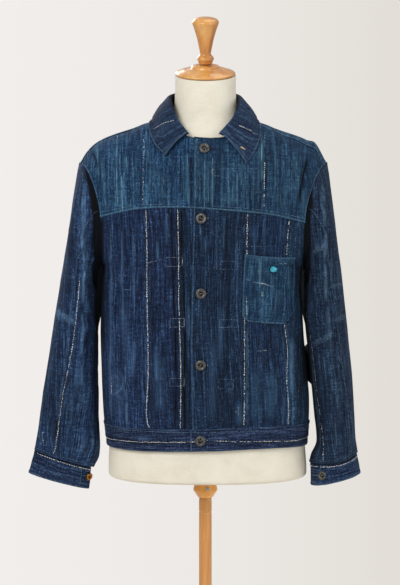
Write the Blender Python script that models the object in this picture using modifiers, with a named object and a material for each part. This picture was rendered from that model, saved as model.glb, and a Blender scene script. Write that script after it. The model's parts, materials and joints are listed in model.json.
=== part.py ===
"""Patched work jacket of narrow hand-loomed cloth, buttoned on a limbless dress form.

The jacket is built from the pieces a maker cuts and sews: strips, yokes, back, sleeves,
cuffs, collar, waistband and pocket, each a thin wall laid on one body surface worked out
from named sizes.  Metres, +Z up.  X runs from the wearer's right to the wearer's left,
-Y is the front.  The origin is the centre of the stand's underside.
"""
import bpy
import bmesh
import math
from mathutils import Vector, Matrix
from mathutils.bvhtree import BVHTree

# ------------------------------------------------------------------ driving dimensions (m)
WALL = 0.0020            # cloth and its felled seams
SEAM = 0.00030           # half of the gap left between two sewn pieces
BAND_HEIGHT = 0.040      # waistband
HEM_Z = 0.9060           # lower edge of the waistband at the sides
ARMPIT_Z = 1.2380
RIDGE_Z = 1.5120         # shoulder line carried to the middle of the neck
NECK_HALF = 0.078        # half width of the neckline at the shoulder
OVERLAP_EDGE = -0.0210   # free edge of the wearer's left front, on top
UNDERLAP_EDGE = 0.0120   # free edge of the wearer's right front, underneath
OVERLAP_LIFT = 0.0027    # how far the top layer stands off the lower one
PLEAT_R = -0.0410        # folded edge of the pleat, wearer's right
PLEAT_L = 0.0470         # folded edge of the pleat, wearer's left
PLEAT_STEP = 0.0019
BUTTON_R = 0.0096
CUFF_BUTTON_R = 0.0082
NECK_R = 0.0560          # dress form's neck
POLE_R = 0.0118
BASE_R = 0.190
CAP_TILT = math.radians(12.0)

# Lower body: one row for each level from hem to armpit.
BODY_COLS = ("z", "right", "left", "front", "back", "expo")
BODY = [
    (0.9060, 0.1825, 0.1890, 0.1300, 0.1230, 2.5),
    (0.9460, 0.1865, 0.1915, 0.1320, 0.1260, 2.5),
    (0.9950, 0.1895, 0.1915, 0.1345, 0.1290, 2.5),
    (1.0500, 0.1915, 0.1860, 0.1360, 0.1310, 2.5),
    (1.1200, 0.1930, 0.1800, 0.1370, 0.1330, 2.5),
    (1.1900, 0.1905, 0.1765, 0.1370, 0.1340, 2.5),
    (1.2380, 0.1870, 0.1775, 0.1370, 0.1340, 2.5),
]
# Armholes: one row for each point from armpit (0) to shoulder tip (1), front and back depth.
ARM_COLS = ("v", "x", "z", "front", "back")
ARM_RIGHT = [
    (0.00, -0.1870, 1.2380, 0.000, 0.000),
    (0.10, -0.1870, 1.2450, 0.044, 0.042),
    (0.20, -0.1870, 1.2730, 0.077, 0.072),
    (0.30, -0.1880, 1.3170, 0.093, 0.088),
    (0.40, -0.1915, 1.3500, 0.093, 0.089),
    (0.55, -0.2005, 1.3830, 0.079, 0.077),
    (0.70, -0.2120, 1.4085, 0.055, 0.054),
    (0.85, -0.2220, 1.4205, 0.028, 0.028),
    (1.00, -0.2290, 1.4245, 0.000, 0.000),
]
ARM_LEFT = [
    (0.00, 0.1775, 1.2380, 0.000, 0.000),
    (0.10, 0.1772, 1.2440, 0.044, 0.042),
    (0.20, 0.1770, 1.2700, 0.078, 0.073),
    (0.30, 0.1780, 1.3130, 0.094, 0.089),
    (0.40, 0.1815, 1.3460, 0.094, 0.090),
    (0.55, 0.1905, 1.3790, 0.079, 0.078),
    (0.70, 0.2025, 1.4040, 0.055, 0.055),
    (0.85, 0.2135, 1.4190, 0.028, 0.028),
    (1.00, 0.2215, 1.4250, 0.000, 0.000),
]
# Yoke seam across the front: height at each distance from the middle.
YOKE_COLS = ("x", "z")
YOKE = [(-0.200, 1.327), (-0.154, 1.339), (-0.115, 1.346), (-0.046, 1.3485), (0.000, 1.346),
        (0.074, 1.340), (0.126, 1.333), (0.182, 1.319), (0.200, 1.314)]
# Lapped selvedges that part the front into strips: place at the hem and at the yoke.
STRIP_COLS = ("x_hem", "x_mid", "x_yoke")
STRIPS = {"right_side": (-0.1065, -0.1040, -0.1075), "right_placket": (-0.0455, -0.0465, -0.0510),
          "left_placket": (0.0680, 0.0705, 0.0745), "left_side": (0.1510, 0.1490, 0.1500)}
# Soft folds of the body: middle, ends, width, depth (+ out) and lean of each.
FOLD_COLS = ("x", "z_low", "z_high", "width", "depth", "lean")
FOLDS = [
    (-0.148, 0.960, 1.300, 0.016, 0.0030, 0.02),
    (-0.128, 0.950, 1.180, 0.014, -0.0026, -0.03),
    (-0.083, 0.985, 1.310, 0.013, -0.0022, 0.02),
    (0.098, 0.955, 1.130, 0.015, 0.0024, 0.03),
    (0.124, 0.960, 1.110, 0.014, -0.0024, -0.03),
    (0.165, 1.000, 1.300, 0.014, 0.0026, -0.02),
    (-0.150, 1.250, 1.400, 0.020, 0.0028, 0.30),
    (0.140, 1.250, 1.400, 0.020, 0.0026, -0.30),
]
BACK_FOLDS = [
    (-0.120, 0.960, 1.260, 0.024, 0.0032, 0.05),
    (-0.060, 0.955, 1.200, 0.022, -0.0028, 0.02),
    (0.015, 0.960, 1.240, 0.024, 0.0030, 0.00),
    (0.080, 0.955, 1.210, 0.022, -0.0028, -0.03),
    (0.135, 0.980, 1.280, 0.022, 0.0032, -0.05),
]
# Sleeves: one row for each section, outer line, inner line, front and back depth, roundness.
SLEEVE_COLS = ("t", "out_x", "out_z", "in_x", "in_z", "front", "back", "expo")
SLEEVE_RIGHT = [
    (0.00, -0.2290, 1.4245, -0.1880, 1.2380, 0.093, 0.088, 2.0),
    (0.06, -0.2365, 1.4020, -0.1935, 1.2325, 0.096, 0.090, 2.1),
    (0.13, -0.2430, 1.3600, -0.1965, 1.2250, 0.097, 0.091, 2.2),
    (0.21, -0.2490, 1.3180, -0.1985, 1.2100, 0.096, 0.090, 2.2),
    (0.30, -0.2560, 1.2700, -0.2000, 1.1850, 0.092, 0.086, 2.2),
    (0.40, -0.2650, 1.2160, -0.2000, 1.1500, 0.086, 0.078, 2.2),
    (0.50, -0.2750, 1.1560, -0.1995, 1.1050, 0.080, 0.066, 2.2),
    (0.60, -0.2845, 1.0960, -0.1990, 1.0550, 0.072, 0.052, 2.2),
    (0.70, -0.2935, 1.0360, -0.1990, 1.0050, 0.063, 0.040, 2.2),
    (0.80, -0.3020, 0.9800, -0.1985, 0.9560, 0.056, 0.031, 2.2),
    (0.90, -0.3095, 0.9290, -0.1965, 0.9080, 0.050, 0.024, 2.2),
    (0.96, -0.3140, 0.9060, -0.1985, 0.8830, 0.045, 0.020, 2.2),
    (1.00, -0.3160, 0.8960, -0.2080, 0.8640, 0.038, 0.014, 2.3),
]
SLEEVE_LEFT = [
    (0.00, 0.2215, 1.4250, 0.1790, 1.2380, 0.094, 0.089, 2.0),
    (0.06, 0.2265, 1.3960, 0.1830, 1.2325, 0.097, 0.091, 2.1),
    (0.13, 0.2320, 1.3560, 0.1845, 1.2250, 0.098, 0.092, 2.2),
    (0.21, 0.2375, 1.3140, 0.1845, 1.2100, 0.098, 0.091, 2.2),
    (0.30, 0.2435, 1.2660, 0.1840, 1.1850, 0.095, 0.088, 2.2),
    (0.40, 0.2505, 1.2120, 0.1840, 1.1500, 0.091, 0.080, 2.2),
    (0.50, 0.2575, 1.1520, 0.1875, 1.1050, 0.086, 0.070, 2.2),
    (0.60, 0.2640, 1.0920, 0.1930, 1.0550, 0.080, 0.060, 2.2),
    (0.70, 0.2705, 1.0320, 0.1985, 1.0050, 0.074, 0.052, 2.2),
    (0.80, 0.2745, 0.9760, 0.2030, 0.9560, 0.070, 0.044, 2.2),
    (0.90, 0.2775, 0.9250, 0.2065, 0.9080, 0.068, 0.036, 2.2),
    (0.96, 0.2790, 0.9020, 0.1970, 0.8850, 0.067, 0.033, 2.2),
    (1.00, 0.2800, 0.8920, 0.1945, 0.8740, 0.063, 0.029, 2.3),
]
# Folds pressed into the sleeves: station, angle round from the outer line, reach along and
# round, depth (+ out).
SLEEVE_FOLD_COLS = ("t", "angle", "along", "round", "depth")
SLEEVE_FOLDS = [
    (0.30, 60.0, 0.07, 30.0, 0.0030),
    (0.38, 100.0, 0.05, 34.0, -0.0032),
    (0.47, 75.0, 0.05, 34.0, 0.0030),
    (0.55, 118.0, 0.045, 30.0, -0.0030),
    (0.62, 62.0, 0.05, 30.0, -0.0030),
    (0.72, 110.0, 0.05, 34.0, 0.0034),
    (0.82, 80.0, 0.05, 30.0, -0.0026),
    (0.90, 125.0, 0.04, 32.0, 0.0030),
    (0.45, 285.0, 0.06, 34.0, -0.0034),
    (0.62, 255.0, 0.06, 34.0, 0.0032),
    (0.80, 290.0, 0.06, 34.0, -0.0028),
]
# Cuffs: top and bottom rings, and the angles where the under and upper ends stop.
CUFF_COLS = ("out_x", "out_z", "in_x", "in_z", "front", "back")
CUFF_RIGHT = [(-0.3150, 0.8935, -0.2125, 0.8595, 0.033, 0.011),
              (-0.3210, 0.8715, -0.2140, 0.8400, 0.034, 0.012),
              (-0.3275, 0.8505, -0.2165, 0.8205, 0.033, 0.012)]
CUFF_LEFT = [(0.2795, 0.8875, 0.1950, 0.8700, 0.060, 0.028),
             (0.2830, 0.8675, 0.1950, 0.8470, 0.062, 0.030),
             (0.2860, 0.8520, 0.1960, 0.8290, 0.061, 0.030)]
CUFF_LAPS = {"right": (118.0, 146.0, 1.0), "left": (112.0, 138.0, 1.0)}
# Collar: sewn edge, fold and outer edge at each station from the back neck to the front.
COLLAR_COLS = ("sewn_x", "sewn_y", "sewn_z", "fold_x", "fold_y", "fold_z", "edge_x", "edge_y", "edge_z")
COLLAR = [
    (0.000, 0.0690, 1.4985, 0.0000, 0.0680, 1.5490, 0.0000, 0.1020, 1.4820),
    (0.030, 0.0640, 1.4990, 0.0290, 0.0630, 1.5500, 0.0440, 0.0930, 1.4850),
    (0.058, 0.0450, 1.5000, 0.0530, 0.0440, 1.5500, 0.0820, 0.0620, 1.4910),
    (0.075, 0.0130, 1.5010, 0.0640, 0.0130, 1.5460, 0.0985, 0.0150, 1.4990),
    (0.076, -0.0200, 1.4990, 0.0640, -0.0180, 1.5390, 0.1010, -0.0250, 1.4960),
    (0.068, -0.0500, 1.4920, 0.0600, -0.0480, 1.5270, 0.1000, -0.0600, 1.4780),
    (0.052, -0.0740, 1.4810, 0.0505, -0.0740, 1.5030, 0.0905, -0.0900, 1.4580),
    (0.037, -0.0880, 1.4745, 0.0320, -0.0940, 1.4790, 0.0730, -0.1130, 1.4370),
]
LEFT_TIP_DROP = 0.0110   # the wearer's left point hangs lower
# Pocket: corners on the front, as place across and height.
POCKET_COLS = ("x", "z")
POCKET = {"top_in": (0.0695, 1.2655), "top_out": (0.1600, 1.2580),
          "low_in": (0.0640, 1.1450), "low_out": (0.1585, 1.1345)}
POCKET_CORNER = 0.13     # how much of the width the clipped lower corners take
STONE = (0.1205, 1.2370)
STONE_SIZE = (0.0140, 0.0112, 0.0056)
PIN = (0.0665, 1.4530)
# Dress form: one row for each level.
FORM_COLS = ("z", "right", "left", "front", "back", "expo")
FORM = [
    (0.8440, 0.1700, 0.1780, 0.1100, 0.1080, 2.4),
    (0.8470, 0.1775, 0.1855, 0.1185, 0.1160, 2.4),
    (0.8540, 0.1800, 0.1880, 0.1215, 0.1185, 2.4),
    (0.9000, 0.1785, 0.1850, 0.1230, 0.1180, 2.4),
    (0.9500, 0.1740, 0.1800, 0.1230, 0.1170, 2.3),
    (1.0500, 0.1620, 0.1650, 0.1170, 0.1100, 2.2),
    (1.1200, 0.1600, 0.1600, 0.1180, 0.1120, 2.2),
    (1.2300, 0.1680, 0.1620, 0.1260, 0.1220, 2.2),
    (1.3200, 0.1700, 0.1640, 0.1240, 0.1220, 2.2),
    (1.3800, 0.1640, 0.1600, 0.1120, 0.1120, 2.1),
    (1.4250, 0.1450, 0.1430, 0.0980, 0.0960, 2.0),
    (1.4550, 0.1150, 0.1140, 0.0860, 0.0800, 2.0),
    (1.4800, 0.0860, 0.0860, 0.0760, 0.0680, 2.0),
    (1.5000, 0.0690, 0.0690, 0.0660, 0.0610, 2.0),
    (1.5230, 0.0590, 0.0590, 0.0590, 0.0575, 2.0),
    (1.5500, 0.0560, 0.0560, 0.0560, 0.0560, 2.0),
    (1.5850, 0.0560, 0.0560, 0.0560, 0.0560, 2.0),
]
FORM_SLANT_FROM = 1.5300   # above this the neck's rings lean, so its top lies under the tilted cap

COLOURS = {
    "indigo": ((0.020, 0.032, 0.075), 0.85, 0.0), "yoke": ((0.045, 0.110, 0.190), 0.85, 0.0),
    "collar": ((0.028, 0.038, 0.095), 0.85, 0.0), "pocket": ((0.035, 0.085, 0.140), 0.85, 0.0),
    "button": ((0.110, 0.095, 0.085), 0.40, 0.9), "brass": ((0.600, 0.360, 0.120), 0.35, 1.0),
    "stone": ((0.030, 0.420, 0.480), 0.35, 0.0), "linen": ((0.780, 0.700, 0.540), 0.90, 0.0),
    "wood": ((0.560, 0.300, 0.090), 0.30, 0.0), "pole": ((0.480, 0.260, 0.110), 0.40, 0.0),
    "steel": ((0.700, 0.700, 0.700), 0.30, 1.0),
}

for stale in list(bpy.data.objects):
    bpy.data.objects.remove(stale, do_unlink=True)
PARTS = bpy.data.collections.new("patched_jacket_on_form")
bpy.context.scene.collection.children.link(PARTS)


# ------------------------------------------------------------------ helpers
def read(table, key):
    """Smooth interpolation of a table's rows by its first column."""
    if key <= table[0][0]:
        return table[0]
    if key >= table[-1][0]:
        return table[-1]
    i = max(k for k in range(len(table) - 1) if table[k][0] <= key)
    a, b = table[i], table[i + 1]
    span = b[0] - a[0]
    t = (key - a[0]) / span
    out = [key]
    for c in range(1, len(a)):
        def slope(k):
            lo, hi = max(k - 1, 0), min(k + 1, len(table) - 1)
            return (table[hi][c] - table[lo][c]) / (table[hi][0] - table[lo][0])
        m0, m1 = slope(i) * span, slope(i + 1) * span
        out.append((2 * t**3 - 3 * t**2 + 1) * a[c] + (t**3 - 2 * t**2 + t) * m0
                   + (-2 * t**3 + 3 * t**2) * b[c] + (t**3 - t**2) * m1)
    return tuple(out)


def smooth(t):
    t = min(max(t, 0.0), 1.0)
    return t * t * (3.0 - 2.0 * t)


def power(value, exponent):
    return math.copysign(abs(value) ** exponent, value)


def material(name):
    mat = bpy.data.materials.get(name)
    if mat is None:
        colour, rough, metal = COLOURS[name]
        mat = bpy.data.materials.new(name)
        mat.use_nodes = True
        bsdf = mat.node_tree.nodes["Principled BSDF"]
        bsdf.inputs["Base Color"].default_value = (*colour, 1.0)
        bsdf.inputs["Roughness"].default_value = rough
        bsdf.inputs["Metallic"].default_value = metal
    return mat


def add_object(name, mesh, mat, smooth_angle=50.0):
    obj = bpy.data.objects.new(name, mesh)
    PARTS.objects.link(obj)
    own = material(mat).copy()
    own.name = name + "_finish"
    mesh.materials.append(own)
    mesh.shade_smooth()
    mesh.set_sharp_from_angle(angle=math.radians(smooth_angle))
    return obj


def grid_mesh(name, rows, extra=()):
    """Open surface through rows of points; extra grids share its edge points."""
    bm = bmesh.new()
    for grid in (rows, *extra):
        made = [[bm.verts.new(p) for p in row] for row in grid]
        for j in range(len(made) - 1):
            for i in range(len(made[j]) - 1):
                bm.faces.new((made[j][i], made[j][i + 1], made[j + 1][i + 1], made[j + 1][i]))
    bmesh.ops.remove_doubles(bm, verts=bm.verts, dist=0.00001)
    bmesh.ops.recalc_face_normals(bm, faces=bm.faces)
    mesh = bpy.data.meshes.new(name)
    bm.to_mesh(mesh)
    bm.free()
    return mesh


def cloth(name, rows, mat, extra=(), wall=WALL):
    """A cut piece: an open surface given its wall."""
    obj = add_object(name, grid_mesh(name, rows, extra), mat)
    solid = obj.modifiers.new("wall", "SOLIDIFY")
    solid.thickness = wall
    solid.offset = 0.0
    return obj


def turned(name, profile, mat, steps, location=(0, 0, 0), rotation=None):
    """A turned piece: profile of (radius, height) from top to bottom, down its outer side."""
    mesh = bpy.data.meshes.new(name)
    mesh.from_pydata([(r, 0.0, z) for r, z in profile], [(k, k + 1) for k in range(len(profile) - 1)], [])
    obj = add_object(name, mesh, mat, 35.0)
    screw = obj.modifiers.new("turn", "SCREW")
    screw.axis = "Z"
    screw.steps = screw.render_steps = steps
    screw.use_merge_vertices = True
    screw.merge_threshold = 0.00002
    screw.use_smooth_shade = True
    obj.location = location
    if rotation is not None:
        obj.rotation_euler = rotation.to_euler()
    return obj


# ------------------------------------------------------------------ the body surface
def arm_table(side):
    return ARM_LEFT if side > 0 else ARM_RIGHT


def fold_relief(table, x, z):
    total = 0.0
    for fx, low, high, width, depth, lean in table:
        if low < z < high:
            middle = fx + lean * (z - 0.5 * (low + high))
            across = math.exp(-((x - middle) / width) ** 2)
            total += depth * across * math.sin(math.pi * (z - low) / (high - low)) ** 0.7
    return total


def body_point(c, h, back=False, relief=True):
    """c runs -1..1 from the wearer's right seam to the left one.  h runs 0..1 from hem to
    armpit, then 1..2 from chest to the shoulder ridge."""
    sine, cosine = abs(math.sin(math.pi * c / 2)), abs(math.cos(math.pi * c / 2))
    if h <= 1.0:
        z = HEM_Z + (ARMPIT_Z - HEM_Z) * h
        _, right, left, front, rear, expo = read(BODY, z)
        middle, half = (left - right) / 2, (left + right) / 2
        depth = rear if back else front
        x = middle + half * math.copysign(sine ** (2 / expo), c)
        y = depth * cosine ** (2 / expo)
        if not back:
            z += (1 - h) ** 2 * (0.0055 * math.exp(-((c - 0.32) / 0.42) ** 2))
    else:
        v = min(h - 1.0, 1.0)
        _, right, left, front, rear, expo = read(BODY, ARMPIT_Z)
        depth = rear if back else front
        _, xr, zr, fr, br = read(ARM_RIGHT, v)
        _, xl, zl, fl, bl = read(ARM_LEFT, v)
        n = expo + 0.3 * smooth(v / 0.3)
        e = expo + (1.05 - expo) * smooth(v / 0.28)
        share = math.copysign(sine ** (2 / n), c)
        middle, half = (xl + xr) / 2, (xl - xr) / 2
        x = middle + half * share
        w = 0.5 + 0.5 * max(-1.0, min(1.0, share * 1.0))
        y_arm = (bl if back else fl) * w + (br if back else fr) * (1 - w)
        z_arm = zl * w + zr * (1 - w)
        angle = math.pi * v / 2
        y_mid = depth * math.cos(angle) ** 0.77 if v < 1 else 0.0
        z_mid = ARMPIT_Z + (RIDGE_Z - ARMPIT_Z) * math.sin(angle) ** 0.77
        s = abs(share)
        fall = (1 - v) * s * s + v * (0.60 * s ** 1.3 + 0.40 * s ** 12)
        y = y_arm + (y_mid - y_arm) * max(1 - s ** n, 0.0) ** (1 / e)
        z = z_mid - (z_mid - z_arm) * fall
        z += 0.0050 * math.exp(-((abs(x) - 0.101) / 0.024) ** 2) * smooth((v - 0.55) / 0.35)
        z += 0.0070 * math.exp(-((x - 0.2005) / 0.0095) ** 2) * smooth((v - 0.55) / 0.35) * smooth((1 - s) * 25)
    fade = 1.0 if h <= 1.6 else max(0.0, (2.0 - h) / 0.4)
    lift = fold_relief(BACK_FOLDS if back else FOLDS, x, z) * fade if relief else 0.0
    edge = smooth((1 - abs(c)) / 0.12)
    y = y + lift * edge
    return Vector((x, y if back else -y, z))


def c_at(x, h, back=False):
    lo, hi = -1.0, 1.0
    for _ in range(34):
        mid = (lo + hi) / 2
        if body_point(mid, h, back, False).x < x:
            lo = mid
        else:
            hi = mid
    return (lo + hi) / 2


def h_at(c, z, back=False):
    lo, hi = 0.0, 2.0
    for _ in range(34):
        mid = (lo + hi) / 2
        if body_point(c, mid, back, False).z < z:
            lo = mid
        else:
            hi = mid
    return (lo + hi) / 2


def on_front(x, z):
    """Parameters of the front surface at a place across and a height."""
    c, h = 0.0, 1.0
    for _ in range(7):
        c = c_at(x, h)
        h = h_at(c, z)
    return c, h


def seam_inset(h, dist):
    """Step of c at the side seam that moves a piece's edge by dist."""
    if h <= 1.0:
        return (2 / math.pi) * (dist / 0.13) ** 1.25
    return 0.0012


def strip_x(name, h):
    hem, mid, yoke = STRIPS[name]
    t = h / 1.25
    return hem + (4 * mid - 3 * hem - yoke) * t + (2 * yoke + 2 * hem - 4 * mid) * t * t


def yoke_h(c):
    """Row of the yoke seam in a column."""
    h = 1.25
    for _ in range(3):
        h = h_at(c, read(YOKE, body_point(c, h, False, False).x)[1])
    return h


def layered(c, h, over):
    """Front point moved out along the normal for the pleats and, on the top layer, the overlap."""
    point = body_point(c, h)
    x, z = point.x, point.z
    out = 0.0
    if over:
        out += OVERLAP_LIFT * (1.0 - smooth((x - 0.016) / 0.018))
    if z < 1.345:
        tuck = smooth((1.346 - z) / 0.02)
        if PLEAT_R <= x < PLEAT_R + 0.018:
            out += PLEAT_STEP * tuck * (1 - (x - PLEAT_R) / 0.018)
        elif PLEAT_R - 0.002 < x < PLEAT_R:
            out += PLEAT_STEP * tuck * (1 - (PLEAT_R - x) / 0.002)
        if PLEAT_L - 0.018 < x <= PLEAT_L:
            out += PLEAT_STEP * tuck * (1 - (PLEAT_L - x) / 0.018)
        elif PLEAT_L < x < PLEAT_L + 0.002:
            out += PLEAT_STEP * tuck * (1 - (x - PLEAT_L) / 0.002)
    if out > 0:
        rise = body_point(c, min(h + 0.02, 1.999), False, False) - body_point(c, h - 0.02, False, False)
        normal = Vector((0, -rise.z, rise.y)).normalized()
        point = point + normal * out
    return point


BAND_TOP_H = BAND_HEIGHT / (ARMPIT_Z - HEM_Z)
ROW_STEP = (ARMPIT_Z - HEM_Z)


def front_piece(x_stops, right_edge, left_edge, columns, rows, over, low_h, high_h):
    """Grid of a front piece between two edges.  An edge is 'seam' (side seam and armhole),
    a strip's name with the side its gap is on, or a fixed place across."""
    def edge_c(edge, h):
        kind, value, inset = edge
        if kind == "seam":
            return value * (1 - seam_inset(h, 0.0005))
        x = strip_x(value, h) if kind == "strip" else value
        return c_at(x + inset, h)
    grid = []
    for j in range(rows + 1):
        r = j / rows
        row = []
        for i in range(columns + 1):
            q = x_stops[i] if x_stops else i / columns
            c, h = 0.0, 1.0
            for _ in range(3):
                h = low_h(c) + (high_h(c) - low_h(c)) * r
                c0, c1 = edge_c(right_edge, h), edge_c(left_edge, h)
                c = c0 + (c1 - c0) * q
            row.append(layered(c, h, over))
        grid.append(row)
    return grid


def stops(edges, width_from, width_to):
    return [(e - width_from) / (width_to - width_from) for e in edges]


gap_h = SEAM / ROW_STEP
low = lambda c: BAND_TOP_H + gap_h
yoke_cache = {}


def high(c):
    key = round(c, 4)
    if key not in yoke_cache:
        yoke_cache[key] = yoke_h(key) - gap_h * 1.6
    return yoke_cache[key]


# ------------------------------------------------------------------ front strips
cloth("front_strip_right_side",
      front_piece(None, ("seam", -1, 0), ("strip", "right_side", -SEAM), 7, 11, False, low, high), "indigo")
cloth("front_strip_right_mid",
      front_piece(None, ("strip", "right_side", SEAM), ("strip", "right_placket", -SEAM), 5, 11, False, low, high),
      "indigo")
cloth("front_placket_right",
      front_piece(stops([-0.0480, -0.0432, -0.0408, -0.0310, -0.0230, -0.0060, 0.0120], -0.0480, 0.0120),
                  ("strip", "right_placket", SEAM), ("at", UNDERLAP_EDGE, 0), 6, 11, False, low, high), "indigo")
cloth("front_placket_left",
      front_piece(stops([-0.0210, 0.0000, 0.0160, 0.0290, 0.0385, 0.0468, 0.0492, 0.0600, 0.0720], -0.0210, 0.0720),
                  ("at", OVERLAP_EDGE, 0), ("strip", "left_placket", -SEAM), 8, 11, True, low, high), "indigo")
cloth("front_strip_left_mid",
      front_piece(None, ("strip", "left_placket", SEAM), ("strip", "left_side", -SEAM), 5, 11, True, low, high),
      "indigo")
cloth("front_strip_left_side",
      front_piece(None, ("strip", "left_side", SEAM), ("seam", 1, 0), 6, 11, True, low, high), "indigo")


# ------------------------------------------------------------------ neckline and yokes
def share_of(c, h, back=False):
    a, b = body_point(-1, h, back, False).x, body_point(1, h, back, False).x
    return (body_point(c, h, back, False).x - (a + b) / 2) / ((b - a) / 2)


def neck_h(x, back):
    """Row where the neckline crosses at a place across."""
    t = min(abs(x) / NECK_HALF, 1.0)
    drop = 0.262 if back else 0.405
    return 2.0 - drop * (1 - t ** 2.2) ** (0.55 if back else 0.62)


SHOULDER_SEAM = {"right": 1.955, "left": 1.870}      # row where the front yoke meets the back yoke


def shoulder_h(x):
    return SHOULDER_SEAM["left"] if x > 0 else SHOULDER_SEAM["right"]


def yoke_columns(inner, outer, columns, neck_column):
    """Columns crowd so that one lands on the neck point."""
    return [inner + (outer - inner) * k / columns for k in range(columns + 1)], neck_column


def front_yoke(side, inner_x, over, columns_neck, columns_shoulder, rows):
    """Rows from the yoke seam to the shoulder seam; columns from the front edge out."""
    xs_bottom = [inner_x + (side * NECK_HALF - inner_x) * k / columns_neck for k in range(columns_neck + 1)]
    grid = []
    for j in range(rows + 1):
        r = j / rows
        row = []
        for k in range(columns_neck + 1):
            x = xs_bottom[k]
            c = c_at(x, 1.5)
            for _ in range(3):
                bottom = yoke_h(round(c, 4)) + gap_h * 1.6
                edge = min(neck_h(x, False), shoulder_h(x) - 0.006)
                h = bottom + (edge - bottom) * r
                c = c_at(x, h)
            row.append(layered(c, h, over))
        for k in range(1, columns_shoulder + 1):
            q = k / columns_shoulder
            c = side * 0.5
            for _ in range(4):
                bottom = yoke_h(round(c, 4)) + gap_h * 1.6
                h = bottom + (shoulder_h(side) - 0.006 - bottom) * r
                c0 = c_at(side * NECK_HALF, h)
                c = c0 + (side * (1 - 0.0012) - c0) * q
            row.append(layered(c, h, over))
        grid.append(row)
    return grid


cloth("front_yoke_right", front_yoke(-1, UNDERLAP_EDGE, False, 6, 8, 8), "yoke")
cloth("front_yoke_left", front_yoke(1, OVERLAP_EDGE, True, 7, 8, 8), "yoke")

# ------------------------------------------------------------------ back
BACK_YOKE_Z = 1.3600
BACK_COLUMNS = 18
back_c = [-1 + 2 * k / BACK_COLUMNS for k in range(BACK_COLUMNS + 1)]


def back_yoke_h(c):
    return h_at(c, BACK_YOKE_Z - 0.012 * abs(c) ** 2, True)


def back_grid(rows, low_row, high_row):
    grid = []
    for j in range(rows + 1):
        row = []
        for c in back_c:
            h = low_row(c) + (high_row(c) - low_row(c)) * j / rows
            trim = 1 - seam_inset(h, 0.0005) if abs(c) == 1 else 1.0
            row.append(body_point(c * trim, h, True))
        grid.append(row)
    return grid


cloth("back_body", back_grid(10, low, lambda c: back_yoke_h(c) - gap_h * 1.6), "indigo")


def back_yoke():
    """Columns land on the neck points, so the shoulders can run on over the ridge."""
    left_c, right_c = c_at(NECK_HALF, 2.0, True), c_at(-NECK_HALF, 2.0, True)
    outer = 7
    cs = [-0.9988 + (right_c + 0.9988) * k / outer for k in range(outer)]
    cs += [right_c + (left_c - right_c) * k / 8 for k in range(8)]
    cs += [left_c + (0.9988 - left_c) * k / outer for k in range(outer + 1)]
    rows, main = 7, []
    for j in range(rows + 1):
        row = []
        for c in cs:
            low_row = back_yoke_h(c) + gap_h * 1.6
            top = 2.0 if (c <= right_c + 1e-9 or c >= left_c - 1e-9) else neck_h(body_point(c, 2.0, True, False).x, True)
            row.append(body_point(c, low_row + (top - low_row) * j / rows, True))
        main.append(row)
    strips = []
    for group in ([c for c in cs if c <= right_c + 1e-9], [c for c in cs if c >= left_c - 1e-9]):
        seam = shoulder_h(group[0] + group[-1])
        steps = 1 if seam > 1.93 else 2
        strips.append([[body_point(c, 2.0 + (seam + 0.006 - 2.0) * k / steps, False) for c in group]
                       for k in range(steps + 1)])
    return main, strips


yoke_main, yoke_strips = back_yoke()
cloth("back_yoke", yoke_main, "yoke", extra=yoke_strips)


# ------------------------------------------------------------------ waistband
def band(cs, back, over, rows=2, lift=0.0):
    grid = []
    for j in range(rows + 1):
        h = (BAND_TOP_H - gap_h) * j / rows
        row = []
        for c in cs:
            trim = 1 - seam_inset(h, 0.0005) if abs(c) == 1 else 1.0
            p = body_point(c * trim, h, back)
            out = OVERLAP_LIFT * (1.0 - smooth((p.x - 0.016) / 0.018)) if over else 0.0
            row.append(Vector((p.x, p.y - out, p.z)))
        grid.append(row)
    return grid


mid_cs = [c_at(x, 0.06) for x in (-0.046, -0.021, 0.012, 0.018, 0.034)]
cloth("waistband_right", band([-1 + (mid_cs[0] + 1) * (k / 8) for k in range(9)] + mid_cs[1:3], False, False), "indigo")
cloth("waistband_left", band(mid_cs[1:4] + [mid_cs[4] + (1 - mid_cs[4]) * (k / 9) for k in range(10)], False, True),
      "indigo")
cloth("waistband_back", band(back_c, True, False), "indigo")


# ------------------------------------------------------------------ sleeves
def ring_point(row, degrees, relief=0.0):
    _, ox, oz, ix, iz, front, rear, expo = row
    a = math.radians(degrees)
    u, w = power(math.cos(a), 2 / expo), power(math.sin(a), 2 / expo)
    middle = Vector(((ox + ix) / 2, (rear - front) / 2, (oz + iz) / 2))
    across = Vector(((ox - ix) / 2, 0, (oz - iz) / 2))
    deep = Vector((0, -(front + rear) / 2, 0))
    point = middle + across * u + deep * w
    if relief:
        out = (across * math.cos(a) + deep * math.sin(a))
        point += out.normalized() * relief
    return point


def armhole_ring_point(side, degrees):
    """Armhole edge seen as a ring: 0 at the shoulder tip, 90 front, 180 armpit, 270 back."""
    a = degrees % 360.0
    back = a > 180.0
    t = (360.0 - a if back else a) / 180.0
    v = (1 - t) ** 1.51
    _, x, z, front, rear = read(arm_table(side), v)
    return Vector((x + side * 0.0032, rear if back else -front, z))


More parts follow.
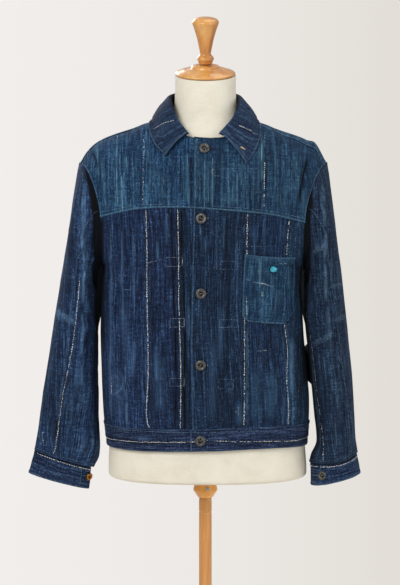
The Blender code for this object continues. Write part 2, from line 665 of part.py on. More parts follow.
def sleeve_point(side, t, degrees):
    table = SLEEVE_LEFT if side > 0 else SLEEVE_RIGHT
    relief = 0.0
    if 0.15 < t < 0.985:
        for ft, fa, along, around, depth in SLEEVE_FOLDS:
            away = (degrees - fa + 180) % 360 - 180
            relief += depth * math.exp(-((t - ft) / along) ** 2 - (away / around) ** 2)
    ring = ring_point(read(table, t), degrees, relief)
    # the fulness behind the arm leans against the body's side
    away = (degrees - 222.0 + 180) % 360 - 180
    lean = (0.0140 if side < 0 else 0.0110) * math.exp(-(away / 20.0) ** 2)
    ring.x -= side * lean * smooth((t - 0.05) / 0.10) * smooth((0.54 - t) / 0.14)
    if side > 0:
        # and again lower down, at the hip
        lean = 0.0165 * math.exp(-(away / 20.0) ** 2)
        ring.x -= lean * smooth((t - 0.540) / 0.035) * smooth((0.705 - t) / 0.040)
    blend = 1.0 - smooth(t / 0.15)
    if blend > 0:
        ring = ring.lerp(armhole_ring_point(side, degrees), blend)
    return ring


SLEEVE_ROWS = [0.0, 0.035, 0.08, 0.135, 0.21, 0.29, 0.38, 0.46, 0.54, 0.575, 0.62, 0.665, 0.705, 0.78, 0.86, 0.93, 0.97, 1.0]


def sleeve_piece(side, start, end, steps):
    """Part of the tube between two seams, whose angles are given at the top and the cuff."""
    grid = []
    for t in SLEEVE_ROWS:
        row = []
        a0 = start[0] + (start[1] - start[0]) * t
        a1 = end[0] + (end[1] - end[0]) * t
        angles = [a0, a0 + 3.0] + [a0 + (a1 - a0) * k / steps for k in range(1, steps)] + [a1 - 3.0, a1]
        for k, a in enumerate(angles):
            if k in (0, len(angles) - 1):
                trim = 0.4 if k == 0 else -0.4
                for _ in range(5):
                    moved = (sleeve_point(side, t, a + trim) - sleeve_point(side, t, a)).length
                    trim = math.copysign(min(abs(trim) * 0.00045 / max(moved, 1e-6), 7.0), trim)
                a += trim
            row.append(sleeve_point(side, t, a))
        grid.append(row)
    return grid


cloth("sleeve_right_front", sleeve_piece(-1, (88, 68), (180, 180), 6), "indigo")
cloth("sleeve_right_back", sleeve_piece(-1, (180, 180), (448, 428), 12), "indigo")
cloth("sleeve_left_front", sleeve_piece(1, (84, 52), (180, 140), 6), "indigo")
cloth("sleeve_left_back", sleeve_piece(1, (180, 140), (444, 412), 12), "indigo")


def cuff(side):
    """Band round the wrist: the under end starts first, the upper end closes over it."""
    table = CUFF_LEFT if side > 0 else CUFF_RIGHT
    upper_end, under_end, _ = CUFF_LAPS["left" if side > 0 else "right"]
    # going round from the upper end, away over the outer line and the back, to the under end
    steps, grid = 22, []
    first, last = upper_end + 14.0, under_end - 360.0 - 34.0
    for j, ring in enumerate(table):
        row = []
        for k in range(steps + 1):
            q = k / steps
            a = first + (last - first) * q
            lift = 0.0014 - 0.0028 * q
            row.append(ring_point((0.0, *ring, 2.2), a, lift))
        if j == len(table) - 1:
            up = row[0] - grid[-1][0]
            row[0] = row[0] - up * 0.28
        grid.append(row)
    return grid


cloth("cuff_right", cuff(-1), "indigo")
cloth("cuff_left", cuff(1), "indigo")

# ------------------------------------------------------------------ collar
bed_names = ("front_yoke_right", "front_yoke_left", "back_yoke")
bed_verts, bed_faces = [], []
for bed in bed_names:
    mesh = PARTS.objects[bed].data
    start = len(bed_verts)
    bed_verts += [v.co.copy() for v in mesh.vertices]
    bed_faces += [[start + i for i in poly.vertices] for poly in mesh.polygons]
BED = BVHTree.FromPolygons(bed_verts, bed_faces)
TRUNK = Vector((0.0, 0.0, 1.36))


def clear_of_bed(point, distance):
    """Moves a point out until it lies at least distance off the yokes."""
    for _ in range(4):
        near, normal, _, _ = BED.find_nearest(point)
        if near is None:
            return point
        if normal.dot(near - TRUNK) < 0:
            normal = -normal
        off = (point - near).dot(normal)
        if off >= distance or (point - near).length > 0.03:
            return point
        point = point + normal * (distance - off + 0.00002)
    return point


def collar_station(side, q):
    """Row of the collar table at q = 0 (back) .. 1 (front end)."""
    keyed = [(k / (len(COLLAR) - 1), *row) for k, row in enumerate(COLLAR)]
    values = read(keyed, q)[1:]
    sewn, fold, edge = Vector(values[0:3]), Vector(values[3:6]), Vector(values[6:9])
    if side > 0:
        edge.z -= LEFT_TIP_DROP * smooth((q - 0.6) / 0.4)
        fold.x -= 0.006 * smooth((q - 0.7) / 0.3) + 0.0030 * smooth(q / 0.25) * smooth((0.85 - q) / 0.3)
        edge.x -= 0.0035 * smooth(q / 0.25) * smooth((0.85 - q) / 0.3)
        sewn.x -= 0.006 * smooth((q - 0.7) / 0.3)
    else:
        edge.z += 0.0040 * smooth((q - 0.8) / 0.2)
    for p in (sewn, fold, edge):
        p.x *= side
    return sewn, fold, edge


COLLAR_Q = [0.0, 0.10, 0.20, 0.30, 0.40, 0.48, 0.56, 0.64, 0.72, 0.80, 0.88, 0.95, 1.0]
stations = [(-1, q) for q in reversed(COLLAR_Q)] + [(1, q) for q in COLLAR_Q[1:]]
stand_rows = [[], [], []]
for side, q in stations:
    sewn, fold, edge = collar_station(side, q)
    base = clear_of_bed(sewn + (fold - sewn).normalized() * 0.0016, 0.0022)
    late = smooth((q - 0.45) / 0.3)
    inward = Vector((edge.x - fold.x, edge.y - fold.y, 0)).normalized() * -0.0012 * late
    top = fold - Vector((0, 0, 0.0010 + 0.0016 * late)) + inward
    if (top - base).length < 0.004 or top.z < base.z + 0.003:
        top = base + Vector((0, 0, 0.0035))
    for k in range(3):
        stand_rows[k].append(base.lerp(top, k / 2))
cloth("collar_stand", stand_rows, "collar")

FALL_T = (0.0, 0.10, 0.34, 0.60, 0.82, 1.0)
fall_rows = [[] for _ in FALL_T]
for side, q in stations:
    sewn, fold, edge = collar_station(side, q)
    away = edge - fold
    flat = Vector((away.x, away.y, 0)).normalized()
    for k, t in enumerate(FALL_T):
        if k == 0:
            p = fold + Vector((0, 0, 0.0014)) - flat * 0.0006
        elif k == 1:
            p = fold + Vector((0, 0, 0.0006)) + flat * 0.0048
        else:
            p = (fold + flat * 0.0048).lerp(edge, (t - 0.10) / 0.90)
            p += (flat * 0.0022 + Vector((0, 0, 0.0010))) * math.sin(math.pi * (t - 0.1) / 0.9)
        fall_rows[k].append(clear_of_bed(p, 0.0034 if k > 1 else 0.0040))
cloth("collar_fall", fall_rows, "collar")


# ------------------------------------------------------------------ pocket and trim
def front_surface(x, z, over=True):
    c, h = on_front(x, z)
    return layered(c, h, over)


def front_frame(x, z, over=True):
    """Point on the front and its outward normal."""
    p = front_surface(x, z, over)
    du = front_surface(x + 0.004, z, over) - front_surface(x - 0.004, z, over)
    dv = front_surface(x, z + 0.004, over) - front_surface(x, z - 0.004, over)
    n = du.cross(dv).normalized()
    return p, (n if n.y < 0 else -n)


def pocket_grid(columns, rows):
    grid = []
    for j in range(rows + 1):
        r = j / rows
        row = []
        for i in range(columns + 1):
            q = i / columns
            a, b = Vector(POCKET["low_in"]), Vector(POCKET["low_out"])
            c, d = Vector(POCKET["top_in"]), Vector(POCKET["top_out"])
            p = a.lerp(b, q).lerp(c.lerp(d, q), r)
            if j == 0:                       # clipped lower corners
                if i == 0:
                    p += (c - a) * 0.062 + (b - a) * 0.055
                elif i == columns:
                    p += (d - b) * 0.080 - (b - a) * 0.075
            x, z = p
            s, n = front_frame(x, z)
            belly = 0.0012 * math.sin(math.pi * q) * math.sin(math.pi * min(r, 1.0) * 0.9 + 0.2)
            stand_off = 0.0018 + 0.0021 * smooth((q - 0.6) / 0.4)
            row.append(s + n * (WALL + stand_off + max(belly, 0.0)))
        grid.append(row)
    return grid


cloth("chest_pocket", pocket_grid(8, 8), "pocket")


def facing(normal):
    """Rotation that turns +Z onto a normal, keeping the piece upright."""
    up = Vector((0, 0, 1))
    x_axis = up.cross(normal)
    if x_axis.length < 1e-6:
        x_axis = Vector((1, 0, 0))
    x_axis.normalize()
    y_axis = normal.cross(x_axis)
    return Matrix((x_axis, y_axis, normal)).transposed()


def button(name, point, normal, radius, mat):
    """Open-centred shank button: a rolled rim round a sunk middle."""
    k = radius / 0.0096
    profile = [(0.0, 0.0010), (0.0030, 0.0010), (0.0040, 0.0028), (0.0060, 0.0036), (0.0082, 0.0030),
               (0.0096, 0.0016), (0.0088, 0.0002), (0.0, 0.0)]
    return turned(name, [(r * k, z * k) for r, z in profile], mat, 14, point + normal * 0.0015,
                  facing(normal))


BUTTON_COLS = ("x", "z")
BUTTONS = [(-0.0020, 1.4510), (-0.0080, 1.3290), (-0.0085, 1.1950), (-0.0090, 1.0660), (-0.0095, 0.9290)]
for number, (bx, bz) in enumerate(BUTTONS, 1):
    p, n = front_frame(bx, bz)
    button("front_button_%d" % number, p, n, BUTTON_R, "button")

p, n = front_frame(*STONE)
bpy.ops.mesh.primitive_uv_sphere_add(segments=16, ring_count=8, radius=0.5)
stone = bpy.context.object
stone.name = stone.data.name = "pocket_stone"
for v in stone.data.vertices:
    v.co = Vector((v.co.x * STONE_SIZE[0], v.co.y * STONE_SIZE[1], v.co.z * STONE_SIZE[2]))
stone.location = p + n * (WALL + 0.0019 + 0.0012 + WALL / 2 + 0.0006 + STONE_SIZE[2] / 2)
stone.rotation_euler = facing(n).to_euler()
for c in list(stone.users_collection):
    c.objects.unlink(stone)
PARTS.objects.link(stone)
stone.data.materials.append(material("stone").copy())
stone.data.shade_smooth()

# small bar pin on the wearer's left collar point
fall_bvh = BVHTree.FromPolygons([p for row in fall_rows for p in row],
                                [[j * len(stations) + i, j * len(stations) + i + 1,
                                  (j + 1) * len(stations) + i + 1, (j + 1) * len(stations) + i]
                                 for j in range(len(FALL_T) - 1) for i in range(len(stations) - 1)])
hit, normal, _, _ = fall_bvh.ray_cast(Vector((PIN[0], -0.4, PIN[1])), Vector((0, 1, 0)))
if normal.y > 0:
    normal = -normal
bpy.ops.mesh.primitive_cube_add(size=1.0)
pin = bpy.context.object
pin.name = pin.data.name = "collar_pin"
turn = facing(normal) @ Matrix.Rotation(math.radians(-38), 3, "Z")
for v in pin.data.vertices:
    v.co = Vector((v.co.x * 0.0100, v.co.y * 0.0034, v.co.z * 0.0014))
pin.location = hit + normal * 0.0024
pin.rotation_euler = turn.to_euler()
for c in list(pin.users_collection):
    c.objects.unlink(pin)
PARTS.objects.link(pin)
pin.data.materials.append(material("brass").copy())


def cuff_button(name, side, degrees, share, mat, lift):
    table = CUFF_LEFT if side > 0 else CUFF_RIGHT
    ring = tuple(a + (b - a) * share for a, b in zip(table[0], table[2]))
    step = 4.0
    p = ring_point((0.0, *ring, 2.2), degrees, lift)
    tangent = ring_point((0.0, *ring, 2.2), degrees + step, lift) - ring_point((0.0, *ring, 2.2), degrees - step, lift)
    down = (ring_point((0.0, *table[2], 2.2), degrees, lift) - ring_point((0.0, *table[0], 2.2), degrees, lift))
    n = tangent.cross(down).normalized()
    middle = Vector(((ring[0] + ring[2]) / 2, (ring[5] - ring[4]) / 2, (ring[1] + ring[3]) / 2))
    if n.dot(p - middle) < 0:
        n = -n
    return button(name, p, n, CUFF_BUTTON_R, mat)


cuff_button("cuff_button_left", 1, 118.0, 0.50, "button", 0.0026)
cuff_button("cuff_button_right", -1, 157.0, 0.42, "brass", 0.0022)

# ------------------------------------------------------------------ dress form and stand
def form_loft(name, columns):
    bm = bmesh.new()
    rings = []
    for z, right, left, front, rear, expo in FORM:
        ring = []
        for k in range(columns):
            a = 2 * math.pi * k / columns
            cx, sx = power(math.cos(a), 2 / expo), power(math.sin(a), 2 / expo)
            middle, half = (left - right) / 2, (left + right) / 2
            y = sx * (rear if sx > 0 else front)
            lean = max(0.0, (z - FORM_SLANT_FROM) / (FORM[-1][0] - FORM_SLANT_FROM))
            ring.append(bm.verts.new((middle + half * cx, y, z + y * math.tan(CAP_TILT) * lean)))
        rings.append(ring)
    for a, b in zip(rings, rings[1:]):
        for k in range(columns):
            m = (k + 1) % columns
            bm.faces.new((a[k], a[m], b[m], b[k]))
    bm.faces.new(list(reversed(rings[0])))
    bm.faces.new(rings[-1])
    bmesh.ops.recalc_face_normals(bm, faces=bm.faces)
    mesh = bpy.data.meshes.new(name)
    bm.to_mesh(mesh)
    bm.free()
    return add_object(name, mesh, "linen")


form_loft("dress_form", 36)

tilt = Matrix.Rotation(CAP_TILT, 3, "X")
cap_at = Vector((0.0, 0.0, FORM[-1][0] + 0.0045))
turned("neck_cap", [(0.0, 0.0165), (0.0170, 0.0150), (0.0250, 0.0130), (0.0262, 0.0090), (0.0400, 0.0062), (0.0520, 0.0020),
                    (0.0552, -0.0005), (0.0545, -0.0030), (0.0500, -0.0040), (0.0, -0.0040)],
       "wood", 28, cap_at, tilt)
turned("neck_cap_knob", [(0.0, 0.1030), (0.0120, 0.1022), (0.0205, 0.0995), (0.0244, 0.0955), (0.0246, 0.0920), (0.0205, 0.0810),
                         (0.0150, 0.0620), (0.0110, 0.0420), (0.0098, 0.0360), (0.0112, 0.0330), (0.0152, 0.0290),
                         (0.0156, 0.0250), (0.0130, 0.0205), (0.0125, 0.0172), (0.0, 0.0172)],
       "wood", 24, cap_at, tilt)

FORM_LOW = FORM[0][0]
turned("pole_bulb", [(0.0, FORM_LOW - 0.0004), (0.0170, FORM_LOW - 0.0004), (0.0195, 0.8300), (0.0226, 0.8175), (0.0222, 0.8150),
                     (0.0160, 0.8060), (0.0128, 0.8010), (0.0, 0.8010)], "wood", 32)
turned("stand_pole", [(0.0, 0.8006), (0.0113, 0.8006), (0.0118, 0.7960), (0.0118, 0.7760), (0.0112, 0.7740), (0.0118, 0.7720),
                      (0.0118, 0.0450), (0.0112, 0.0404), (0.0, 0.0404)], "pole", 24)
turned("stand_base", [(0.0, 0.0400), (0.0240, 0.0400), (0.0280, 0.0350), (0.0320, 0.0280), (0.0700, 0.0255), (0.1600, 0.0240),
                      (0.1840, 0.0215), (BASE_R, 0.0160), (BASE_R, 0.0050), (0.1860, 0.0), (0.0, 0.0)], "pole", 40)
screw_normal = Vector((0.18, -1.0, 0.25)).normalized()
turned("bulb_screw", [(0.0, 0.0022), (0.0022, 0.0018), (0.0034, 0.0006), (0.0036, 0.0), (0.0, 0.0)], "steel", 16,
       Vector((0.0040, -0.0213, 0.8215)) + screw_normal * 0.0005, facing(screw_normal))
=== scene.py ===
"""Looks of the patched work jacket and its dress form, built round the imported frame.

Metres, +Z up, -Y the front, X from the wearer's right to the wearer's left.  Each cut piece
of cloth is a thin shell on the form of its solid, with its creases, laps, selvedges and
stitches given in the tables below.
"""
import json
import math

import bpy
import numpy as np
from mathutils import Matrix, Vector
from mathutils.bvhtree import BVHTree

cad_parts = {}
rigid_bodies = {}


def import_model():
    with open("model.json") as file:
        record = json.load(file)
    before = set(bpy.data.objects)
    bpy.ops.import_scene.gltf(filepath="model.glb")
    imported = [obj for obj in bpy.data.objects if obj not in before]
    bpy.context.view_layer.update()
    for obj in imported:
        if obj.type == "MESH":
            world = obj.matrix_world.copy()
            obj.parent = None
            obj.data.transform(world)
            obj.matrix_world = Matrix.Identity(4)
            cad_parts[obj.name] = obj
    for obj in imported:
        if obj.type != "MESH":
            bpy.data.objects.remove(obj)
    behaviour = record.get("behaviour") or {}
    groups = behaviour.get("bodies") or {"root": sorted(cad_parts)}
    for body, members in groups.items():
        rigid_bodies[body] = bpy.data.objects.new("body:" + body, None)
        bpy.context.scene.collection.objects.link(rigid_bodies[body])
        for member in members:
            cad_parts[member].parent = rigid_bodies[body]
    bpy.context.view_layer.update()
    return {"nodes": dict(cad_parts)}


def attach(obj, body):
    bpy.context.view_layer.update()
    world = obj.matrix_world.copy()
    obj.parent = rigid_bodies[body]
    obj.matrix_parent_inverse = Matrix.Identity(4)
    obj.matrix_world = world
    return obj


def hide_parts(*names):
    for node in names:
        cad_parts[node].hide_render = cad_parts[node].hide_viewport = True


for thing in list(bpy.data.objects):
    bpy.data.objects.remove(thing, do_unlink=True)
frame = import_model()
NODES = frame["nodes"]

# ------------------------------------------------------------------ the construction's sizes (m)
WALL = 0.0020            # cloth and its felled seams
SEAM = 0.00030           # half of the gap left between two sewn pieces
BAND_HEIGHT = 0.040      # waistband
HEM_Z = 0.9060           # lower edge of the waistband at the sides
ARMPIT_Z = 1.2380
RIDGE_Z = 1.5120         # shoulder line carried to the middle of the neck
NECK_HALF = 0.078        # half width of the neckline at the shoulder
OVERLAP_EDGE = -0.0210   # free edge of the wearer's left front, on top
UNDERLAP_EDGE = 0.0120   # free edge of the wearer's right front, underneath
OVERLAP_LIFT = 0.0027    # how far the top layer stands off the lower one
PLEAT_R = -0.0410        # folded edge of the pleat, wearer's right
PLEAT_L = 0.0470         # folded edge of the pleat, wearer's left
PLEAT_STEP = 0.0019
BUTTON_R = 0.0096
CUFF_BUTTON_R = 0.0082
NECK_R = 0.0560          # dress form's neck
POLE_R = 0.0118
BASE_R = 0.190
CAP_TILT = math.radians(12.0)

# Lower body: one row for each level from hem to armpit.
BODY_COLS = ("z", "right", "left", "front", "back", "expo")
BODY = [
    (0.9060, 0.1825, 0.1890, 0.1300, 0.1230, 2.5),
    (0.9460, 0.1865, 0.1915, 0.1320, 0.1260, 2.5),
    (0.9950, 0.1895, 0.1915, 0.1345, 0.1290, 2.5),
    (1.0500, 0.1915, 0.1860, 0.1360, 0.1310, 2.5),
    (1.1200, 0.1930, 0.1800, 0.1370, 0.1330, 2.5),
    (1.1900, 0.1905, 0.1765, 0.1370, 0.1340, 2.5),
    (1.2380, 0.1870, 0.1775, 0.1370, 0.1340, 2.5),
]
# Armholes: one row for each point from armpit (0) to shoulder tip (1), front and back depth.
ARM_COLS = ("v", "x", "z", "front", "back")
ARM_RIGHT = [
    (0.00, -0.1870, 1.2380, 0.000, 0.000),
    (0.10, -0.1870, 1.2450, 0.044, 0.042),
    (0.20, -0.1870, 1.2730, 0.077, 0.072),
    (0.30, -0.1880, 1.3170, 0.093, 0.088),
    (0.40, -0.1915, 1.3500, 0.093, 0.089),
    (0.55, -0.2005, 1.3830, 0.079, 0.077),
    (0.70, -0.2120, 1.4085, 0.055, 0.054),
    (0.85, -0.2220, 1.4205, 0.028, 0.028),
    (1.00, -0.2290, 1.4245, 0.000, 0.000),
]
ARM_LEFT = [
    (0.00, 0.1775, 1.2380, 0.000, 0.000),
    (0.10, 0.1772, 1.2440, 0.044, 0.042),
    (0.20, 0.1770, 1.2700, 0.078, 0.073),
    (0.30, 0.1780, 1.3130, 0.094, 0.089),
    (0.40, 0.1815, 1.3460, 0.094, 0.090),
    (0.55, 0.1905, 1.3790, 0.079, 0.078),
    (0.70, 0.2025, 1.4040, 0.055, 0.055),
    (0.85, 0.2135, 1.4190, 0.028, 0.028),
    (1.00, 0.2215, 1.4250, 0.000, 0.000),
]
# Yoke seam across the front: height at each distance from the middle.
YOKE_COLS = ("x", "z")
YOKE = [(-0.200, 1.327), (-0.154, 1.339), (-0.115, 1.346), (-0.046, 1.3485), (0.000, 1.346),
        (0.074, 1.340), (0.126, 1.333), (0.182, 1.319), (0.200, 1.314)]
# Lapped selvedges that part the front into strips: place at the hem and at the yoke.
STRIP_COLS = ("x_hem", "x_mid", "x_yoke")
STRIPS = {"right_side": (-0.1065, -0.1040, -0.1075), "right_placket": (-0.0455, -0.0465, -0.0510),
          "left_placket": (0.0680, 0.0705, 0.0745), "left_side": (0.1510, 0.1490, 0.1500)}
# Soft folds of the body: middle, ends, width, depth (+ out) and lean of each.
FOLD_COLS = ("x", "z_low", "z_high", "width", "depth", "lean")
FOLDS = [
    (-0.148, 0.960, 1.300, 0.016, 0.0030, 0.02),
    (-0.128, 0.950, 1.180, 0.014, -0.0026, -0.03),
    (-0.083, 0.985, 1.310, 0.013, -0.0022, 0.02),
    (0.098, 0.955, 1.130, 0.015, 0.0024, 0.03),
    (0.124, 0.960, 1.110, 0.014, -0.0024, -0.03),
    (0.165, 1.000, 1.300, 0.014, 0.0026, -0.02),
    (-0.150, 1.250, 1.400, 0.020, 0.0028, 0.30),
    (0.140, 1.250, 1.400, 0.020, 0.0026, -0.30),
]
BACK_FOLDS = [
    (-0.120, 0.960, 1.260, 0.024, 0.0032, 0.05),
    (-0.060, 0.955, 1.200, 0.022, -0.0028, 0.02),
    (0.015, 0.960, 1.240, 0.024, 0.0030, 0.00),
    (0.080, 0.955, 1.210, 0.022, -0.0028, -0.03),
    (0.135, 0.980, 1.280, 0.022, 0.0032, -0.05),
]
# Sleeves: one row for each section, outer line, inner line, front and back depth, roundness.
SLEEVE_COLS = ("t", "out_x", "out_z", "in_x", "in_z", "front", "back", "expo")
SLEEVE_RIGHT = [
    (0.00, -0.2290, 1.4245, -0.1880, 1.2380, 0.093, 0.088, 2.0),
    (0.06, -0.2365, 1.4020, -0.1935, 1.2325, 0.096, 0.090, 2.1),
    (0.13, -0.2430, 1.3600, -0.1965, 1.2250, 0.097, 0.091, 2.2),
    (0.21, -0.2490, 1.3180, -0.1985, 1.2100, 0.096, 0.090, 2.2),
    (0.30, -0.2560, 1.2700, -0.2000, 1.1850, 0.092, 0.086, 2.2),
    (0.40, -0.2650, 1.2160, -0.2000, 1.1500, 0.086, 0.078, 2.2),
    (0.50, -0.2750, 1.1560, -0.1995, 1.1050, 0.080, 0.066, 2.2),
    (0.60, -0.2845, 1.0960, -0.1990, 1.0550, 0.072, 0.052, 2.2),
    (0.70, -0.2935, 1.0360, -0.1990, 1.0050, 0.063, 0.040, 2.2),
    (0.80, -0.3020, 0.9800, -0.1985, 0.9560, 0.056, 0.031, 2.2),
    (0.90, -0.3095, 0.9290, -0.1965, 0.9080, 0.050, 0.024, 2.2),
    (0.96, -0.3140, 0.9060, -0.1985, 0.8830, 0.045, 0.020, 2.2),
    (1.00, -0.3160, 0.8960, -0.2080, 0.8640, 0.038, 0.014, 2.3),
]
SLEEVE_LEFT = [
    (0.00, 0.2215, 1.4250, 0.1790, 1.2380, 0.094, 0.089, 2.0),
    (0.06, 0.2265, 1.3960, 0.1830, 1.2325, 0.097, 0.091, 2.1),
    (0.13, 0.2320, 1.3560, 0.1845, 1.2250, 0.098, 0.092, 2.2),
    (0.21, 0.2375, 1.3140, 0.1845, 1.2100, 0.098, 0.091, 2.2),
    (0.30, 0.2435, 1.2660, 0.1840, 1.1850, 0.095, 0.088, 2.2),
    (0.40, 0.2505, 1.2120, 0.1840, 1.1500, 0.091, 0.080, 2.2),
    (0.50, 0.2575, 1.1520, 0.1875, 1.1050, 0.086, 0.070, 2.2),
    (0.60, 0.2640, 1.0920, 0.1930, 1.0550, 0.080, 0.060, 2.2),
    (0.70, 0.2705, 1.0320, 0.1985, 1.0050, 0.074, 0.052, 2.2),
    (0.80, 0.2745, 0.9760, 0.2030, 0.9560, 0.070, 0.044, 2.2),
    (0.90, 0.2775, 0.9250, 0.2065, 0.9080, 0.068, 0.036, 2.2),
    (0.96, 0.2790, 0.9020, 0.1970, 0.8850, 0.067, 0.033, 2.2),
    (1.00, 0.2800, 0.8920, 0.1945, 0.8740, 0.063, 0.029, 2.3),
]
# Folds pressed into the sleeves: station, angle round from the outer line, reach along and
# round, depth (+ out).
SLEEVE_FOLD_COLS = ("t", "angle", "along", "round", "depth")
SLEEVE_FOLDS = [
    (0.30, 60.0, 0.07, 30.0, 0.0030),
    (0.38, 100.0, 0.05, 34.0, -0.0032),
    (0.47, 75.0, 0.05, 34.0, 0.0030),
    (0.55, 118.0, 0.045, 30.0, -0.0030),
    (0.62, 62.0, 0.05, 30.0, -0.0030),
    (0.72, 110.0, 0.05, 34.0, 0.0034),
    (0.82, 80.0, 0.05, 30.0, -0.0026),
    (0.90, 125.0, 0.04, 32.0, 0.0030),
    (0.45, 285.0, 0.06, 34.0, -0.0034),
    (0.62, 255.0, 0.06, 34.0, 0.0032),
    (0.80, 290.0, 0.06, 34.0, -0.0028),
]
# Cuffs: top and bottom rings, and the angles where the under and upper ends stop.
CUFF_COLS = ("out_x", "out_z", "in_x", "in_z", "front", "back")
CUFF_RIGHT = [(-0.3150, 0.8935, -0.2125, 0.8595, 0.033, 0.011),
              (-0.3210, 0.8715, -0.2140, 0.8400, 0.034, 0.012),
              (-0.3275, 0.8505, -0.2165, 0.8205, 0.033, 0.012)]
CUFF_LEFT = [(0.2795, 0.8875, 0.1950, 0.8700, 0.060, 0.028),
             (0.2830, 0.8675, 0.1950, 0.8470, 0.062, 0.030),
             (0.2860, 0.8520, 0.1960, 0.8290, 0.061, 0.030)]
CUFF_LAPS = {"right": (118.0, 146.0, 1.0), "left": (112.0, 138.0, 1.0)}
# Collar: sewn edge, fold and outer edge at each station from the back neck to the front.
COLLAR_COLS = ("sewn_x", "sewn_y", "sewn_z", "fold_x", "fold_y", "fold_z", "edge_x", "edge_y", "edge_z")
COLLAR = [
    (0.000, 0.0690, 1.4985, 0.0000, 0.0680, 1.5490, 0.0000, 0.1020, 1.4820),
    (0.030, 0.0640, 1.4990, 0.0290, 0.0630, 1.5500, 0.0440, 0.0930, 1.4850),
    (0.058, 0.0450, 1.5000, 0.0530, 0.0440, 1.5500, 0.0820, 0.0620, 1.4910),
    (0.075, 0.0130, 1.5010, 0.0640, 0.0130, 1.5460, 0.0985, 0.0150, 1.4990),
    (0.076, -0.0200, 1.4990, 0.0640, -0.0180, 1.5390, 0.1010, -0.0250, 1.4960),
    (0.068, -0.0500, 1.4920, 0.0600, -0.0480, 1.5270, 0.1000, -0.0600, 1.4780),
    (0.052, -0.0740, 1.4810, 0.0505, -0.0740, 1.5030, 0.0905, -0.0900, 1.4580),
    (0.037, -0.0880, 1.4745, 0.0320, -0.0940, 1.4790, 0.0730, -0.1130, 1.4370),
]
LEFT_TIP_DROP = 0.0110   # the wearer's left point hangs lower
# Pocket: corners on the front, as place across and height.
POCKET_COLS = ("x", "z")
POCKET = {"top_in": (0.0695, 1.2655), "top_out": (0.1600, 1.2580),
          "low_in": (0.0640, 1.1450), "low_out": (0.1585, 1.1345)}
POCKET_CORNER = 0.13     # how much of the width the clipped lower corners take
STONE = (0.1205, 1.2370)
STONE_SIZE = (0.0140, 0.0112, 0.0056)
PIN = (0.0665, 1.4530)
# Dress form: one row for each level.
FORM_COLS = ("z", "right", "left", "front", "back", "expo")
FORM = [
    (0.8440, 0.1700, 0.1780, 0.1100, 0.1080, 2.4),
    (0.8470, 0.1775, 0.1855, 0.1185, 0.1160, 2.4),
    (0.8540, 0.1800, 0.1880, 0.1215, 0.1185, 2.4),
    (0.9000, 0.1785, 0.1850, 0.1230, 0.1180, 2.4),
    (0.9500, 0.1740, 0.1800, 0.1230, 0.1170, 2.3),
    (1.0500, 0.1620, 0.1650, 0.1170, 0.1100, 2.2),
    (1.1200, 0.1600, 0.1600, 0.1180, 0.1120, 2.2),
    (1.2300, 0.1680, 0.1620, 0.1260, 0.1220, 2.2),
    (1.3200, 0.1700, 0.1640, 0.1240, 0.1220, 2.2),
    (1.3800, 0.1640, 0.1600, 0.1120, 0.1120, 2.1),
    (1.4250, 0.1450, 0.1430, 0.0980, 0.0960, 2.0),
    (1.4550, 0.1150, 0.1140, 0.0860, 0.0800, 2.0),
    (1.4800, 0.0860, 0.0860, 0.0760, 0.0680, 2.0),
    (1.5000, 0.0690, 0.0690, 0.0660, 0.0610, 2.0),
    (1.5230, 0.0590, 0.0590, 0.0590, 0.0575, 2.0),
    (1.5500, 0.0560, 0.0560, 0.0560, 0.0560, 2.0),
    (1.5850, 0.0560, 0.0560, 0.0560, 0.0560, 2.0),
]
FORM_SLANT_FROM = 1.5300   # above this the neck's rings lean, so its top lies under the tilted cap

BAND_TOP_H = BAND_HEIGHT / (ARMPIT_Z - HEM_Z)
BACK_YOKE_Z = 1.3600
SHOULDER_SEAM = {"right": 1.955, "left": 1.870}
BUTTONS = [(-0.0024, 1.4524), (-0.0080, 1.3290), (-0.0085, 1.1950), (-0.0090, 1.0660), (-0.0095, 0.9290)]

# ------------------------------------------------------------------ sizes of the cloth and its making
HALF = 0.00080           # half of one thickness of the cloth
LAP_UP = 0.00105         # how far the upper edge of a lapped seam stands up
LAP_DOWN = -0.00070      # how far the lower edge is pressed down
STEP_X, STEP_Z = 0.0020, 0.0034          # spacing of the front's points
STEP_BACK = 0.0036
STEP_SLEEVE = 0.0034

# How far each lapped selvedge of the front wanders from its straight course.
WANDER = {
    "right_side": [(0.906, 0.0), (0.949, 0.0052), (0.956, 0.0010), (0.975, -0.0022), (1.010, -0.0010), (1.045, 0.0006),
                   (1.110, 0.0), (1.190, -0.0008), (1.260, 0.0006), (1.346, 0.0004)],
    "right_placket": [(0.906, 0.0), (0.949, -0.0004), (1.000, 0.0006), (1.060, 0.0010), (1.109, 0.0002), (1.180, -0.0008),
                      (1.250, 0.0006), (1.346, 0.0002)],
    "left_placket": [(0.906, 0.0), (0.952, 0.0002), (1.000, 0.0003), (1.080, -0.0006), (1.149, -0.0016), (1.200, -0.0006),
                     (1.269, 0.0002), (1.340, 0.0)],
    "left_side": [(0.906, 0.0), (0.949, -0.0010), (0.978, 0.0006), (1.000, -0.0006), (1.027, -0.0030), (1.055, -0.0022),
                  (1.086, -0.0008), (1.108, -0.0030), (1.130, -0.0066), (1.180, -0.0060), (1.256, -0.0045), (1.325, -0.0008)],
}
# Free edge of the top front, height by height.
CLOSING = [(0.900, -0.0278), (0.944, -0.0276), (0.9475, -0.0236), (1.000, -0.0250), (1.090, -0.0266), (1.180, -0.0252),
           (1.260, -0.0230), (1.346, -0.0212), (1.400, -0.0206), (1.480, -0.0200)]
BAND_CLOSING = -0.0278

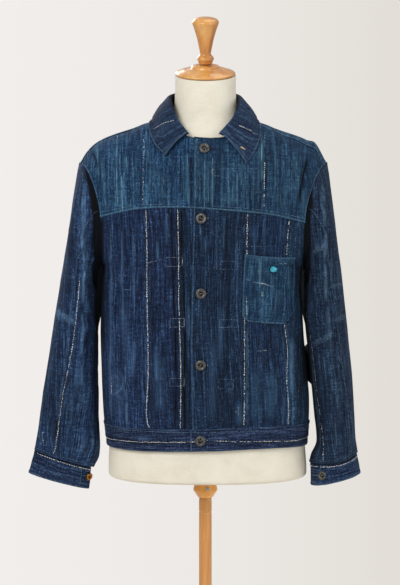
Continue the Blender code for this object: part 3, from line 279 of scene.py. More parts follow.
# Creases of the front: both ends, half width, depth (+ out) and bow of each.
CREASE_COLS = ("x0", "z0", "x1", "z1", "width", "depth", "bow")
FRONT_CREASES = [
    (-0.1725, 1.300, -0.1705, 1.010, 0.0042, 0.0013, 0.0020), (-0.1500, 1.318, -0.1480, 1.060, 0.0040, 0.0012, -0.0015),
    (-0.1305, 1.305, -0.1290, 1.120, 0.0040, 0.0010, 0.0010), (-0.1400, 1.290, -0.1385, 1.100, 0.0050, -0.0012, 0.0020),
    (-0.1620, 1.230, -0.1605, 0.960, 0.0055, -0.0013, -0.0020), (-0.1703, 1.003, -0.1305, 1.046, 0.0042, 0.0014, 0.0030),
    (-0.1660, 0.992, -0.1250, 1.028, 0.0050, -0.0012, 0.0030), (-0.1420, 1.000, -0.1425, 0.952, 0.0040, 0.0012, 0.0),
    (-0.1250, 1.010, -0.1180, 0.950, 0.0060, -0.0012, 0.0020), (-0.1780, 1.262, -0.1440, 1.196, 0.0080, 0.0022, -0.0060),
    (-0.1800, 1.238, -0.1500, 1.160, 0.0080, -0.0018, -0.0060), (-0.1150, 1.200, -0.1160, 1.060, 0.0060, 0.0010, 0.0010),
    (-0.0930, 1.330, -0.0900, 1.180, 0.0060, 0.0012, 0.0015), (-0.0780, 1.300, -0.0800, 1.120, 0.0070, -0.0013, -0.0015),
    (-0.0860, 1.130, -0.0880, 0.960, 0.0070, 0.0012, 0.0020), (-0.0700, 1.100, -0.0670, 0.970, 0.0060, -0.0010, 0.0),
    (-0.1030, 1.2490, -0.0720, 1.2550, 0.0030, 0.0008, 0.0016), (-0.1020, 1.0300, -0.0700, 1.0345, 0.0040, 0.0007, 0.0010),
    (-0.0300, 1.320, -0.0290, 1.160, 0.0040, -0.0010, 0.0), (-0.0300, 1.120, -0.0310, 0.960, 0.0050, 0.0010, 0.0),
    (0.0010, 1.310, 0.0000, 1.230, 0.0050, 0.0011, 0.0), (0.0115, 1.335, 0.0140, 1.120, 0.0050, -0.0011, 0.0020),
    (0.0290, 1.330, 0.0270, 1.190, 0.0045, 0.0010, 0.0010), (0.0200, 1.110, 0.0175, 0.960, 0.0050, 0.0011, -0.0010),
    (-0.0010, 1.030, 0.0000, 0.955, 0.0045, 0.0010, 0.0), (0.0350, 1.060, 0.0345, 0.960, 0.0050, -0.0012, 0.0),
    (0.0450, 1.300, 0.0450, 0.955, 0.0026, -0.0017, 0.0008), (0.0580, 1.310, 0.0560, 1.150, 0.0050, 0.0009, 0.0010),
    (0.0880, 1.320, 0.0870, 1.180, 0.0060, 0.0011, 0.0), (0.1130, 1.315, 0.1120, 1.262, 0.0060, -0.0010, 0.0),
    (0.1330, 1.305, 0.1300, 1.262, 0.0050, 0.0010, 0.0), (0.0860, 1.130, 0.0850, 0.960, 0.0060, 0.0012, 0.0010),
    (0.1020, 1.120, 0.1060, 0.980, 0.0070, -0.0014, 0.0020), (0.1190, 1.128, 0.1200, 0.965, 0.0060, 0.0014, -0.0010),
    (0.1330, 1.110, 0.1310, 0.990, 0.0055, -0.0012, 0.0010), (0.0760, 1.0300, 0.1180, 1.0240, 0.0050, -0.0008, -0.0015),
    (0.0740, 1.0210, 0.1400, 1.0180, 0.0035, 0.0007, -0.0010), (0.1583, 1.112, 0.1580, 1.000, 0.0050, 0.0019, 0.0010),
    (0.1722, 1.118, 0.1720, 1.000, 0.0060, -0.0022, 0.0020), (0.1640, 1.230, 0.1600, 1.130, 0.0060, 0.0016, -0.0020),
    (0.1760, 1.250, 0.1480, 1.190, 0.0090, 0.0020, 0.0060), (0.1780, 1.210, 0.1560, 1.150, 0.0080, -0.0020, 0.0060),
    (0.1600, 0.990, 0.1820, 0.955, 0.0060, 0.0014, 0.0020), (0.1480, 0.972, 0.1720, 0.950, 0.0060, -0.0010, 0.0020),
]
YOKE_CREASES = [
    (0.1905, 1.4440, 0.1690, 1.3480, 0.0042, -0.0056, 0.0040), (0.1810, 1.4400, 0.1600, 1.3520, 0.0075, 0.0026, 0.0040),
    (0.2010, 1.4330, 0.1830, 1.3620, 0.0060, 0.0024, 0.0030), (-0.2090, 1.4480, -0.1950, 1.4100, 0.0035, -0.0034, -0.0030),
    (-0.2010, 1.4350, -0.1850, 1.3480, 0.0060, 0.0020, -0.0040), (-0.1880, 1.4260, -0.1740, 1.3520, 0.0060, -0.0016, -0.0040),
    (-0.1560, 1.4480, -0.1510, 1.3520, 0.0070, 0.0011, -0.0020), (-0.1290, 1.4560, -0.1260, 1.3560, 0.0070, -0.0011, 0.0),
    (-0.0830, 1.4360, -0.0840, 1.3560, 0.0075, 0.0012, 0.0), (-0.0600, 1.4400, -0.0560, 1.3580, 0.0060, -0.0010, 0.0),
    (-0.0360, 1.4520, -0.0310, 1.3560, 0.0050, 0.0013, -0.0010), (-0.0440, 1.4420, -0.0380, 1.3560, 0.0045, -0.0010, 0.0),
    (0.0100, 1.4520, 0.0150, 1.3560, 0.0055, 0.0010, 0.0010), (0.0330, 1.4420, 0.0300, 1.3560, 0.0055, -0.0010, 0.0),
    (0.0660, 1.4200, 0.0640, 1.3560, 0.0060, 0.0010, 0.0), (0.0890, 1.4200, 0.0900, 1.3520, 0.0070, -0.0010, 0.0),
    (0.1240, 1.4540, 0.1200, 1.3500, 0.0075, 0.0013, 0.0), (0.1450, 1.4480, 0.1390, 1.3420, 0.0070, -0.0013, 0.0020),
]
BACK_CREASES = [
    (-0.165, 1.330, -0.120, 1.240, 0.010, 0.0026, 0.006), (-0.172, 1.295, -0.128, 1.205, 0.009, -0.0024, 0.006),
    (0.158, 1.325, 0.118, 1.235, 0.010, 0.0026, -0.006), (0.165, 1.290, 0.126, 1.200, 0.009, -0.0022, -0.006),
    (-0.120, 1.150, -0.112, 0.960, 0.008, 0.0018, 0.002), (-0.092, 1.190, -0.088, 0.965, 0.009, -0.0020, 0.002),
    (-0.050, 1.140, -0.047, 0.958, 0.008, 0.0018, 0.000), (-0.020, 1.210, -0.016, 0.970, 0.009, -0.0018, 0.001),
    (0.022, 1.130, 0.020, 0.958, 0.008, 0.0018, 0.000), (0.052, 1.200, 0.050, 0.965, 0.009, -0.0020, -0.001),
    (0.088, 1.150, 0.084, 0.960, 0.008, 0.0018, -0.002), (0.118, 1.180, 0.112, 0.970, 0.009, -0.0018, -0.002),
    (-0.150, 1.090, -0.146, 0.955, 0.008, 0.0016, 0.001), (0.146, 1.080, 0.142, 0.955, 0.008, 0.0016, -0.001),
    (-0.075, 1.340, -0.065, 1.250, 0.010, 0.0014, 0.000), (0.060, 1.345, 0.054, 1.240, 0.010, 0.0014, 0.000),
    (-0.165, 1.045, -0.090, 1.025, 0.008, -0.0014, 0.004), (0.160, 1.060, 0.095, 1.035, 0.008, -0.0014, -0.004),
    (-0.188, 1.420, -0.172, 1.345, 0.008, -0.0030, 0.004), (0.180, 1.420, 0.164, 1.345, 0.008, -0.0030, -0.004),
    (-0.205, 1.430, -0.190, 1.360, 0.008, 0.0022, 0.003), (0.197, 1.430, 0.182, 1.360, 0.008, 0.0022, -0.003),
    (-0.120, 1.470, -0.105, 1.375, 0.010, 0.0014, 0.002), (0.112, 1.470, 0.100, 1.375, 0.010, 0.0014, -0.002),
    (-0.040, 1.450, -0.036, 1.380, 0.010, -0.0012, 0.000), (0.030, 1.450, 0.028, 1.380, 0.010, -0.0012, 0.000),
]
# Creases of the sleeves: angle and station of both ends, half width, depth and bow; a degree
# counts as a millimetre round the arm.
SLEEVE_CREASE_COLS = ("a0", "t0", "a1", "t1", "width", "depth", "bow")
SLEEVE_CREASES = {
    "right": [
        (47, 0.080, 86, 0.125, 0.0055, 0.0022, 0.0), (86, 0.125, 104, 0.230, 0.0055, 0.0030, 0.004),
        (104, 0.230, 108, 0.420, 0.0055, 0.0030, 0.000), (108, 0.420, 110, 0.560, 0.0060, 0.0020, 0.000),
        (120, 0.130, 138, 0.400, 0.0100, -0.0030, 0.004), (60, 0.200, 62, 0.330, 0.0090, -0.0018, 0.000),
        (40, 0.130, 30, 0.300, 0.0100, 0.0016, 0.000), (150, 0.420, 96, 0.475, 0.0085, -0.0030, 0.006),
        (158, 0.455, 100, 0.520, 0.0080, 0.0032, 0.006), (160, 0.500, 112, 0.560, 0.0080, -0.0026, 0.006),
        (30, 0.470, 84, 0.505, 0.0080, -0.0014, -0.004), (22, 0.520, 70, 0.560, 0.0080, 0.0016, -0.004),
        (70, 0.580, 40, 0.680, 0.0090, 0.0020, 0.004), (96, 0.600, 84, 0.720, 0.0085, -0.0022, 0.000),
        (118, 0.640, 104, 0.780, 0.0085, 0.0024, 0.004), (20, 0.620, 26, 0.760, 0.0090, -0.0018, 0.000),
        (48, 0.740, 40, 0.880, 0.0080, 0.0020, 0.000), (62, 0.820, 58, 0.960, 0.0070, -0.0018, 0.000),
        (100, 0.800, 90, 0.930, 0.0080, -0.0022, 0.003), (126, 0.830, 118, 0.950, 0.0080, 0.0024, 0.000),
        (12, 0.870, 60, 0.915, 0.0070, 0.0015, 0.004), (90, 0.935, 140, 0.955, 0.0065, -0.0018, 0.003),
        (96, 0.958, 150, 0.978, 0.0060, 0.0020, 0.003), (30, 0.940, 44, 0.985, 0.0055, 0.0015, 0.0),
        (98, 0.060, 128, 0.115, 0.0090, -0.0045, 0.0), (130, 0.115, 158, 0.280, 0.0110, -0.0045, 0.0),
        (290, 0.120, 300, 0.300, 0.0120, -0.0032, 0.0), (260, 0.200, 262, 0.420, 0.0120, 0.0030, 0.0),
        (320, 0.300, 268, 0.420, 0.0100, 0.0026, 0.008), (322, 0.380, 262, 0.480, 0.0090, -0.0030, 0.008),
        (318, 0.450, 255, 0.540, 0.0090, 0.0030, 0.008), (300, 0.560, 250, 0.620, 0.0090, -0.0026, 0.006),
        (230, 0.480, 226, 0.720, 0.0100, 0.0022, 0.0), (300, 0.680, 290, 0.860, 0.0100, 0.0022, 0.0),
        (258, 0.740, 252, 0.920, 0.0090, -0.0024, 0.0), (330, 0.850, 280, 0.910, 0.0080, 0.0018, 0.004),
        (220, 0.900, 280, 0.945, 0.0070, -0.0016, 0.003), (340, 0.930, 342, 0.990, 0.0060, 0.0014, 0.0),
    ],
    "left": [
        (112, 0.050, 138, 0.105, 0.0090, -0.0040, 0.0), (140, 0.105, 166, 0.260, 0.0100, -0.0040, 0.0),
        (42, 0.080, 78, 0.135, 0.0050, 0.0024, 0.0), (78, 0.135, 86, 0.250, 0.0050, 0.0032, 0.003),
        (86, 0.250, 88, 0.400, 0.0055, 0.0026, 0.000), (112, 0.110, 124, 0.300, 0.0100, -0.0028, 0.004),
        (58, 0.200, 56, 0.360, 0.0090, -0.0020, 0.000), (30, 0.160, 36, 0.340, 0.0100, 0.0020, 0.000),
        (140, 0.360, 84, 0.430, 0.0080, -0.0028, 0.006), (146, 0.410, 84, 0.480, 0.0080, 0.0030, 0.006),
        (140, 0.470, 96, 0.530, 0.0080, -0.0026, 0.005), (20, 0.420, 74, 0.470, 0.0080, 0.0018, -0.004),
        (24, 0.480, 68, 0.530, 0.0080, -0.0018, -0.004), (100, 0.560, 92, 0.700, 0.0085, 0.0022, 0.003),
        (118, 0.620, 112, 0.780, 0.0085, -0.0020, 0.000), (58, 0.560, 48, 0.700, 0.0085, 0.0022, 0.000),
        (36, 0.600, 24, 0.780, 0.0090, -0.0020, 0.000), (82, 0.700, 76, 0.860, 0.0085, -0.0022, 0.003),
        (100, 0.780, 96, 0.930, 0.0080, 0.0022, 0.000), (56, 0.780, 44, 0.930, 0.0080, 0.0020, 0.000),
        (124, 0.830, 112, 0.950, 0.0075, 0.0020, 0.000), (26, 0.860, 70, 0.920, 0.0070, -0.0015, 0.004),
        (60, 0.940, 120, 0.962, 0.0060, -0.0020, 0.003), (70, 0.965, 130, 0.985, 0.0055, 0.0020, 0.003),
        (14, 0.930, 20, 0.990, 0.0060, 0.0014, 0.0), (290, 0.120, 298, 0.300, 0.0120, -0.0032, 0.0),
        (258, 0.200, 262, 0.420, 0.0120, 0.0030, 0.0), (322, 0.280, 266, 0.400, 0.0100, 0.0026, 0.008),
        (320, 0.360, 262, 0.460, 0.0090, -0.0030, 0.008), (316, 0.430, 254, 0.520, 0.0090, 0.0030, 0.008),
        (298, 0.540, 248, 0.600, 0.0090, -0.0026, 0.006), (228, 0.480, 224, 0.720, 0.0100, 0.0022, 0.0),
        (304, 0.680, 292, 0.860, 0.0100, 0.0022, 0.0), (262, 0.740, 254, 0.920, 0.0090, -0.0024, 0.0),
        (330, 0.850, 284, 0.905, 0.0080, 0.0018, 0.004), (222, 0.900, 280, 0.945, 0.0070, -0.0016, 0.003),
    ],
}


# ------------------------------------------------------------------ number helpers
def read(table, key):
    """Smooth interpolation of a table's rows by its first column, for arrays of keys."""
    t_ = np.asarray(table, float)
    key = np.asarray(key, float)
    n = len(t_)
    k = np.clip(key, t_[0, 0], t_[-1, 0])
    i = np.clip(np.searchsorted(t_[:, 0], k, side="right") - 1, 0, n - 2)
    low, high = np.maximum(np.arange(n) - 1, 0), np.minimum(np.arange(n) + 1, n - 1)
    slope = (t_[high] - t_[low]) / (t_[high, 0] - t_[low, 0])[:, None]
    a, b = t_[i], t_[i + 1]
    span = (b[..., 0] - a[..., 0])[..., None]
    t = (k - a[..., 0])[..., None] / span
    return ((2 * t**3 - 3 * t**2 + 1) * a + (t**3 - 2 * t**2 + t) * slope[i] * span
            + (-2 * t**3 + 3 * t**2) * b + (t**3 - t**2) * slope[i + 1] * span)


def line(table, key, column=1):
    """Straight interpolation of one column."""
    return np.interp(key, [r[0] for r in table], [r[column] for r in table])


def smooth(t):
    t = np.clip(t, 0.0, 1.0)
    return t * t * (3.0 - 2.0 * t)


def signed_power(value, exponent):
    return np.copysign(np.abs(value) ** exponent, value)


def unit(v):
    return v / np.maximum(np.linalg.norm(v, axis=-1, keepdims=True), 1e-12)


def scatter(i, j, seed):
    """Repeatable value from -1 to 1 for each lattice point."""
    n = (i.astype(np.int64) * 374761393 + j.astype(np.int64) * 668265263 + seed * 974634777) & 0xFFFFFFFF
    n = ((n ^ (n >> 13)) * 1274126177) & 0xFFFFFFFF
    n = n ^ (n >> 16)
    return (n & 0xFFFFFF) / float(0x7FFFFF) - 1.0


def ripple(u, v, seed, octaves=1):
    """Smooth noise over a plane."""
    total, weight = 0.0, 1.0
    for o in range(octaves):
        iu, iv = np.floor(u), np.floor(v)
        fu, fv = smooth(u - iu), smooth(v - iv)
        iu, iv = iu.astype(np.int64), iv.astype(np.int64)
        s = seed + 17 * o
        total = total + weight * ((scatter(iu, iv, s) * (1 - fu) + scatter(iu + 1, iv, s) * fu) * (1 - fv)
                                  + (scatter(iu, iv + 1, s) * (1 - fu) + scatter(iu + 1, iv + 1, s) * fu) * fv)
        u, v, weight = u * 2.03 + 5.1, v * 2.03 + 3.7, weight * 0.5
    return total


def strokes(table, x, z):
    """Sum of soft troughs and ridges along bowed lines; also used for worn and dark marks."""
    total = np.zeros(np.broadcast(x, z).shape)
    for x0, z0, x1, z1, width, depth, bow in table:
        dx, dz = x1 - x0, z1 - z0
        length = math.hypot(dx, dz)
        s = ((x - x0) * dx + (z - z0) * dz) / length**2
        off = ((x - x0) * dz - (z - z0) * dx) / length - bow * 4 * s * (1 - s)
        ends = smooth(s / 0.22) * smooth((1 - s) / 0.22)
        near = (ends > 0) & (np.abs(off) < 3 * width)
        total = total + np.where(near, depth * np.exp(-(off / width) ** 2) * ends, 0.0)
    return total


# ------------------------------------------------------------------ the body surface
def fold_relief(table, x, z):
    total = np.zeros(np.broadcast(x, z).shape)
    for fx, low, high, width, depth, lean in table:
        inside = (z > low) & (z < high)
        middle = fx + lean * (z - 0.5 * (low + high))
        across = np.exp(-((x - middle) / width) ** 2)
        wave = np.sin(np.pi * np.clip((z - low) / (high - low), 0.0, 1.0)) ** 0.7
        total = total + np.where(inside, depth * across * wave, 0.0)
    return total


def body_point(c, h, back=False, relief=True):
    """c runs -1..1 from the wearer's right seam to the left one.  h runs 0..1 from hem to
    armpit, then 1..2 from chest to the shoulder ridge."""
    c, h = np.broadcast_arrays(np.asarray(c, float), np.asarray(h, float))
    sine, cosine = np.abs(np.sin(np.pi * c / 2)), np.abs(np.cos(np.pi * c / 2))
    # below the armpit
    hl = np.minimum(h, 1.0)
    zl = HEM_Z + (ARMPIT_Z - HEM_Z) * hl
    r = read(BODY, zl)
    right, left, front, rear, expo = (r[..., k] for k in range(1, 6))
    depth = rear if back else front
    xl = (left - right) / 2 + (left + right) / 2 * np.copysign(sine ** (2 / expo), c)
    yl = depth * cosine ** (2 / expo)
    if not back:
        zl = zl + (1 - hl) ** 2 * (0.0055 * np.exp(-((c - 0.32) / 0.42) ** 2))
    # above it
    v = np.clip(h - 1.0, 0.0, 1.0)
    rb = read(BODY, np.float64(ARMPIT_Z))
    expo_t, depth_t = rb[5], rb[4] if back else rb[3]
    ar, al = read(ARM_RIGHT, v), read(ARM_LEFT, v)
    xr, zr, yr = ar[..., 1], ar[..., 2], ar[..., 4] if back else ar[..., 3]
    xf, zf, yf = al[..., 1], al[..., 2], al[..., 4] if back else al[..., 3]
    n = expo_t + 0.3 * smooth(v / 0.3)
    e = expo_t + (1.05 - expo_t) * smooth(v / 0.28)
    share = np.copysign(sine ** (2 / n), c)
    xu = (xf + xr) / 2 + (xf - xr) / 2 * share
    w = 0.5 + 0.5 * np.clip(share, -1.0, 1.0)
    y_arm, z_arm = yf * w + yr * (1 - w), zf * w + zr * (1 - w)
    angle = np.pi * v / 2
    y_mid = np.where(v < 1, depth_t * np.maximum(np.cos(angle), 0.0) ** 0.77, 0.0)
    z_mid = ARMPIT_Z + (RIDGE_Z - ARMPIT_Z) * np.sin(angle) ** 0.77
    s = np.abs(share)
    fall = (1 - v) * s * s + v * (0.60 * s**1.3 + 0.40 * s**12)
    yu = y_arm + (y_mid - y_arm) * np.maximum(1 - s**n, 0.0) ** (1 / e)
    zu = z_mid - (z_mid - z_arm) * fall
    zu = zu + 0.0050 * np.exp(-((np.abs(xu) - 0.101) / 0.024) ** 2) * smooth((v - 0.55) / 0.35)
    zu = zu + 0.0070 * np.exp(-((xu - 0.2005) / 0.0095) ** 2) * smooth((v - 0.55) / 0.35) * smooth((1 - s) * 25)
    low = h <= 1.0
    x, y, z = np.where(low, xl, xu), np.where(low, yl, yu), np.where(low, zl, zu)
    if relief:
        fade = np.where(h <= 1.6, 1.0, np.maximum(0.0, (2.0 - h) / 0.4))
        y = y + fold_relief(BACK_FOLDS if back else FOLDS, x, z) * fade * smooth((1 - np.abs(c)) / 0.12)
    return np.stack((x, y if back else -y, z), -1)


def c_at(x, h, back=False):
    x, h = np.broadcast_arrays(np.asarray(x, float), np.asarray(h, float))
    lo, hi = -np.ones(x.shape), np.ones(x.shape)
    for _ in range(30):
        mid = (lo + hi) / 2
        less = body_point(mid, h, back, False)[..., 0] < x
        lo, hi = np.where(less, mid, lo), np.where(less, hi, mid)
    return (lo + hi) / 2


def h_at(c, z, back=False):
    c, z = np.broadcast_arrays(np.asarray(c, float), np.asarray(z, float))
    lo, hi = np.zeros(c.shape), np.full(c.shape, 2.0)
    for _ in range(30):
        mid = (lo + hi) / 2
        less = body_point(c, mid, back, False)[..., 2] < z
        lo, hi = np.where(less, mid, lo), np.where(less, hi, mid)
    return (lo + hi) / 2


def strip_x(name, h):
    hem, mid, yoke = STRIPS[name]
    t = h / 1.25
    return hem + (4 * mid - 3 * hem - yoke) * t + (2 * yoke + 2 * hem - 4 * mid) * t * t


def neck_h(x, back):
    """Row where the neckline crosses at a place across."""
    t = np.minimum(np.abs(x) / NECK_HALF, 1.0)
    drop = 0.262 if back else 0.405
    return 2.0 - drop * (1 - t**2.2) ** (0.55 if back else 0.62)


# One-way tables, so that the grids below are quick to fill.
H_KEYS = np.linspace(0.0, 1.5, 451)
C_KEYS = np.linspace(-1.0, 1.0, 801)
yoke_rows = np.full(C_KEYS.shape, 1.25)
for _ in range(4):
    yoke_rows = h_at(C_KEYS, read(YOKE, body_point(C_KEYS, yoke_rows, False, False)[..., 0])[..., 1])
back_yoke_rows = h_at(C_KEYS, BACK_YOKE_Z - 0.012 * np.abs(C_KEYS) ** 2, True)


def yoke_h(c):
    return np.interp(c, C_KEYS, yoke_rows)


def back_yoke_h(c):
    return np.interp(c, C_KEYS, back_yoke_rows)


def course_x(name, z_offset_table=None):
    """Place of a lapped selvedge at every row of H_KEYS, with its wander."""
    x = strip_x(name, H_KEYS)
    z = body_point(c_at(x, H_KEYS), H_KEYS, False, False)[..., 2]
    return x + line(WANDER[name], z)


COURSE = {name: course_x(name) for name in STRIPS}
closing_z = body_point(np.zeros(H_KEYS.shape), H_KEYS, False, False)[..., 2]
COURSE["closing"] = line(CLOSING, closing_z)
COURSE["under"] = np.full(H_KEYS.shape, UNDERLAP_EDGE)


def edge_rows(name, inset):
    return c_at(COURSE[name] + inset, H_KEYS)


# ------------------------------------------------------------------ shells
def lengths(p, axis):
    """Distance along rows (axis 1) or columns (axis 0) from the first one."""
    step = np.linalg.norm(np.diff(p, axis=axis), axis=-1)
    total = np.cumsum(step, axis=axis)
    pad = [(0, 0), (0, 0)]
    pad[axis] = (1, 0)
    return np.pad(total, pad)


def outward(p, hub):
    """Normals of a grid, turned away from a hub line or point."""
    n = unit(np.cross(np.gradient(p, axis=1), np.gradient(p, axis=0)))
    if np.sum(n * (p - hub)) < 0:
        n = -n
    return n


def near(distance, reach):
    return 1.0 - smooth(distance / reach)


class Edges:
    """Distances of every point of a grid to its four edges."""

    def __init__(self, p):
        across, along = lengths(p, 1), lengths(p, 0)
        self.left, self.right = across, across[:, -1:] - across
        self.low, self.top = along, along[-1:, :] - along


PIECES, SHEETS = {}, []


def mesh_from_grid(name, outer, inner, uv, marks, loop=False):
    ny, nx = outer.shape[:2]
    verts = np.concatenate((outer.reshape(-1, 3), inner.reshape(-1, 3)))
    k = np.arange(ny * nx).reshape(ny, nx)
    m = ny * nx
    quads = np.stack((k[:-1, :-1], k[:-1, 1:], k[1:, 1:], k[1:, :-1]), -1).reshape(-1, 4)
    rim = []
    for line_, flip in ((k[0, :], False), (k[-1, :], True), (k[:, 0], True), (k[:, -1], False)):
        a, b = line_[:-1], line_[1:]
        q = np.stack((a + m, b + m, b, a), -1)
        rim.append(q[:, ::-1] if flip else q)
    faces = np.concatenate((quads, quads[:, ::-1] + m, *rim))
    mesh = bpy.data.meshes.new(name)
    mesh.vertices.add(len(verts))
    mesh.vertices.foreach_set("co", verts.ravel())
    mesh.loops.add(faces.size)
    mesh.loops.foreach_set("vertex_index", faces.ravel().astype(np.int32))
    mesh.polygons.add(len(faces))
    mesh.polygons.foreach_set("loop_start", np.arange(0, faces.size, 4, dtype=np.int32))
    mesh.polygons.foreach_set("loop_total", np.full(len(faces), 4, np.int32))
    mesh.update(calc_edges=True)
    both = np.concatenate((uv.reshape(-1, 2), uv.reshape(-1, 2)))
    layer = mesh.uv_layers.new(name="cloth")
    layer.data.foreach_set("uv", both[faces.ravel()].ravel())
    colour = mesh.attributes.new("marks", "FLOAT_COLOR", "POINT")
    full = np.ones((len(verts), 4))
    full[:, :3] = np.concatenate((marks.reshape(-1, 3), marks.reshape(-1, 3)))
    colour.data.foreach_set("color", full.ravel())
    # outside faces must look out
    centre = quads[len(quads) // 2]
    n = np.cross(verts[centre[1]] - verts[centre[0]], verts[centre[3]] - verts[centre[0]])
    if np.dot(n, verts[centre[0]] - verts[centre[0] + m]) < 0:
        mesh.flip_normals()
    mesh.validate()
    mesh.shade_smooth()
    return mesh


def shell(node, base, lift, normal, mat, marks=None, half=HALF, held="draped", seed=1, warp="z",
          thick=None, uv_turn=False, uv=None):
    """One cut piece of cloth round its middle surface, which stands for its CAD node."""
    e = Edges(base)
    p = base + normal * lift[..., None]
    n = outward_like(p, normal)
    t = np.full(base.shape[:2], half) if thick is None else thick.copy()
    for sl in ((0, slice(None)), (-1, slice(None)), (slice(None), 0), (slice(None), -1)):
        t[sl] *= 0.50
    u = e.left.mean(0)[None, :] * np.ones(base.shape[:2])
    v = e.low.mean(1)[:, None] * np.ones(base.shape[:2])
    if uv is not None:
        u, v = uv
    if uv_turn:
        u, v = v, u
    rng = np.random.default_rng(seed)
    uv = np.stack((u + rng.uniform(0, 7), v + rng.uniform(0, 7)), -1)
    if marks is None:
        marks = np.zeros((*base.shape[:2], 3))
    marks = np.clip(marks, 0.0, 1.0)
    name = "cloth_" + node
    mesh = mesh_from_grid(name, p + n * t[..., None], p - n * t[..., None], uv, marks)
    obj = bpy.data.objects.new(name, mesh)
    bpy.context.scene.collection.objects.link(obj)
    mesh.materials.append(mat)
    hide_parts(node)
    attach(obj, "root")
    d1, d2 = base[1:, 1:] - base[:-1, :-1], base[1:, :-1] - base[:-1, 1:]
    area = float(np.linalg.norm(np.cross(d1, d2), axis=-1).sum() / 2)
    width, length = float(e.left[:, -1].max()), float(e.low[-1, :].max())
    SHEETS.append((obj, round(width, 3), round(length, 3), round(min(area, width * length * 0.99), 4), held))
    PIECES[node] = {"p": p, "n": n, "t": t, "obj": obj}
    return obj


def outward_like(p, reference):
    n = unit(np.cross(np.gradient(p, axis=1), np.gradient(p, axis=0)))
    flip = np.where(np.sum(n * reference, -1, keepdims=True) < 0, -1.0, 1.0)
    return n * flip


def body_normal(c, h, back):
    """Outward normal of the plain body surface."""
    dc, dh = 0.004, 0.006
    cc = np.clip(c, -0.994, 0.994)
    hh = np.clip(h, 0.008, 1.992)
    a = body_point(cc + dc, hh, back, False) - body_point(cc - dc, hh, back, False)
    b = body_point(cc, hh + dh, back, False) - body_point(cc, hh - dh, back, False)
    n = unit(np.cross(a, b))
    flip = np.where(n[..., 1:2] * (1.0 if back else -1.0) < 0, -1.0, 1.0)
    return n * flip


def spaced(start, stop, step, fine=()):
    """Places from start to stop a step apart, closer inside the fine zones."""
    at, out = start, [start]
    while at < stop - 1e-9:
        own = step
        for low, high, small in fine:
            if low - step < at < high:
                own = small
        at += own
        out.append(min(at, stop))
    if out[-1] - out[-2] < 0.35 * step and len(out) > 2:
        out.pop(-2)
    return (np.array(out) - start) / (stop - start)


# ------------------------------------------------------------------ pleats and the front's relief
TROUGH_LEFT_OF = [(0.950, -0.0562), (1.000, -0.0542), (1.130, -0.0541), (1.180, -0.0574), (1.250, -0.0600), (1.346, -0.0616)]
TROUGH_RIGHT_OF = [(0.950, -0.0374), (1.130, -0.0364), (1.180, -0.0377), (1.230, -0.0388), (1.252, -0.0424), (1.346, -0.0429)]
TROUGH_PLACKET = [(0.950, 0.0386), (1.100, 0.0384), (1.180, 0.0416), (1.260, 0.0450), (1.346, 0.0458)]
# How deep the pleats are at each height: they are caught down by the stitched boxes.
PLEAT_DEPTH = [(0.940, 0.30), (0.975, 0.75), (1.015, 1.00), (1.026, 0.55), (1.043, 0.55), (1.060, 1.10), (1.120, 1.10),
               (1.133, 0.55), (1.151, 0.55), (1.170, 0.95), (1.225, 0.80), (1.242, 0.45), (1.260, 0.45), (1.290, 0.85),
               (1.330, 0.80), (1.346, 0.55)]


def pleat(x, z, table, roll_side, depth, roll):
    """A dark trough with the cloth rolling into it from one side."""
    at, deep = line(table, z), line(PLEAT_DEPTH, z)
    d = x - at
    trough = -depth * np.exp(-(d / 0.0021) ** 2)
    rise = roll * np.exp(-((d - roll_side * 0.0052) / 0.0036) ** 2)
    return (trough + rise) * deep


def front_lift(x, z, over):
    """Everything that stands off or sinks into the front's plain surface.  Every front piece
    shares it, so that the layers of a seam keep their order."""
    out = strokes(FRONT_CREASES, x, z) + strokes(YOKE_CREASES, x, z)
    seam = read(YOKE, x)[..., 1]
    below = smooth((seam - 0.0045 - z) / 0.0120)
    out = out + below * pleat(x, z, TROUGH_LEFT_OF, -1, 0.0036, 0.0015)
    out = out + below * pleat(x, z, TROUGH_RIGHT_OF, 1, 0.0032, 0.0015)
    out = out + below * pleat(x, z, TROUGH_PLACKET, -1, 0.0020, 0.0010)
    if over:
        out = out + OVERLAP_LIFT * (1.0 - smooth((x - 0.016) / 0.018))
    out = out + 0.00055 * ripple(x / 0.034, z / 0.085, 101, 2) + 0.00022 * ripple(x / 0.008, z / 0.030, 106)
    return out + 0.00040 * near(np.abs(z - seam), 0.018) * ripple(x / 0.0098, z / 0.0110, 110)


def front_marks(x, z):
    """Worn (red) places of the front, and dark (green) ones: darker cloth, and painted shade in the pleats, along
    creases and at the sides.
    """
    light = np.clip(strokes(FRONT_LIGHT, x, z), 0, 1)
    dark = np.clip(strokes(FRONT_DARK_AND_SHADE, x, z), 0, 1)
    below = smooth((read(YOKE, x)[..., 1] - 0.0020 - z) / 0.0080)
    deep = line(PLEAT_DEPTH, z)
    # painted shade down the pleat troughs and over the cloth folded between them, with the darker unfaded dye of the
    # fold
    for table, width, amount in ((TROUGH_LEFT_OF, 0.0022, 0.95), (TROUGH_RIGHT_OF, 0.0021, 0.95),
                                 (TROUGH_PLACKET, 0.0018, 0.45)):
        dark = dark + below * amount * np.clip(deep, 0.2, 1) * np.exp(-((x - line(table, z)) / width) ** 2)
    between = (x > line(TROUGH_LEFT_OF, z)) & (x < line(TROUGH_RIGHT_OF, z))
    dark = dark + np.where(between, 0.30, 0.0) * below
    # painted shade: the sides turn away behind the sleeves
    dark = dark + 1.00 * smooth((x - 0.1755) / 0.0040) * smooth((z - 1.000) / 0.040) * below
    dark = dark + 0.90 * smooth((-0.1810 - x) / 0.0040) * smooth((z - 1.060) / 0.060) * below
    return light, np.clip(dark, 0, 1)


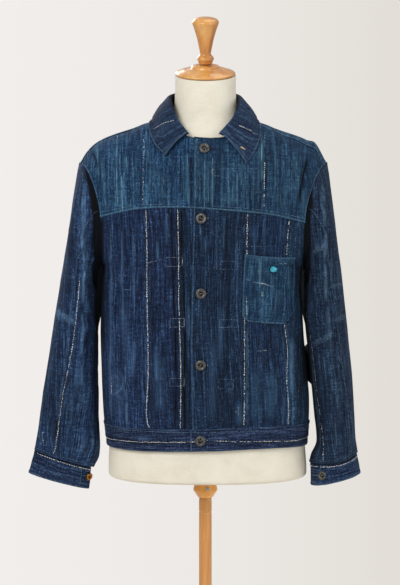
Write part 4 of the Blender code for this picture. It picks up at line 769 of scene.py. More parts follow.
# Worn streaks and pale threads of the front: ends, half width, strength and bow.
FRONT_LIGHT = [
    (-0.1697, 1.318, -0.1700, 1.030, 0.0016, 0.55, 0.0010), (-0.1500, 1.322, -0.1490, 1.120, 0.0014, 0.60, -0.0010),
    (-0.1300, 1.318, -0.1285, 1.150, 0.0014, 0.50, 0.0), (-0.1455, 1.048, -0.1420, 0.998, 0.0018, 0.50, 0.0040),
    (-0.1425, 1.000, -0.1424, 0.952, 0.0016, 0.65, 0.0), (-0.1705, 1.003, -0.1450, 1.030, 0.0016, 0.40, 0.0030),
    (-0.1720, 1.100, -0.1722, 0.955, 0.0016, 0.55, 0.0), (-0.1310, 1.045, -0.1285, 1.110, 0.0030, 0.40, 0.0),
    (-0.1480, 1.190, -0.1300, 1.020, 0.0070, 0.22, 0.0040), (-0.1650, 1.060, -0.1500, 0.960, 0.0110, 0.25, 0.0),
    (-0.0860, 1.290, -0.0855, 1.255, 0.0020, 0.50, 0.0), (-0.0890, 1.110, -0.0880, 1.030, 0.0028, 0.35, 0.0),
    (-0.0860, 1.090, -0.0800, 0.970, 0.0090, 0.20, 0.0), (-0.0700, 1.340, -0.0690, 1.280, 0.0020, 0.35, 0.0),
    (-0.0300, 1.180, -0.0310, 1.110, 0.0030, 0.30, 0.0), (0.0010, 1.300, 0.0000, 1.270, 0.0016, 0.40, 0.0),
    (0.0130, 1.120, 0.0110, 0.960, 0.0060, 0.20, 0.0), (0.0190, 1.330, 0.0200, 1.230, 0.0014, 0.35, 0.0),
    (0.0270, 1.180, 0.0250, 1.060, 0.0050, 0.22, 0.0), (0.0330, 1.335, 0.0320, 1.270, 0.0014, 0.30, 0.0),
    (0.0560, 1.300, 0.0560, 1.180, 0.0016, 0.30, 0.0), (0.0600, 1.000, 0.0600, 0.955, 0.0060, 0.30, 0.0),
    (0.0870, 1.320, 0.0870, 1.200, 0.0018, 0.32, 0.0), (0.1050, 1.320, 0.1050, 1.262, 0.0016, 0.30, 0.0),
    (0.1180, 1.060, 0.1160, 0.960, 0.0100, 0.24, 0.0), (0.1260, 1.045, 0.1270, 0.990, 0.0016, 0.40, 0.0),
    (0.0900, 1.060, 0.0900, 0.960, 0.0070, 0.22, 0.0), (0.1550, 1.118, 0.1553, 1.000, 0.0032, 0.42, 0.0005),
    (0.1420, 1.010, 0.1400, 0.955, 0.0030, 0.30, 0.0), (0.0745, 1.1400, 0.0740, 0.960, 0.0012, 0.45, 0.0),
]
# Dark places of the front: darker cloth, and painted shade along some creases and at the side under the left arm.
FRONT_DARK_AND_SHADE = [
    (0.1722, 1.125, 0.1722, 0.960, 0.0060, 0.55, 0.0), (-0.0920, 1.240, -0.0900, 1.120, 0.0120, 0.18, 0.0),
    (-0.1160, 1.300, -0.1140, 1.180, 0.0100, 0.14, 0.0), (0.0300, 1.110, 0.0300, 0.950, 0.0080, 0.28, 0.0),
    (0.1000, 1.120, 0.1040, 1.060, 0.0200, 0.18, 0.0), (0.0420, 1.330, 0.0380, 1.200, 0.0070, 0.25, 0.0),
    (0.0150, 1.340, 0.0150, 1.250, 0.0200, 0.20, 0.0), (0.0740, 1.0230, 0.1430, 1.0220, 0.0022, 0.35, 0.0),
    (-0.0650, 1.080, -0.0640, 0.960, 0.0060, 0.22, 0.0), (0.0800, 1.330, 0.0780, 1.270, 0.0060, 0.20, 0.0),
    (-0.0700, 1.120, -0.0700, 1.050, 0.0100, 0.15, 0.0), (0.1650, 1.330, 0.1600, 1.180, 0.0100, 0.15, 0.0),
]


# Distance round the body at the place of each column, for the cloth's threads.
arc_line = body_point(C_KEYS, 0.7, False, False)
ARC_KEYS = np.concatenate(([0.0], np.cumsum(np.linalg.norm(np.diff(arc_line, axis=0), axis=1))))


def front_panel(node, right, left, over, fine, low_out, top_out, lap, mat, seed, worn=(0.0, 0.0), step=STEP_X):
    """A strip of the front below the yoke.  right and left are (course name or None for the
    side seam, how far the edge passes it); lap gives the lift of those two edges."""
    def rows_of(edge, sign):
        name, extra = edge
        if name is None:
            return np.full(H_KEYS.shape, float(sign))
        return edge_rows(name, extra)
    c_right, c_left = rows_of(right, -1), rows_of(left, 1)
    x0 = float(body_point(np.interp(0.6, H_KEYS, c_right), 0.6)[0])
    x1 = float(body_point(np.interp(0.6, H_KEYS, c_left), 0.6)[0])
    wide = (x1 - x0) * (1.25 if None in (right[0], left[0]) else 1.0)
    q = spaced(0.0, wide, step, [((a - x0), (b - x0), s) for a, b, s in fine])
    low_h = BAND_TOP_H - low_out / (ARMPIT_Z - HEM_Z)
    ny = int(0.40 / STEP_Z)
    r = np.linspace(0, 1, ny)[:, None] * np.ones((1, len(q)))
    q = np.ones((ny, 1)) * q[None, :]
    c, h = np.zeros(r.shape), np.ones(r.shape)
    for _ in range(5):
        h = low_h + (yoke_h(c) + top_out / 0.40 - low_h) * r
        a, b = np.interp(h, H_KEYS, c_right), np.interp(h, H_KEYS, c_left)
        c = a + (b - a) * q
    base = body_point(c, h)
    normal = body_normal(c, h, False)
    x, z = base[..., 0], base[..., 2]
    e = Edges(base)
    lift = front_lift(x, z, over)
    hidden = 0.25 + 0.75 * smooth((np.minimum(e.low, e.top) - 0.0030) / 0.0090)
    lift = lift + (lap[0] * near(e.left, 0.0060) + lap[1] * near(e.right, 0.0060)) * hidden
    lift = lift + LAP_DOWN * near(e.low, 0.0080) + LAP_DOWN * near(e.top, 0.0080)
    pucker = np.maximum(np.maximum(near(e.left, 0.012), near(e.right, 0.012)), near(e.low, 0.016))
    lift = lift + 0.00042 * pucker * ripple(x / 0.0100, z / 0.0105, 119) * smooth((e.top - 0.004) / 0.012)
    light, dark = front_marks(x, z)
    light = light + worn[0] * near(e.left, 0.0026) + worn[1] * near(e.right, 0.0026)
    # painted shadow along the top and low edges, under the yoke and the band, and beside the upper layer of a lapped
    # selvedge
    dark = dark + 0.55 * near(e.top, 0.0065) + 0.45 * near(e.low, 0.0065)
    for amount, d in ((lap[0], e.left), (lap[1], e.right)):
        if amount < 0:
            dark = dark + 0.75 * near(d, 0.0052)
    marks = np.stack((light, dark, np.zeros(light.shape)), -1)
    return shell(node, base, lift, normal, mat, marks, seed=seed, uv=(np.interp(c, C_KEYS, ARC_KEYS), z))


# ------------------------------------------------------------------ materials
def lin(r, g, b):
    """Linear colour from the usual 0..255 notation."""
    out = []
    for v in (r, g, b):
        v /= 255.0
        out.append(v / 12.92 if v <= 0.04045 else ((v + 0.055) / 1.055) ** 2.4)
    return (*out, 1.0)


class Tree:
    """A node tree round one Principled shader."""

    def __init__(self, name):
        self.mat = bpy.data.materials.new(name)
        self.mat.use_nodes = True
        self.t = self.mat.node_tree
        self.t.nodes.clear()
        out = self.add("ShaderNodeOutputMaterial")
        self.bsdf = self.add("ShaderNodeBsdfPrincipled")
        self.link(self.bsdf.outputs[0], out.inputs["Surface"])

    def add(self, kind):
        return self.t.nodes.new(kind)

    def link(self, a, b):
        self.t.links.new(a, b)

    def put(self, socket, value):
        if isinstance(value, bpy.types.NodeSocket):
            self.link(value, socket)
        else:
            socket.default_value = value

    def uv(self):
        n = self.add("ShaderNodeUVMap")
        n.uv_map = "cloth"
        return n.outputs[0]

    def place(self):
        return self.add("ShaderNodeTexCoord").outputs["Object"]

    def scaled(self, vector, scale, shift=(0, 0, 0)):
        n = self.add("ShaderNodeMapping")
        self.link(vector, n.inputs["Vector"])
        n.inputs["Scale"].default_value = scale
        n.inputs["Location"].default_value = shift
        return n.outputs[0]

    def noise(self, vector, scale, detail=2.0, rough=0.5, shift=(0, 0, 0), warp=0.0):
        n = self.add("ShaderNodeTexNoise")
        self.link(self.scaled(vector, scale, shift), n.inputs["Vector"])
        n.inputs["Scale"].default_value = 1.0
        n.inputs["Detail"].default_value = detail
        n.inputs["Roughness"].default_value = rough
        n.inputs["Distortion"].default_value = warp
        return n.outputs[0]

    def math(self, op, a, b=0.0, c=0.0, clamp=False):
        n = self.add("ShaderNodeMath")
        n.operation = op
        n.use_clamp = clamp
        for socket, value in zip(n.inputs, (a, b, c)):
            self.put(socket, value)
        return n.outputs[0]

    def span(self, value, low, high, to_low=0.0, to_high=1.0):
        n = self.add("ShaderNodeMapRange")
        n.clamp = True
        for k, v in enumerate((value, low, high, to_low, to_high)):
            self.put(n.inputs[k], v)
        return n.outputs[0]

    def ramp(self, value, stops):
        n = self.add("ShaderNodeValToRGB")
        self.link(value, n.inputs[0])
        e = n.color_ramp.elements
        while len(e) < len(stops):
            e.new(0.5)
        for element, (at, colour) in zip(e, stops):
            element.position = at
            element.color = colour
        return n.outputs[0]

    def mix(self, factor, a, b):
        n = self.add("ShaderNodeMix")
        n.data_type = "RGBA"
        self.put(n.inputs["Factor"], factor)
        for name, value in (("A", a), ("B", b)):
            socket = [s for s in n.inputs if s.name == name and s.type == "RGBA"][0]
            self.put(socket, value)
        return [s for s in n.outputs if s.type == "RGBA"][0]

    def bump(self, height, strength, distance, normal=None):
        n = self.add("ShaderNodeBump")
        self.link(height, n.inputs["Height"])
        n.inputs["Strength"].default_value = strength
        n.inputs["Distance"].default_value = distance
        if normal is not None:
            self.link(normal, n.inputs["Normal"])
        return n.outputs[0]

    def finish(self, colour, rough, normal=None, **constants):
        self.put(self.bsdf.inputs["Base Color"], colour)
        self.put(self.bsdf.inputs["Roughness"], rough)
        if normal is not None:
            self.link(normal, self.bsdf.inputs["Normal"])
        for name, value in constants.items():
            self.bsdf.inputs[name.replace("_", " ")].default_value = value
        return self.mat


def fabric(name, stops, worn, deep, fine=1.0, yarn=1.0, broad=1.0, weft=1.0, mottle=1.0, slub=0.5, shift=0.0, seed=0,
           gain=(1.0, 1.0, 1.0)):
    """Hand-loomed indigo: streaky warp, faint weft bars, mottled fading, odd pale slubs; worn places and dark places
    come from the marks, the dark ones mostly painted shade.
    """
    t = Tree(name)
    stops = [(at, (*(v * g for v, g in zip(colour, gain)), 1.0)) for at, colour in stops]
    worn = (*(v * g for v, g in zip(worn, gain)), 1.0)
    uv = t.uv()
    s = seed * 1.7

    def part(scale, detail, rough, dx, amount, warp=0.0):
        n = t.noise(uv, scale, detail, rough, (dx + s, dx * 1.3 + s, s), warp)
        return t.math("MULTIPLY", t.math("SUBTRACT", n, 0.5), amount)
    total = part((1 / 0.0021, 1 / 0.048, 1), 2.0, 0.60, 3.1, 1.10 * fine)
    for extra in (part((1 / 0.0044, 1 / 0.150, 1), 2.0, 0.5, 9.4, 0.50 * yarn, 0.15),
                  part((1 / 0.0220, 1 / 0.300, 1), 1.0, 0.5, 17.7, 0.22 * broad),
                  part((1 / 0.0180, 1 / 0.0023, 1), 2.0, 0.55, 25.2, 0.50 * weft),
                  part((1 / 0.0023, 1 / 0.0034, 1), 1.0, 0.55, 29.3, 0.70 * fine),
                  part((1 / 0.0060, 1 / 0.0110, 1), 3.0, 0.60, 33.9, 0.24 * mottle)):
        total = t.math("ADD", total, extra)
    value = t.math("ADD", total, 0.5 + shift)
    colour = t.ramp(value, stops)
    # short pale slubs along the warp
    slubs = t.span(t.noise(uv, (1 / 0.0013, 1 / 0.011, 1), 1.0, 0.5, (41 + s, 7 + s, 2)), 0.68, 0.78)
    gate = t.span(t.noise(uv, (1 / 0.030, 1 / 0.050, 1), 2.0, 0.5, (4 + s, 60 + s, 5)), 0.48, 0.62)
    colour = t.mix(t.math("MULTIPLY", t.math("MULTIPLY", slubs, gate), slub), colour, worn)
    marks = t.add("ShaderNodeVertexColor")
    marks.layer_name = "marks"
    parts = t.add("ShaderNodeSeparateColor")
    t.link(marks.outputs["Color"], parts.inputs[0])
    streak = t.noise(uv, (1 / 0.0019, 1 / 0.014, 1), 3.0, 0.6, (51 + s, 13 + s, 8))
    wear = t.math("MULTIPLY", parts.outputs[0], t.span(streak, 0.28, 0.62, 0.25, 1.0))
    colour = t.mix(wear, colour, worn)
    # green marks mix toward near-black: painted shade in pleats, creases, under laps and beside the body, with some
    # darker dye
    colour = t.mix(t.math("MULTIPLY", parts.outputs[1], 0.985, clamp=True), colour, deep)
    # threads
    warp_n = t.noise(uv, (1 / 0.00055, 1 / 0.030, 1), 1.0, 0.5, (71, 3, 0))
    weft_n = t.noise(uv, (1 / 0.020, 1 / 0.00062, 1), 1.0, 0.5, (83, 5, 0))
    height = t.math("ADD", t.math("MULTIPLY", warp_n, 0.6), t.math("MULTIPLY", weft_n, 0.4))
    coarse = t.noise(uv, (1 / 0.0030, 1 / 0.011, 1), 3.0, 0.6, (15 + s, 91 + s, 0))
    normal = t.bump(coarse, 0.55, 0.0012)
    normal = t.bump(height, 0.45, 0.00035, normal)
    rough = t.span(streak, 0.3, 0.7, 0.84, 0.96)
    return t.finish(colour, rough, normal, Sheen_Weight=0.05, Sheen_Roughness=0.55, Sheen_Tint=lin(120, 150, 190),
                    Specular_IOR_Level=0.16)


INDIGO = [(0.18, lin(12, 19, 36)), (0.40, lin(24, 37, 60)), (0.56, lin(38, 54, 82)), (0.72, lin(62, 84, 116)),
          (0.92, lin(104, 128, 158))]
INDIGO_VIOLET = [(0.18, lin(13, 18, 35)), (0.40, lin(28, 37, 62)), (0.56, lin(44, 54, 84)), (0.72, lin(68, 80, 114)),
                 (0.92, lin(106, 122, 152))]
INDIGO_INK = [(0.18, lin(11, 20, 32)), (0.40, lin(23, 36, 54)), (0.56, lin(36, 51, 72)), (0.72, lin(58, 78, 102)),
              (0.92, lin(98, 120, 142))]
TEAL = [(0.16, lin(18, 34, 58)), (0.38, lin(33, 56, 84)), (0.54, lin(48, 78, 108)), (0.70, lin(78, 114, 144)),
        (0.90, lin(126, 160, 180))]
POCKET_BLUE = [(0.16, lin(20, 38, 60)), (0.38, lin(33, 56, 80)), (0.54, lin(46, 74, 98)), (0.70, lin(72, 104, 128)),
               (0.90, lin(116, 148, 166))]
VIOLET = [(0.18, lin(22, 30, 56)), (0.40, lin(38, 50, 80)), (0.56, lin(50, 64, 96)), (0.72, lin(72, 88, 122)),
          (0.92, lin(108, 124, 156))]
PALE_BODY, PALE_YOKE, PALE_COLLAR = lin(112, 140, 170), lin(124, 168, 186), lin(128, 146, 184)
# near-black for the green marks: painted shade, with some darker dye
DARK_DYE_AND_SHADE = lin(1, 2, 5)

GAIN = {
    "side_right": (0.466, 0.602, 0.766),
    "mid_right": (0.454, 0.685, 0.791),
    "placket": (0.481, 0.664, 0.823),
    "mid_left": (0.382, 0.670, 0.720),
    "side_left": (0.772, 1.070, 1.174),
    "back": (0.433, 0.652, 0.759),
    "band": (0.405, 0.506, 0.569),
    "sleeve_right": (0.664, 0.836, 0.953),
    "sleeve_left": (0.555, 0.649, 0.640),
    "cuff": (0.393, 0.559, 0.621),
    "yoke_right": (0.353, 0.485, 0.596),
    "yoke_left": (0.374, 0.483, 0.537),
    "yoke_back": (0.364, 0.483, 0.566),
    "pocket": (0.370, 0.531, 0.653),
    "collar": (0.401, 0.548, 0.547),
}

MAT = {
    "side_right": fabric("hand_loomed_indigo_a", INDIGO, PALE_BODY, DARK_DYE_AND_SHADE, seed=1, shift=0.02, gain=GAIN["side_right"]),
    "mid_right": fabric("hand_loomed_indigo_b", INDIGO_VIOLET, PALE_BODY, DARK_DYE_AND_SHADE, seed=2, shift=-0.02, broad=0.8, gain=GAIN["mid_right"]),
    "placket": fabric("hand_loomed_indigo_c", INDIGO_INK, PALE_BODY, DARK_DYE_AND_SHADE, seed=3, shift=-0.02, yarn=1.3, gain=GAIN["placket"]),
    "mid_left": fabric("hand_loomed_indigo_d", INDIGO_VIOLET, PALE_BODY, DARK_DYE_AND_SHADE, seed=4, shift=-0.02, gain=GAIN["mid_left"]),
    "side_left": fabric("hand_loomed_indigo_e", INDIGO_INK, PALE_BODY, DARK_DYE_AND_SHADE, seed=5, shift=-0.03, gain=GAIN["side_left"]),
    "back": fabric("hand_loomed_indigo_f", INDIGO, PALE_BODY, DARK_DYE_AND_SHADE, seed=6, shift=-0.01, gain=GAIN["back"]),
    "band": fabric("hand_loomed_indigo_band", INDIGO_VIOLET, PALE_BODY, DARK_DYE_AND_SHADE, seed=7, shift=0.06, fine=1.3, yarn=0.8, gain=GAIN["band"]),
    "sleeve_right": fabric("hand_loomed_indigo_sleeve_a", INDIGO, PALE_BODY, DARK_DYE_AND_SHADE, seed=8, shift=0.03, fine=0.85, weft=0.9, mottle=0.6, gain=GAIN["sleeve_right"]),
    "sleeve_left": fabric("hand_loomed_indigo_sleeve_b", INDIGO, PALE_BODY, DARK_DYE_AND_SHADE, seed=9, shift=0.0, fine=0.86, weft=1.0, mottle=0.7, gain=GAIN["sleeve_left"]),
    "cuff": fabric("hand_loomed_indigo_cuff", INDIGO_VIOLET, PALE_BODY, DARK_DYE_AND_SHADE, seed=10, shift=0.08, fine=1.3, gain=GAIN["cuff"]),
    "yoke_right": fabric("streaked_teal_yoke_a", TEAL, PALE_YOKE, DARK_DYE_AND_SHADE, seed=11, shift=0.02, yarn=1.20, broad=1.3, gain=GAIN["yoke_right"]),
    "yoke_left": fabric("streaked_teal_yoke_b", TEAL, PALE_YOKE, DARK_DYE_AND_SHADE, seed=12, shift=-0.04, fine=0.82, yarn=0.95, gain=GAIN["yoke_left"]),
    "yoke_back": fabric("streaked_teal_yoke_c", TEAL, PALE_YOKE, DARK_DYE_AND_SHADE, seed=13, shift=-0.01, yarn=1.2, gain=GAIN["yoke_back"]),
    "pocket": fabric("faded_pocket_cloth", POCKET_BLUE, lin(132, 160, 170), DARK_DYE_AND_SHADE, seed=14, shift=0.0, slub=0.8, gain=GAIN["pocket"]),
    "collar": fabric("violet_indigo_collar", VIOLET, PALE_COLLAR, DARK_DYE_AND_SHADE, seed=15, shift=0.0, weft=0.7, yarn=1.1, gain=GAIN["collar"]),
}


# ------------------------------------------------------------------ yokes
def wide_rows(low, high, count):
    return low + (high - low) * np.linspace(0, 1, count)


# Streaks of the yoke's paler yarn: ends, half width, strength, bow.
YOKE_LIGHT = [
    (-0.1966, 1.4600, -0.1935, 1.4000, 0.0022, 0.70, 0.0), (-0.1900, 1.4400, -0.1790, 1.3500, 0.0018, 0.45, 0.0),
    (-0.1613, 1.4800, -0.1583, 1.3560, 0.0016, 1.00, 0.0), (-0.1508, 1.4060, -0.1482, 1.3400, 0.0017, 0.95, 0.0),
    (-0.1545, 1.3900, -0.1500, 1.3400, 0.0012, 0.55, 0.0), (-0.1425, 1.4400, -0.1418, 1.4060, 0.0026, 0.60, 0.0),
    (-0.1300, 1.4300, -0.1290, 1.3500, 0.0016, 0.35, 0.0), (-0.1220, 1.4700, -0.1215, 1.4200, 0.0016, 0.35, 0.0),
    (-0.1020, 1.4640, -0.1012, 1.3560, 0.0036, 0.35, 0.0), (-0.0900, 1.4200, -0.0890, 1.3560, 0.0014, 0.45, 0.0),
    (-0.0780, 1.4100, -0.0775, 1.3560, 0.0018, 0.35, 0.0), (-0.0670, 1.4100, -0.0665, 1.3500, 0.0013, 0.40, 0.0),
    (-0.0535, 1.4150, -0.0530, 1.3500, 0.0013, 0.35, 0.0), (-0.0333, 1.4480, -0.0312, 1.3520, 0.0026, 0.65, 0.0),
    (-0.0390, 1.4400, -0.0385, 1.3620, 0.0012, 0.40, 0.0), (-0.0179, 1.4480, -0.0178, 1.3500, 0.0014, 0.60, 0.0),
    (-0.0110, 1.4200, -0.0108, 1.3500, 0.0010, 0.45, 0.0), (-0.0020, 1.4360, -0.0020, 1.3490, 0.0020, 0.75, 0.0),
    (0.0055, 1.4330, 0.0050, 1.3500, 0.0012, 0.50, 0.0), (0.0122, 1.4380, 0.0121, 1.3480, 0.0018, 0.70, 0.0),
    (0.0294, 1.4500, 0.0292, 1.3680, 0.0015, 0.55, 0.0), (0.0400, 1.4200, 0.0395, 1.3500, 0.0012, 0.40, 0.0),
    (0.0480, 1.4000, 0.0478, 1.3560, 0.0012, 0.45, 0.0), (0.0567, 1.4140, 0.0563, 1.3520, 0.0016, 0.65, 0.0),
    (0.0640, 1.4330, 0.0640, 1.3850, 0.0013, 0.55, 0.0), (0.0610, 1.4260, 0.0610, 1.4180, 0.0080, 0.25, 0.0),
    (0.1018, 1.4830, 0.0995, 1.3900, 0.0030, 0.80, 0.0), (0.0950, 1.4700, 0.0940, 1.3560, 0.0014, 0.35, 0.0),
    (0.1250, 1.4650, 0.1245, 1.3700, 0.0012, 0.35, 0.0), (0.1430, 1.3980, 0.1420, 1.3400, 0.0014, 0.50, 0.0),
    (0.1350, 1.3900, 0.1340, 1.3400, 0.0060, 0.25, 0.0), (0.1560, 1.4400, 0.1530, 1.3500, 0.0012, 0.30, 0.0),
    (0.1650, 1.4400, 0.1600, 1.3400, 0.0014, 0.35, 0.0), (0.1780, 1.3860, 0.1740, 1.3280, 0.0060, 0.30, 0.0),
    (0.0250, 1.3620, 0.0600, 1.3620, 0.0060, 0.30, 0.0), (-0.1900, 1.3560, -0.1300, 1.3490, 0.0050, 0.30, 0.0),
]
# Dark places of the yoke: darker yarn, and painted shade in the deep creases by the armholes.
YOKE_DARK_AND_SHADE = [
    (-0.1100, 1.4660, -0.1090, 1.3600, 0.0012, 0.35, 0.0), (-0.1270, 1.4200, -0.1260, 1.3560, 0.0070, 0.25, 0.0),
    (-0.0780, 1.4300, -0.0720, 1.3700, 0.0150, 0.15, 0.0), (-0.0440, 1.4300, -0.0430, 1.3560, 0.0040, 0.35, 0.0),
    (-0.0260, 1.4450, -0.0255, 1.3500, 0.0022, 0.65, 0.0), (0.1085, 1.4860, 0.1075, 1.3700, 0.0050, 0.30, 0.0),
    (0.0820, 1.4100, 0.0830, 1.3560, 0.0100, 0.22, 0.0), (0.0200, 1.4350, 0.0195, 1.3600, 0.0018, 0.45, 0.0),
    (0.1905, 1.4440, 0.1690, 1.3480, 0.0030, 0.95, 0.0040), (-0.2090, 1.4480, -0.1950, 1.4100, 0.0028, 0.80, -0.0030),
    (0.1180, 1.4600, 0.1150, 1.4000, 0.0120, 0.20, 0.0), (0.1650, 1.4300, 0.1560, 1.3900, 0.0100, 0.15, 0.0),
]


def yoke_marks(x, z):
    gap = 0.55 + 0.45 * ripple(x / 0.004, z / 0.010, 77)
    return np.clip(strokes(YOKE_LIGHT, x, z) * np.clip(gap, 0.25, 1.0), 0, 1), np.clip(strokes(YOKE_DARK_AND_SHADE, x, z), 0, 1)


def front_yoke(node, side, over, seed):
    seam = SHOULDER_SEAM["left" if side > 0 else "right"]
    inner = COURSE["closing"] if over else COURSE["under"]
    neck_n = int(abs(side * NECK_HALF - float(np.interp(1.4, H_KEYS, inner))) / 0.0021)
    ny = 54
    k = np.arange(neck_n + 1) / neck_n
    r = np.linspace(0, 1, ny)[:, None]
    shoulder_q = np.arange(1, 67) / 66.0
    # columns by the neck keep their place across
    q = np.ones((ny, 1)) * k[None, :]
    rr = r * np.ones((1, neck_n + 1))
    c = np.full(q.shape, side * 0.2)
    h = np.full(q.shape, 1.4)
    for _ in range(4):
        inner_x = np.interp(np.minimum(h, 1.5), H_KEYS, inner)
        x = inner_x + (side * NECK_HALF - inner_x) * q
        bottom = yoke_h(c) - 0.0014
        top = np.minimum(neck_h(x, False) + 0.004, seam + 0.006)
        h = bottom + (top - bottom) * rr
        c = c_at(x, h)
    # columns under the shoulder fan out to the armhole
    q2 = np.ones((ny, 1)) * shoulder_q[None, :]
    rr2 = r * np.ones((1, len(shoulder_q)))
    keys = np.linspace(1.1, 2.0, 181)
    c_neck = c_at(side * NECK_HALF, keys)
    c2, h2 = np.full(q2.shape, side * 0.6), np.full(q2.shape, 1.5)
    for _ in range(5):
        bottom = yoke_h(c2) - 0.0014
        h2 = bottom + (seam + 0.006 - bottom) * rr2
        c0 = np.interp(h2, keys, c_neck)
        c2 = c0 + (side * 1.0 - c0) * q2
    c, h = np.concatenate((c, c2), 1), np.concatenate((h, h2), 1)
    if side < 0:
        c, h = c[:, ::-1], h[:, ::-1]
    base = body_point(c, h)
    normal = body_normal(c, h, False)
    x, z = base[..., 0], base[..., 2]
    e = Edges(base)
    lift = front_lift(x, z, over)
    arm, front = (e.right, e.left) if side > 0 else (e.left, e.right)
    lift = lift + LAP_UP * near(e.low, 0.0070) + 0.0009 * near(arm, 0.0070)
    is_shoulder = smooth((np.abs(x) - NECK_HALF - 0.002) / 0.008)
    lift = lift + LAP_DOWN * 1.3 * near(e.top, 0.0100) * is_shoulder
    pucker = np.maximum(near(arm, 0.012), near(e.top, 0.014)) * smooth((e.low - 0.004) / 0.012)
    lift = lift + 0.00040 * pucker * ripple(x / 0.0095, z / 0.0120, seed + 9)
    light, dark = yoke_marks(x, z)
    light = light + 0.55 * near(e.low, 0.0022) + 0.45 * near(arm, 0.0020) + (0.55 * near(front, 0.0020) if over else 0.0)
    # painted shadow along the top edge, under the collar and the back yoke's fold
    dark = dark + 0.6 * near(e.top, 0.0060)
    marks = np.stack((light, dark, np.zeros(light.shape)), -1)
    return shell(node, base, lift, normal, MAT["yoke_left" if side > 0 else "yoke_right"], marks, seed=seed,
                 uv=(x + 0.25 * np.maximum(np.abs(x) - 0.17, 0) * np.sign(x), base[:1, :, 2] + e.low))


def back_body():
    cs = np.linspace(-1, 1, 124)
    cs = np.sign(cs) * (1 - (1 - np.abs(cs)) ** 1.10)
    low_h = BAND_TOP_H - 0.004 / (ARMPIT_Z - HEM_Z)
    ny = 118
    r = np.linspace(0, 1, ny)[:, None]
    c = np.ones((ny, 1)) * cs[None, :]
    h = low_h + (back_yoke_h(c) + 0.012 - low_h) * r
    base = body_point(c, h, True)
    tuck = []
    for sign in (-1, 1):
        k = 0 if sign < 0 else -1
        side_h = h[:, k][:, None]
        col = body_point(np.full((ny, 1), sign * (1 - 0.0057)), side_h, False, False) * np.array((0.9945, 0.9945, 1.0))
        # above the armpit the seam turns into the armhole's edge, which stays open
        edge, inner = base[:, k][:, None], base[:, 1 if sign < 0 else -2][:, None]
        below = smooth((0.998 - side_h) / 0.03)[..., None]
        tuck.append(col * below + (edge + (edge - inner) * 0.05) * (1 - below))
    base = np.concatenate((tuck[0], base, tuck[1]), 1)
    normal = outward(base, np.array((0, 0, 1.1)) * np.ones(3))
    x, z = base[..., 0], base[..., 2]
    e = Edges(base)
    lift = strokes(BACK_CREASES, x, z) + 0.0008 * ripple(x / 0.040, z / 0.090, 41, 2) + 0.00025 * ripple(x / 0.010, z / 0.03, 43)
    lift = lift + BACK_SEAM_STEP(x, z)
    lift = lift + LAP_DOWN * (near(e.low, 0.008) + near(e.top, 0.010) + near(e.left, 0.008) + near(e.right, 0.008))
    lift = lift + 0.00042 * np.maximum(near(e.low, 0.016), near(e.top, 0.016)) * ripple(x / 0.010, z / 0.011, 47)
    light = strokes([(bx, 1.33, bx * 0.98, 0.96, 0.0016, s, 0.0) for bx, s in BACK_STREAKS], x, z)
    # painted shadow under the yoke's edge and the band's edge
    dark = 0.5 * near(e.top, 0.006) + 0.45 * near(e.low, 0.006)
    marks = np.stack((light, dark, np.zeros(light.shape)), -1)
    return shell("back_body", base, lift, normal, MAT["back"], marks, seed=31)


BACK_SEAMS = [(-0.1080, -0.1100), (-0.0020, 0.0010), (0.1060, 0.1080)]     # place at the hem and at the yoke
BACK_STREAKS = [(-0.165, 0.5), (-0.142, 0.4), (-0.126, 0.5), (-0.085, 0.45), (-0.060, 0.35), (-0.031, 0.5), (0.024, 0.4),
                (0.047, 0.5), (0.079, 0.4), (0.131, 0.5), (0.150, 0.35), (0.168, 0.45)]


def BACK_SEAM_STEP(x, z):
    """The back's strips are lapped too: a small step across each selvedge."""
    total = np.zeros(x.shape)
    for hem, yoke in BACK_SEAMS:
        at = hem + (yoke - hem) * (z - 0.95) / 0.40
        d = x - at
        total = total + np.where(d < 0, 0.0010 * np.exp(-(d / 0.006) ** 2), -0.0008 * np.exp(-(d / 0.006) ** 2))
    return np.where(z < 1.36, total, 0.0)


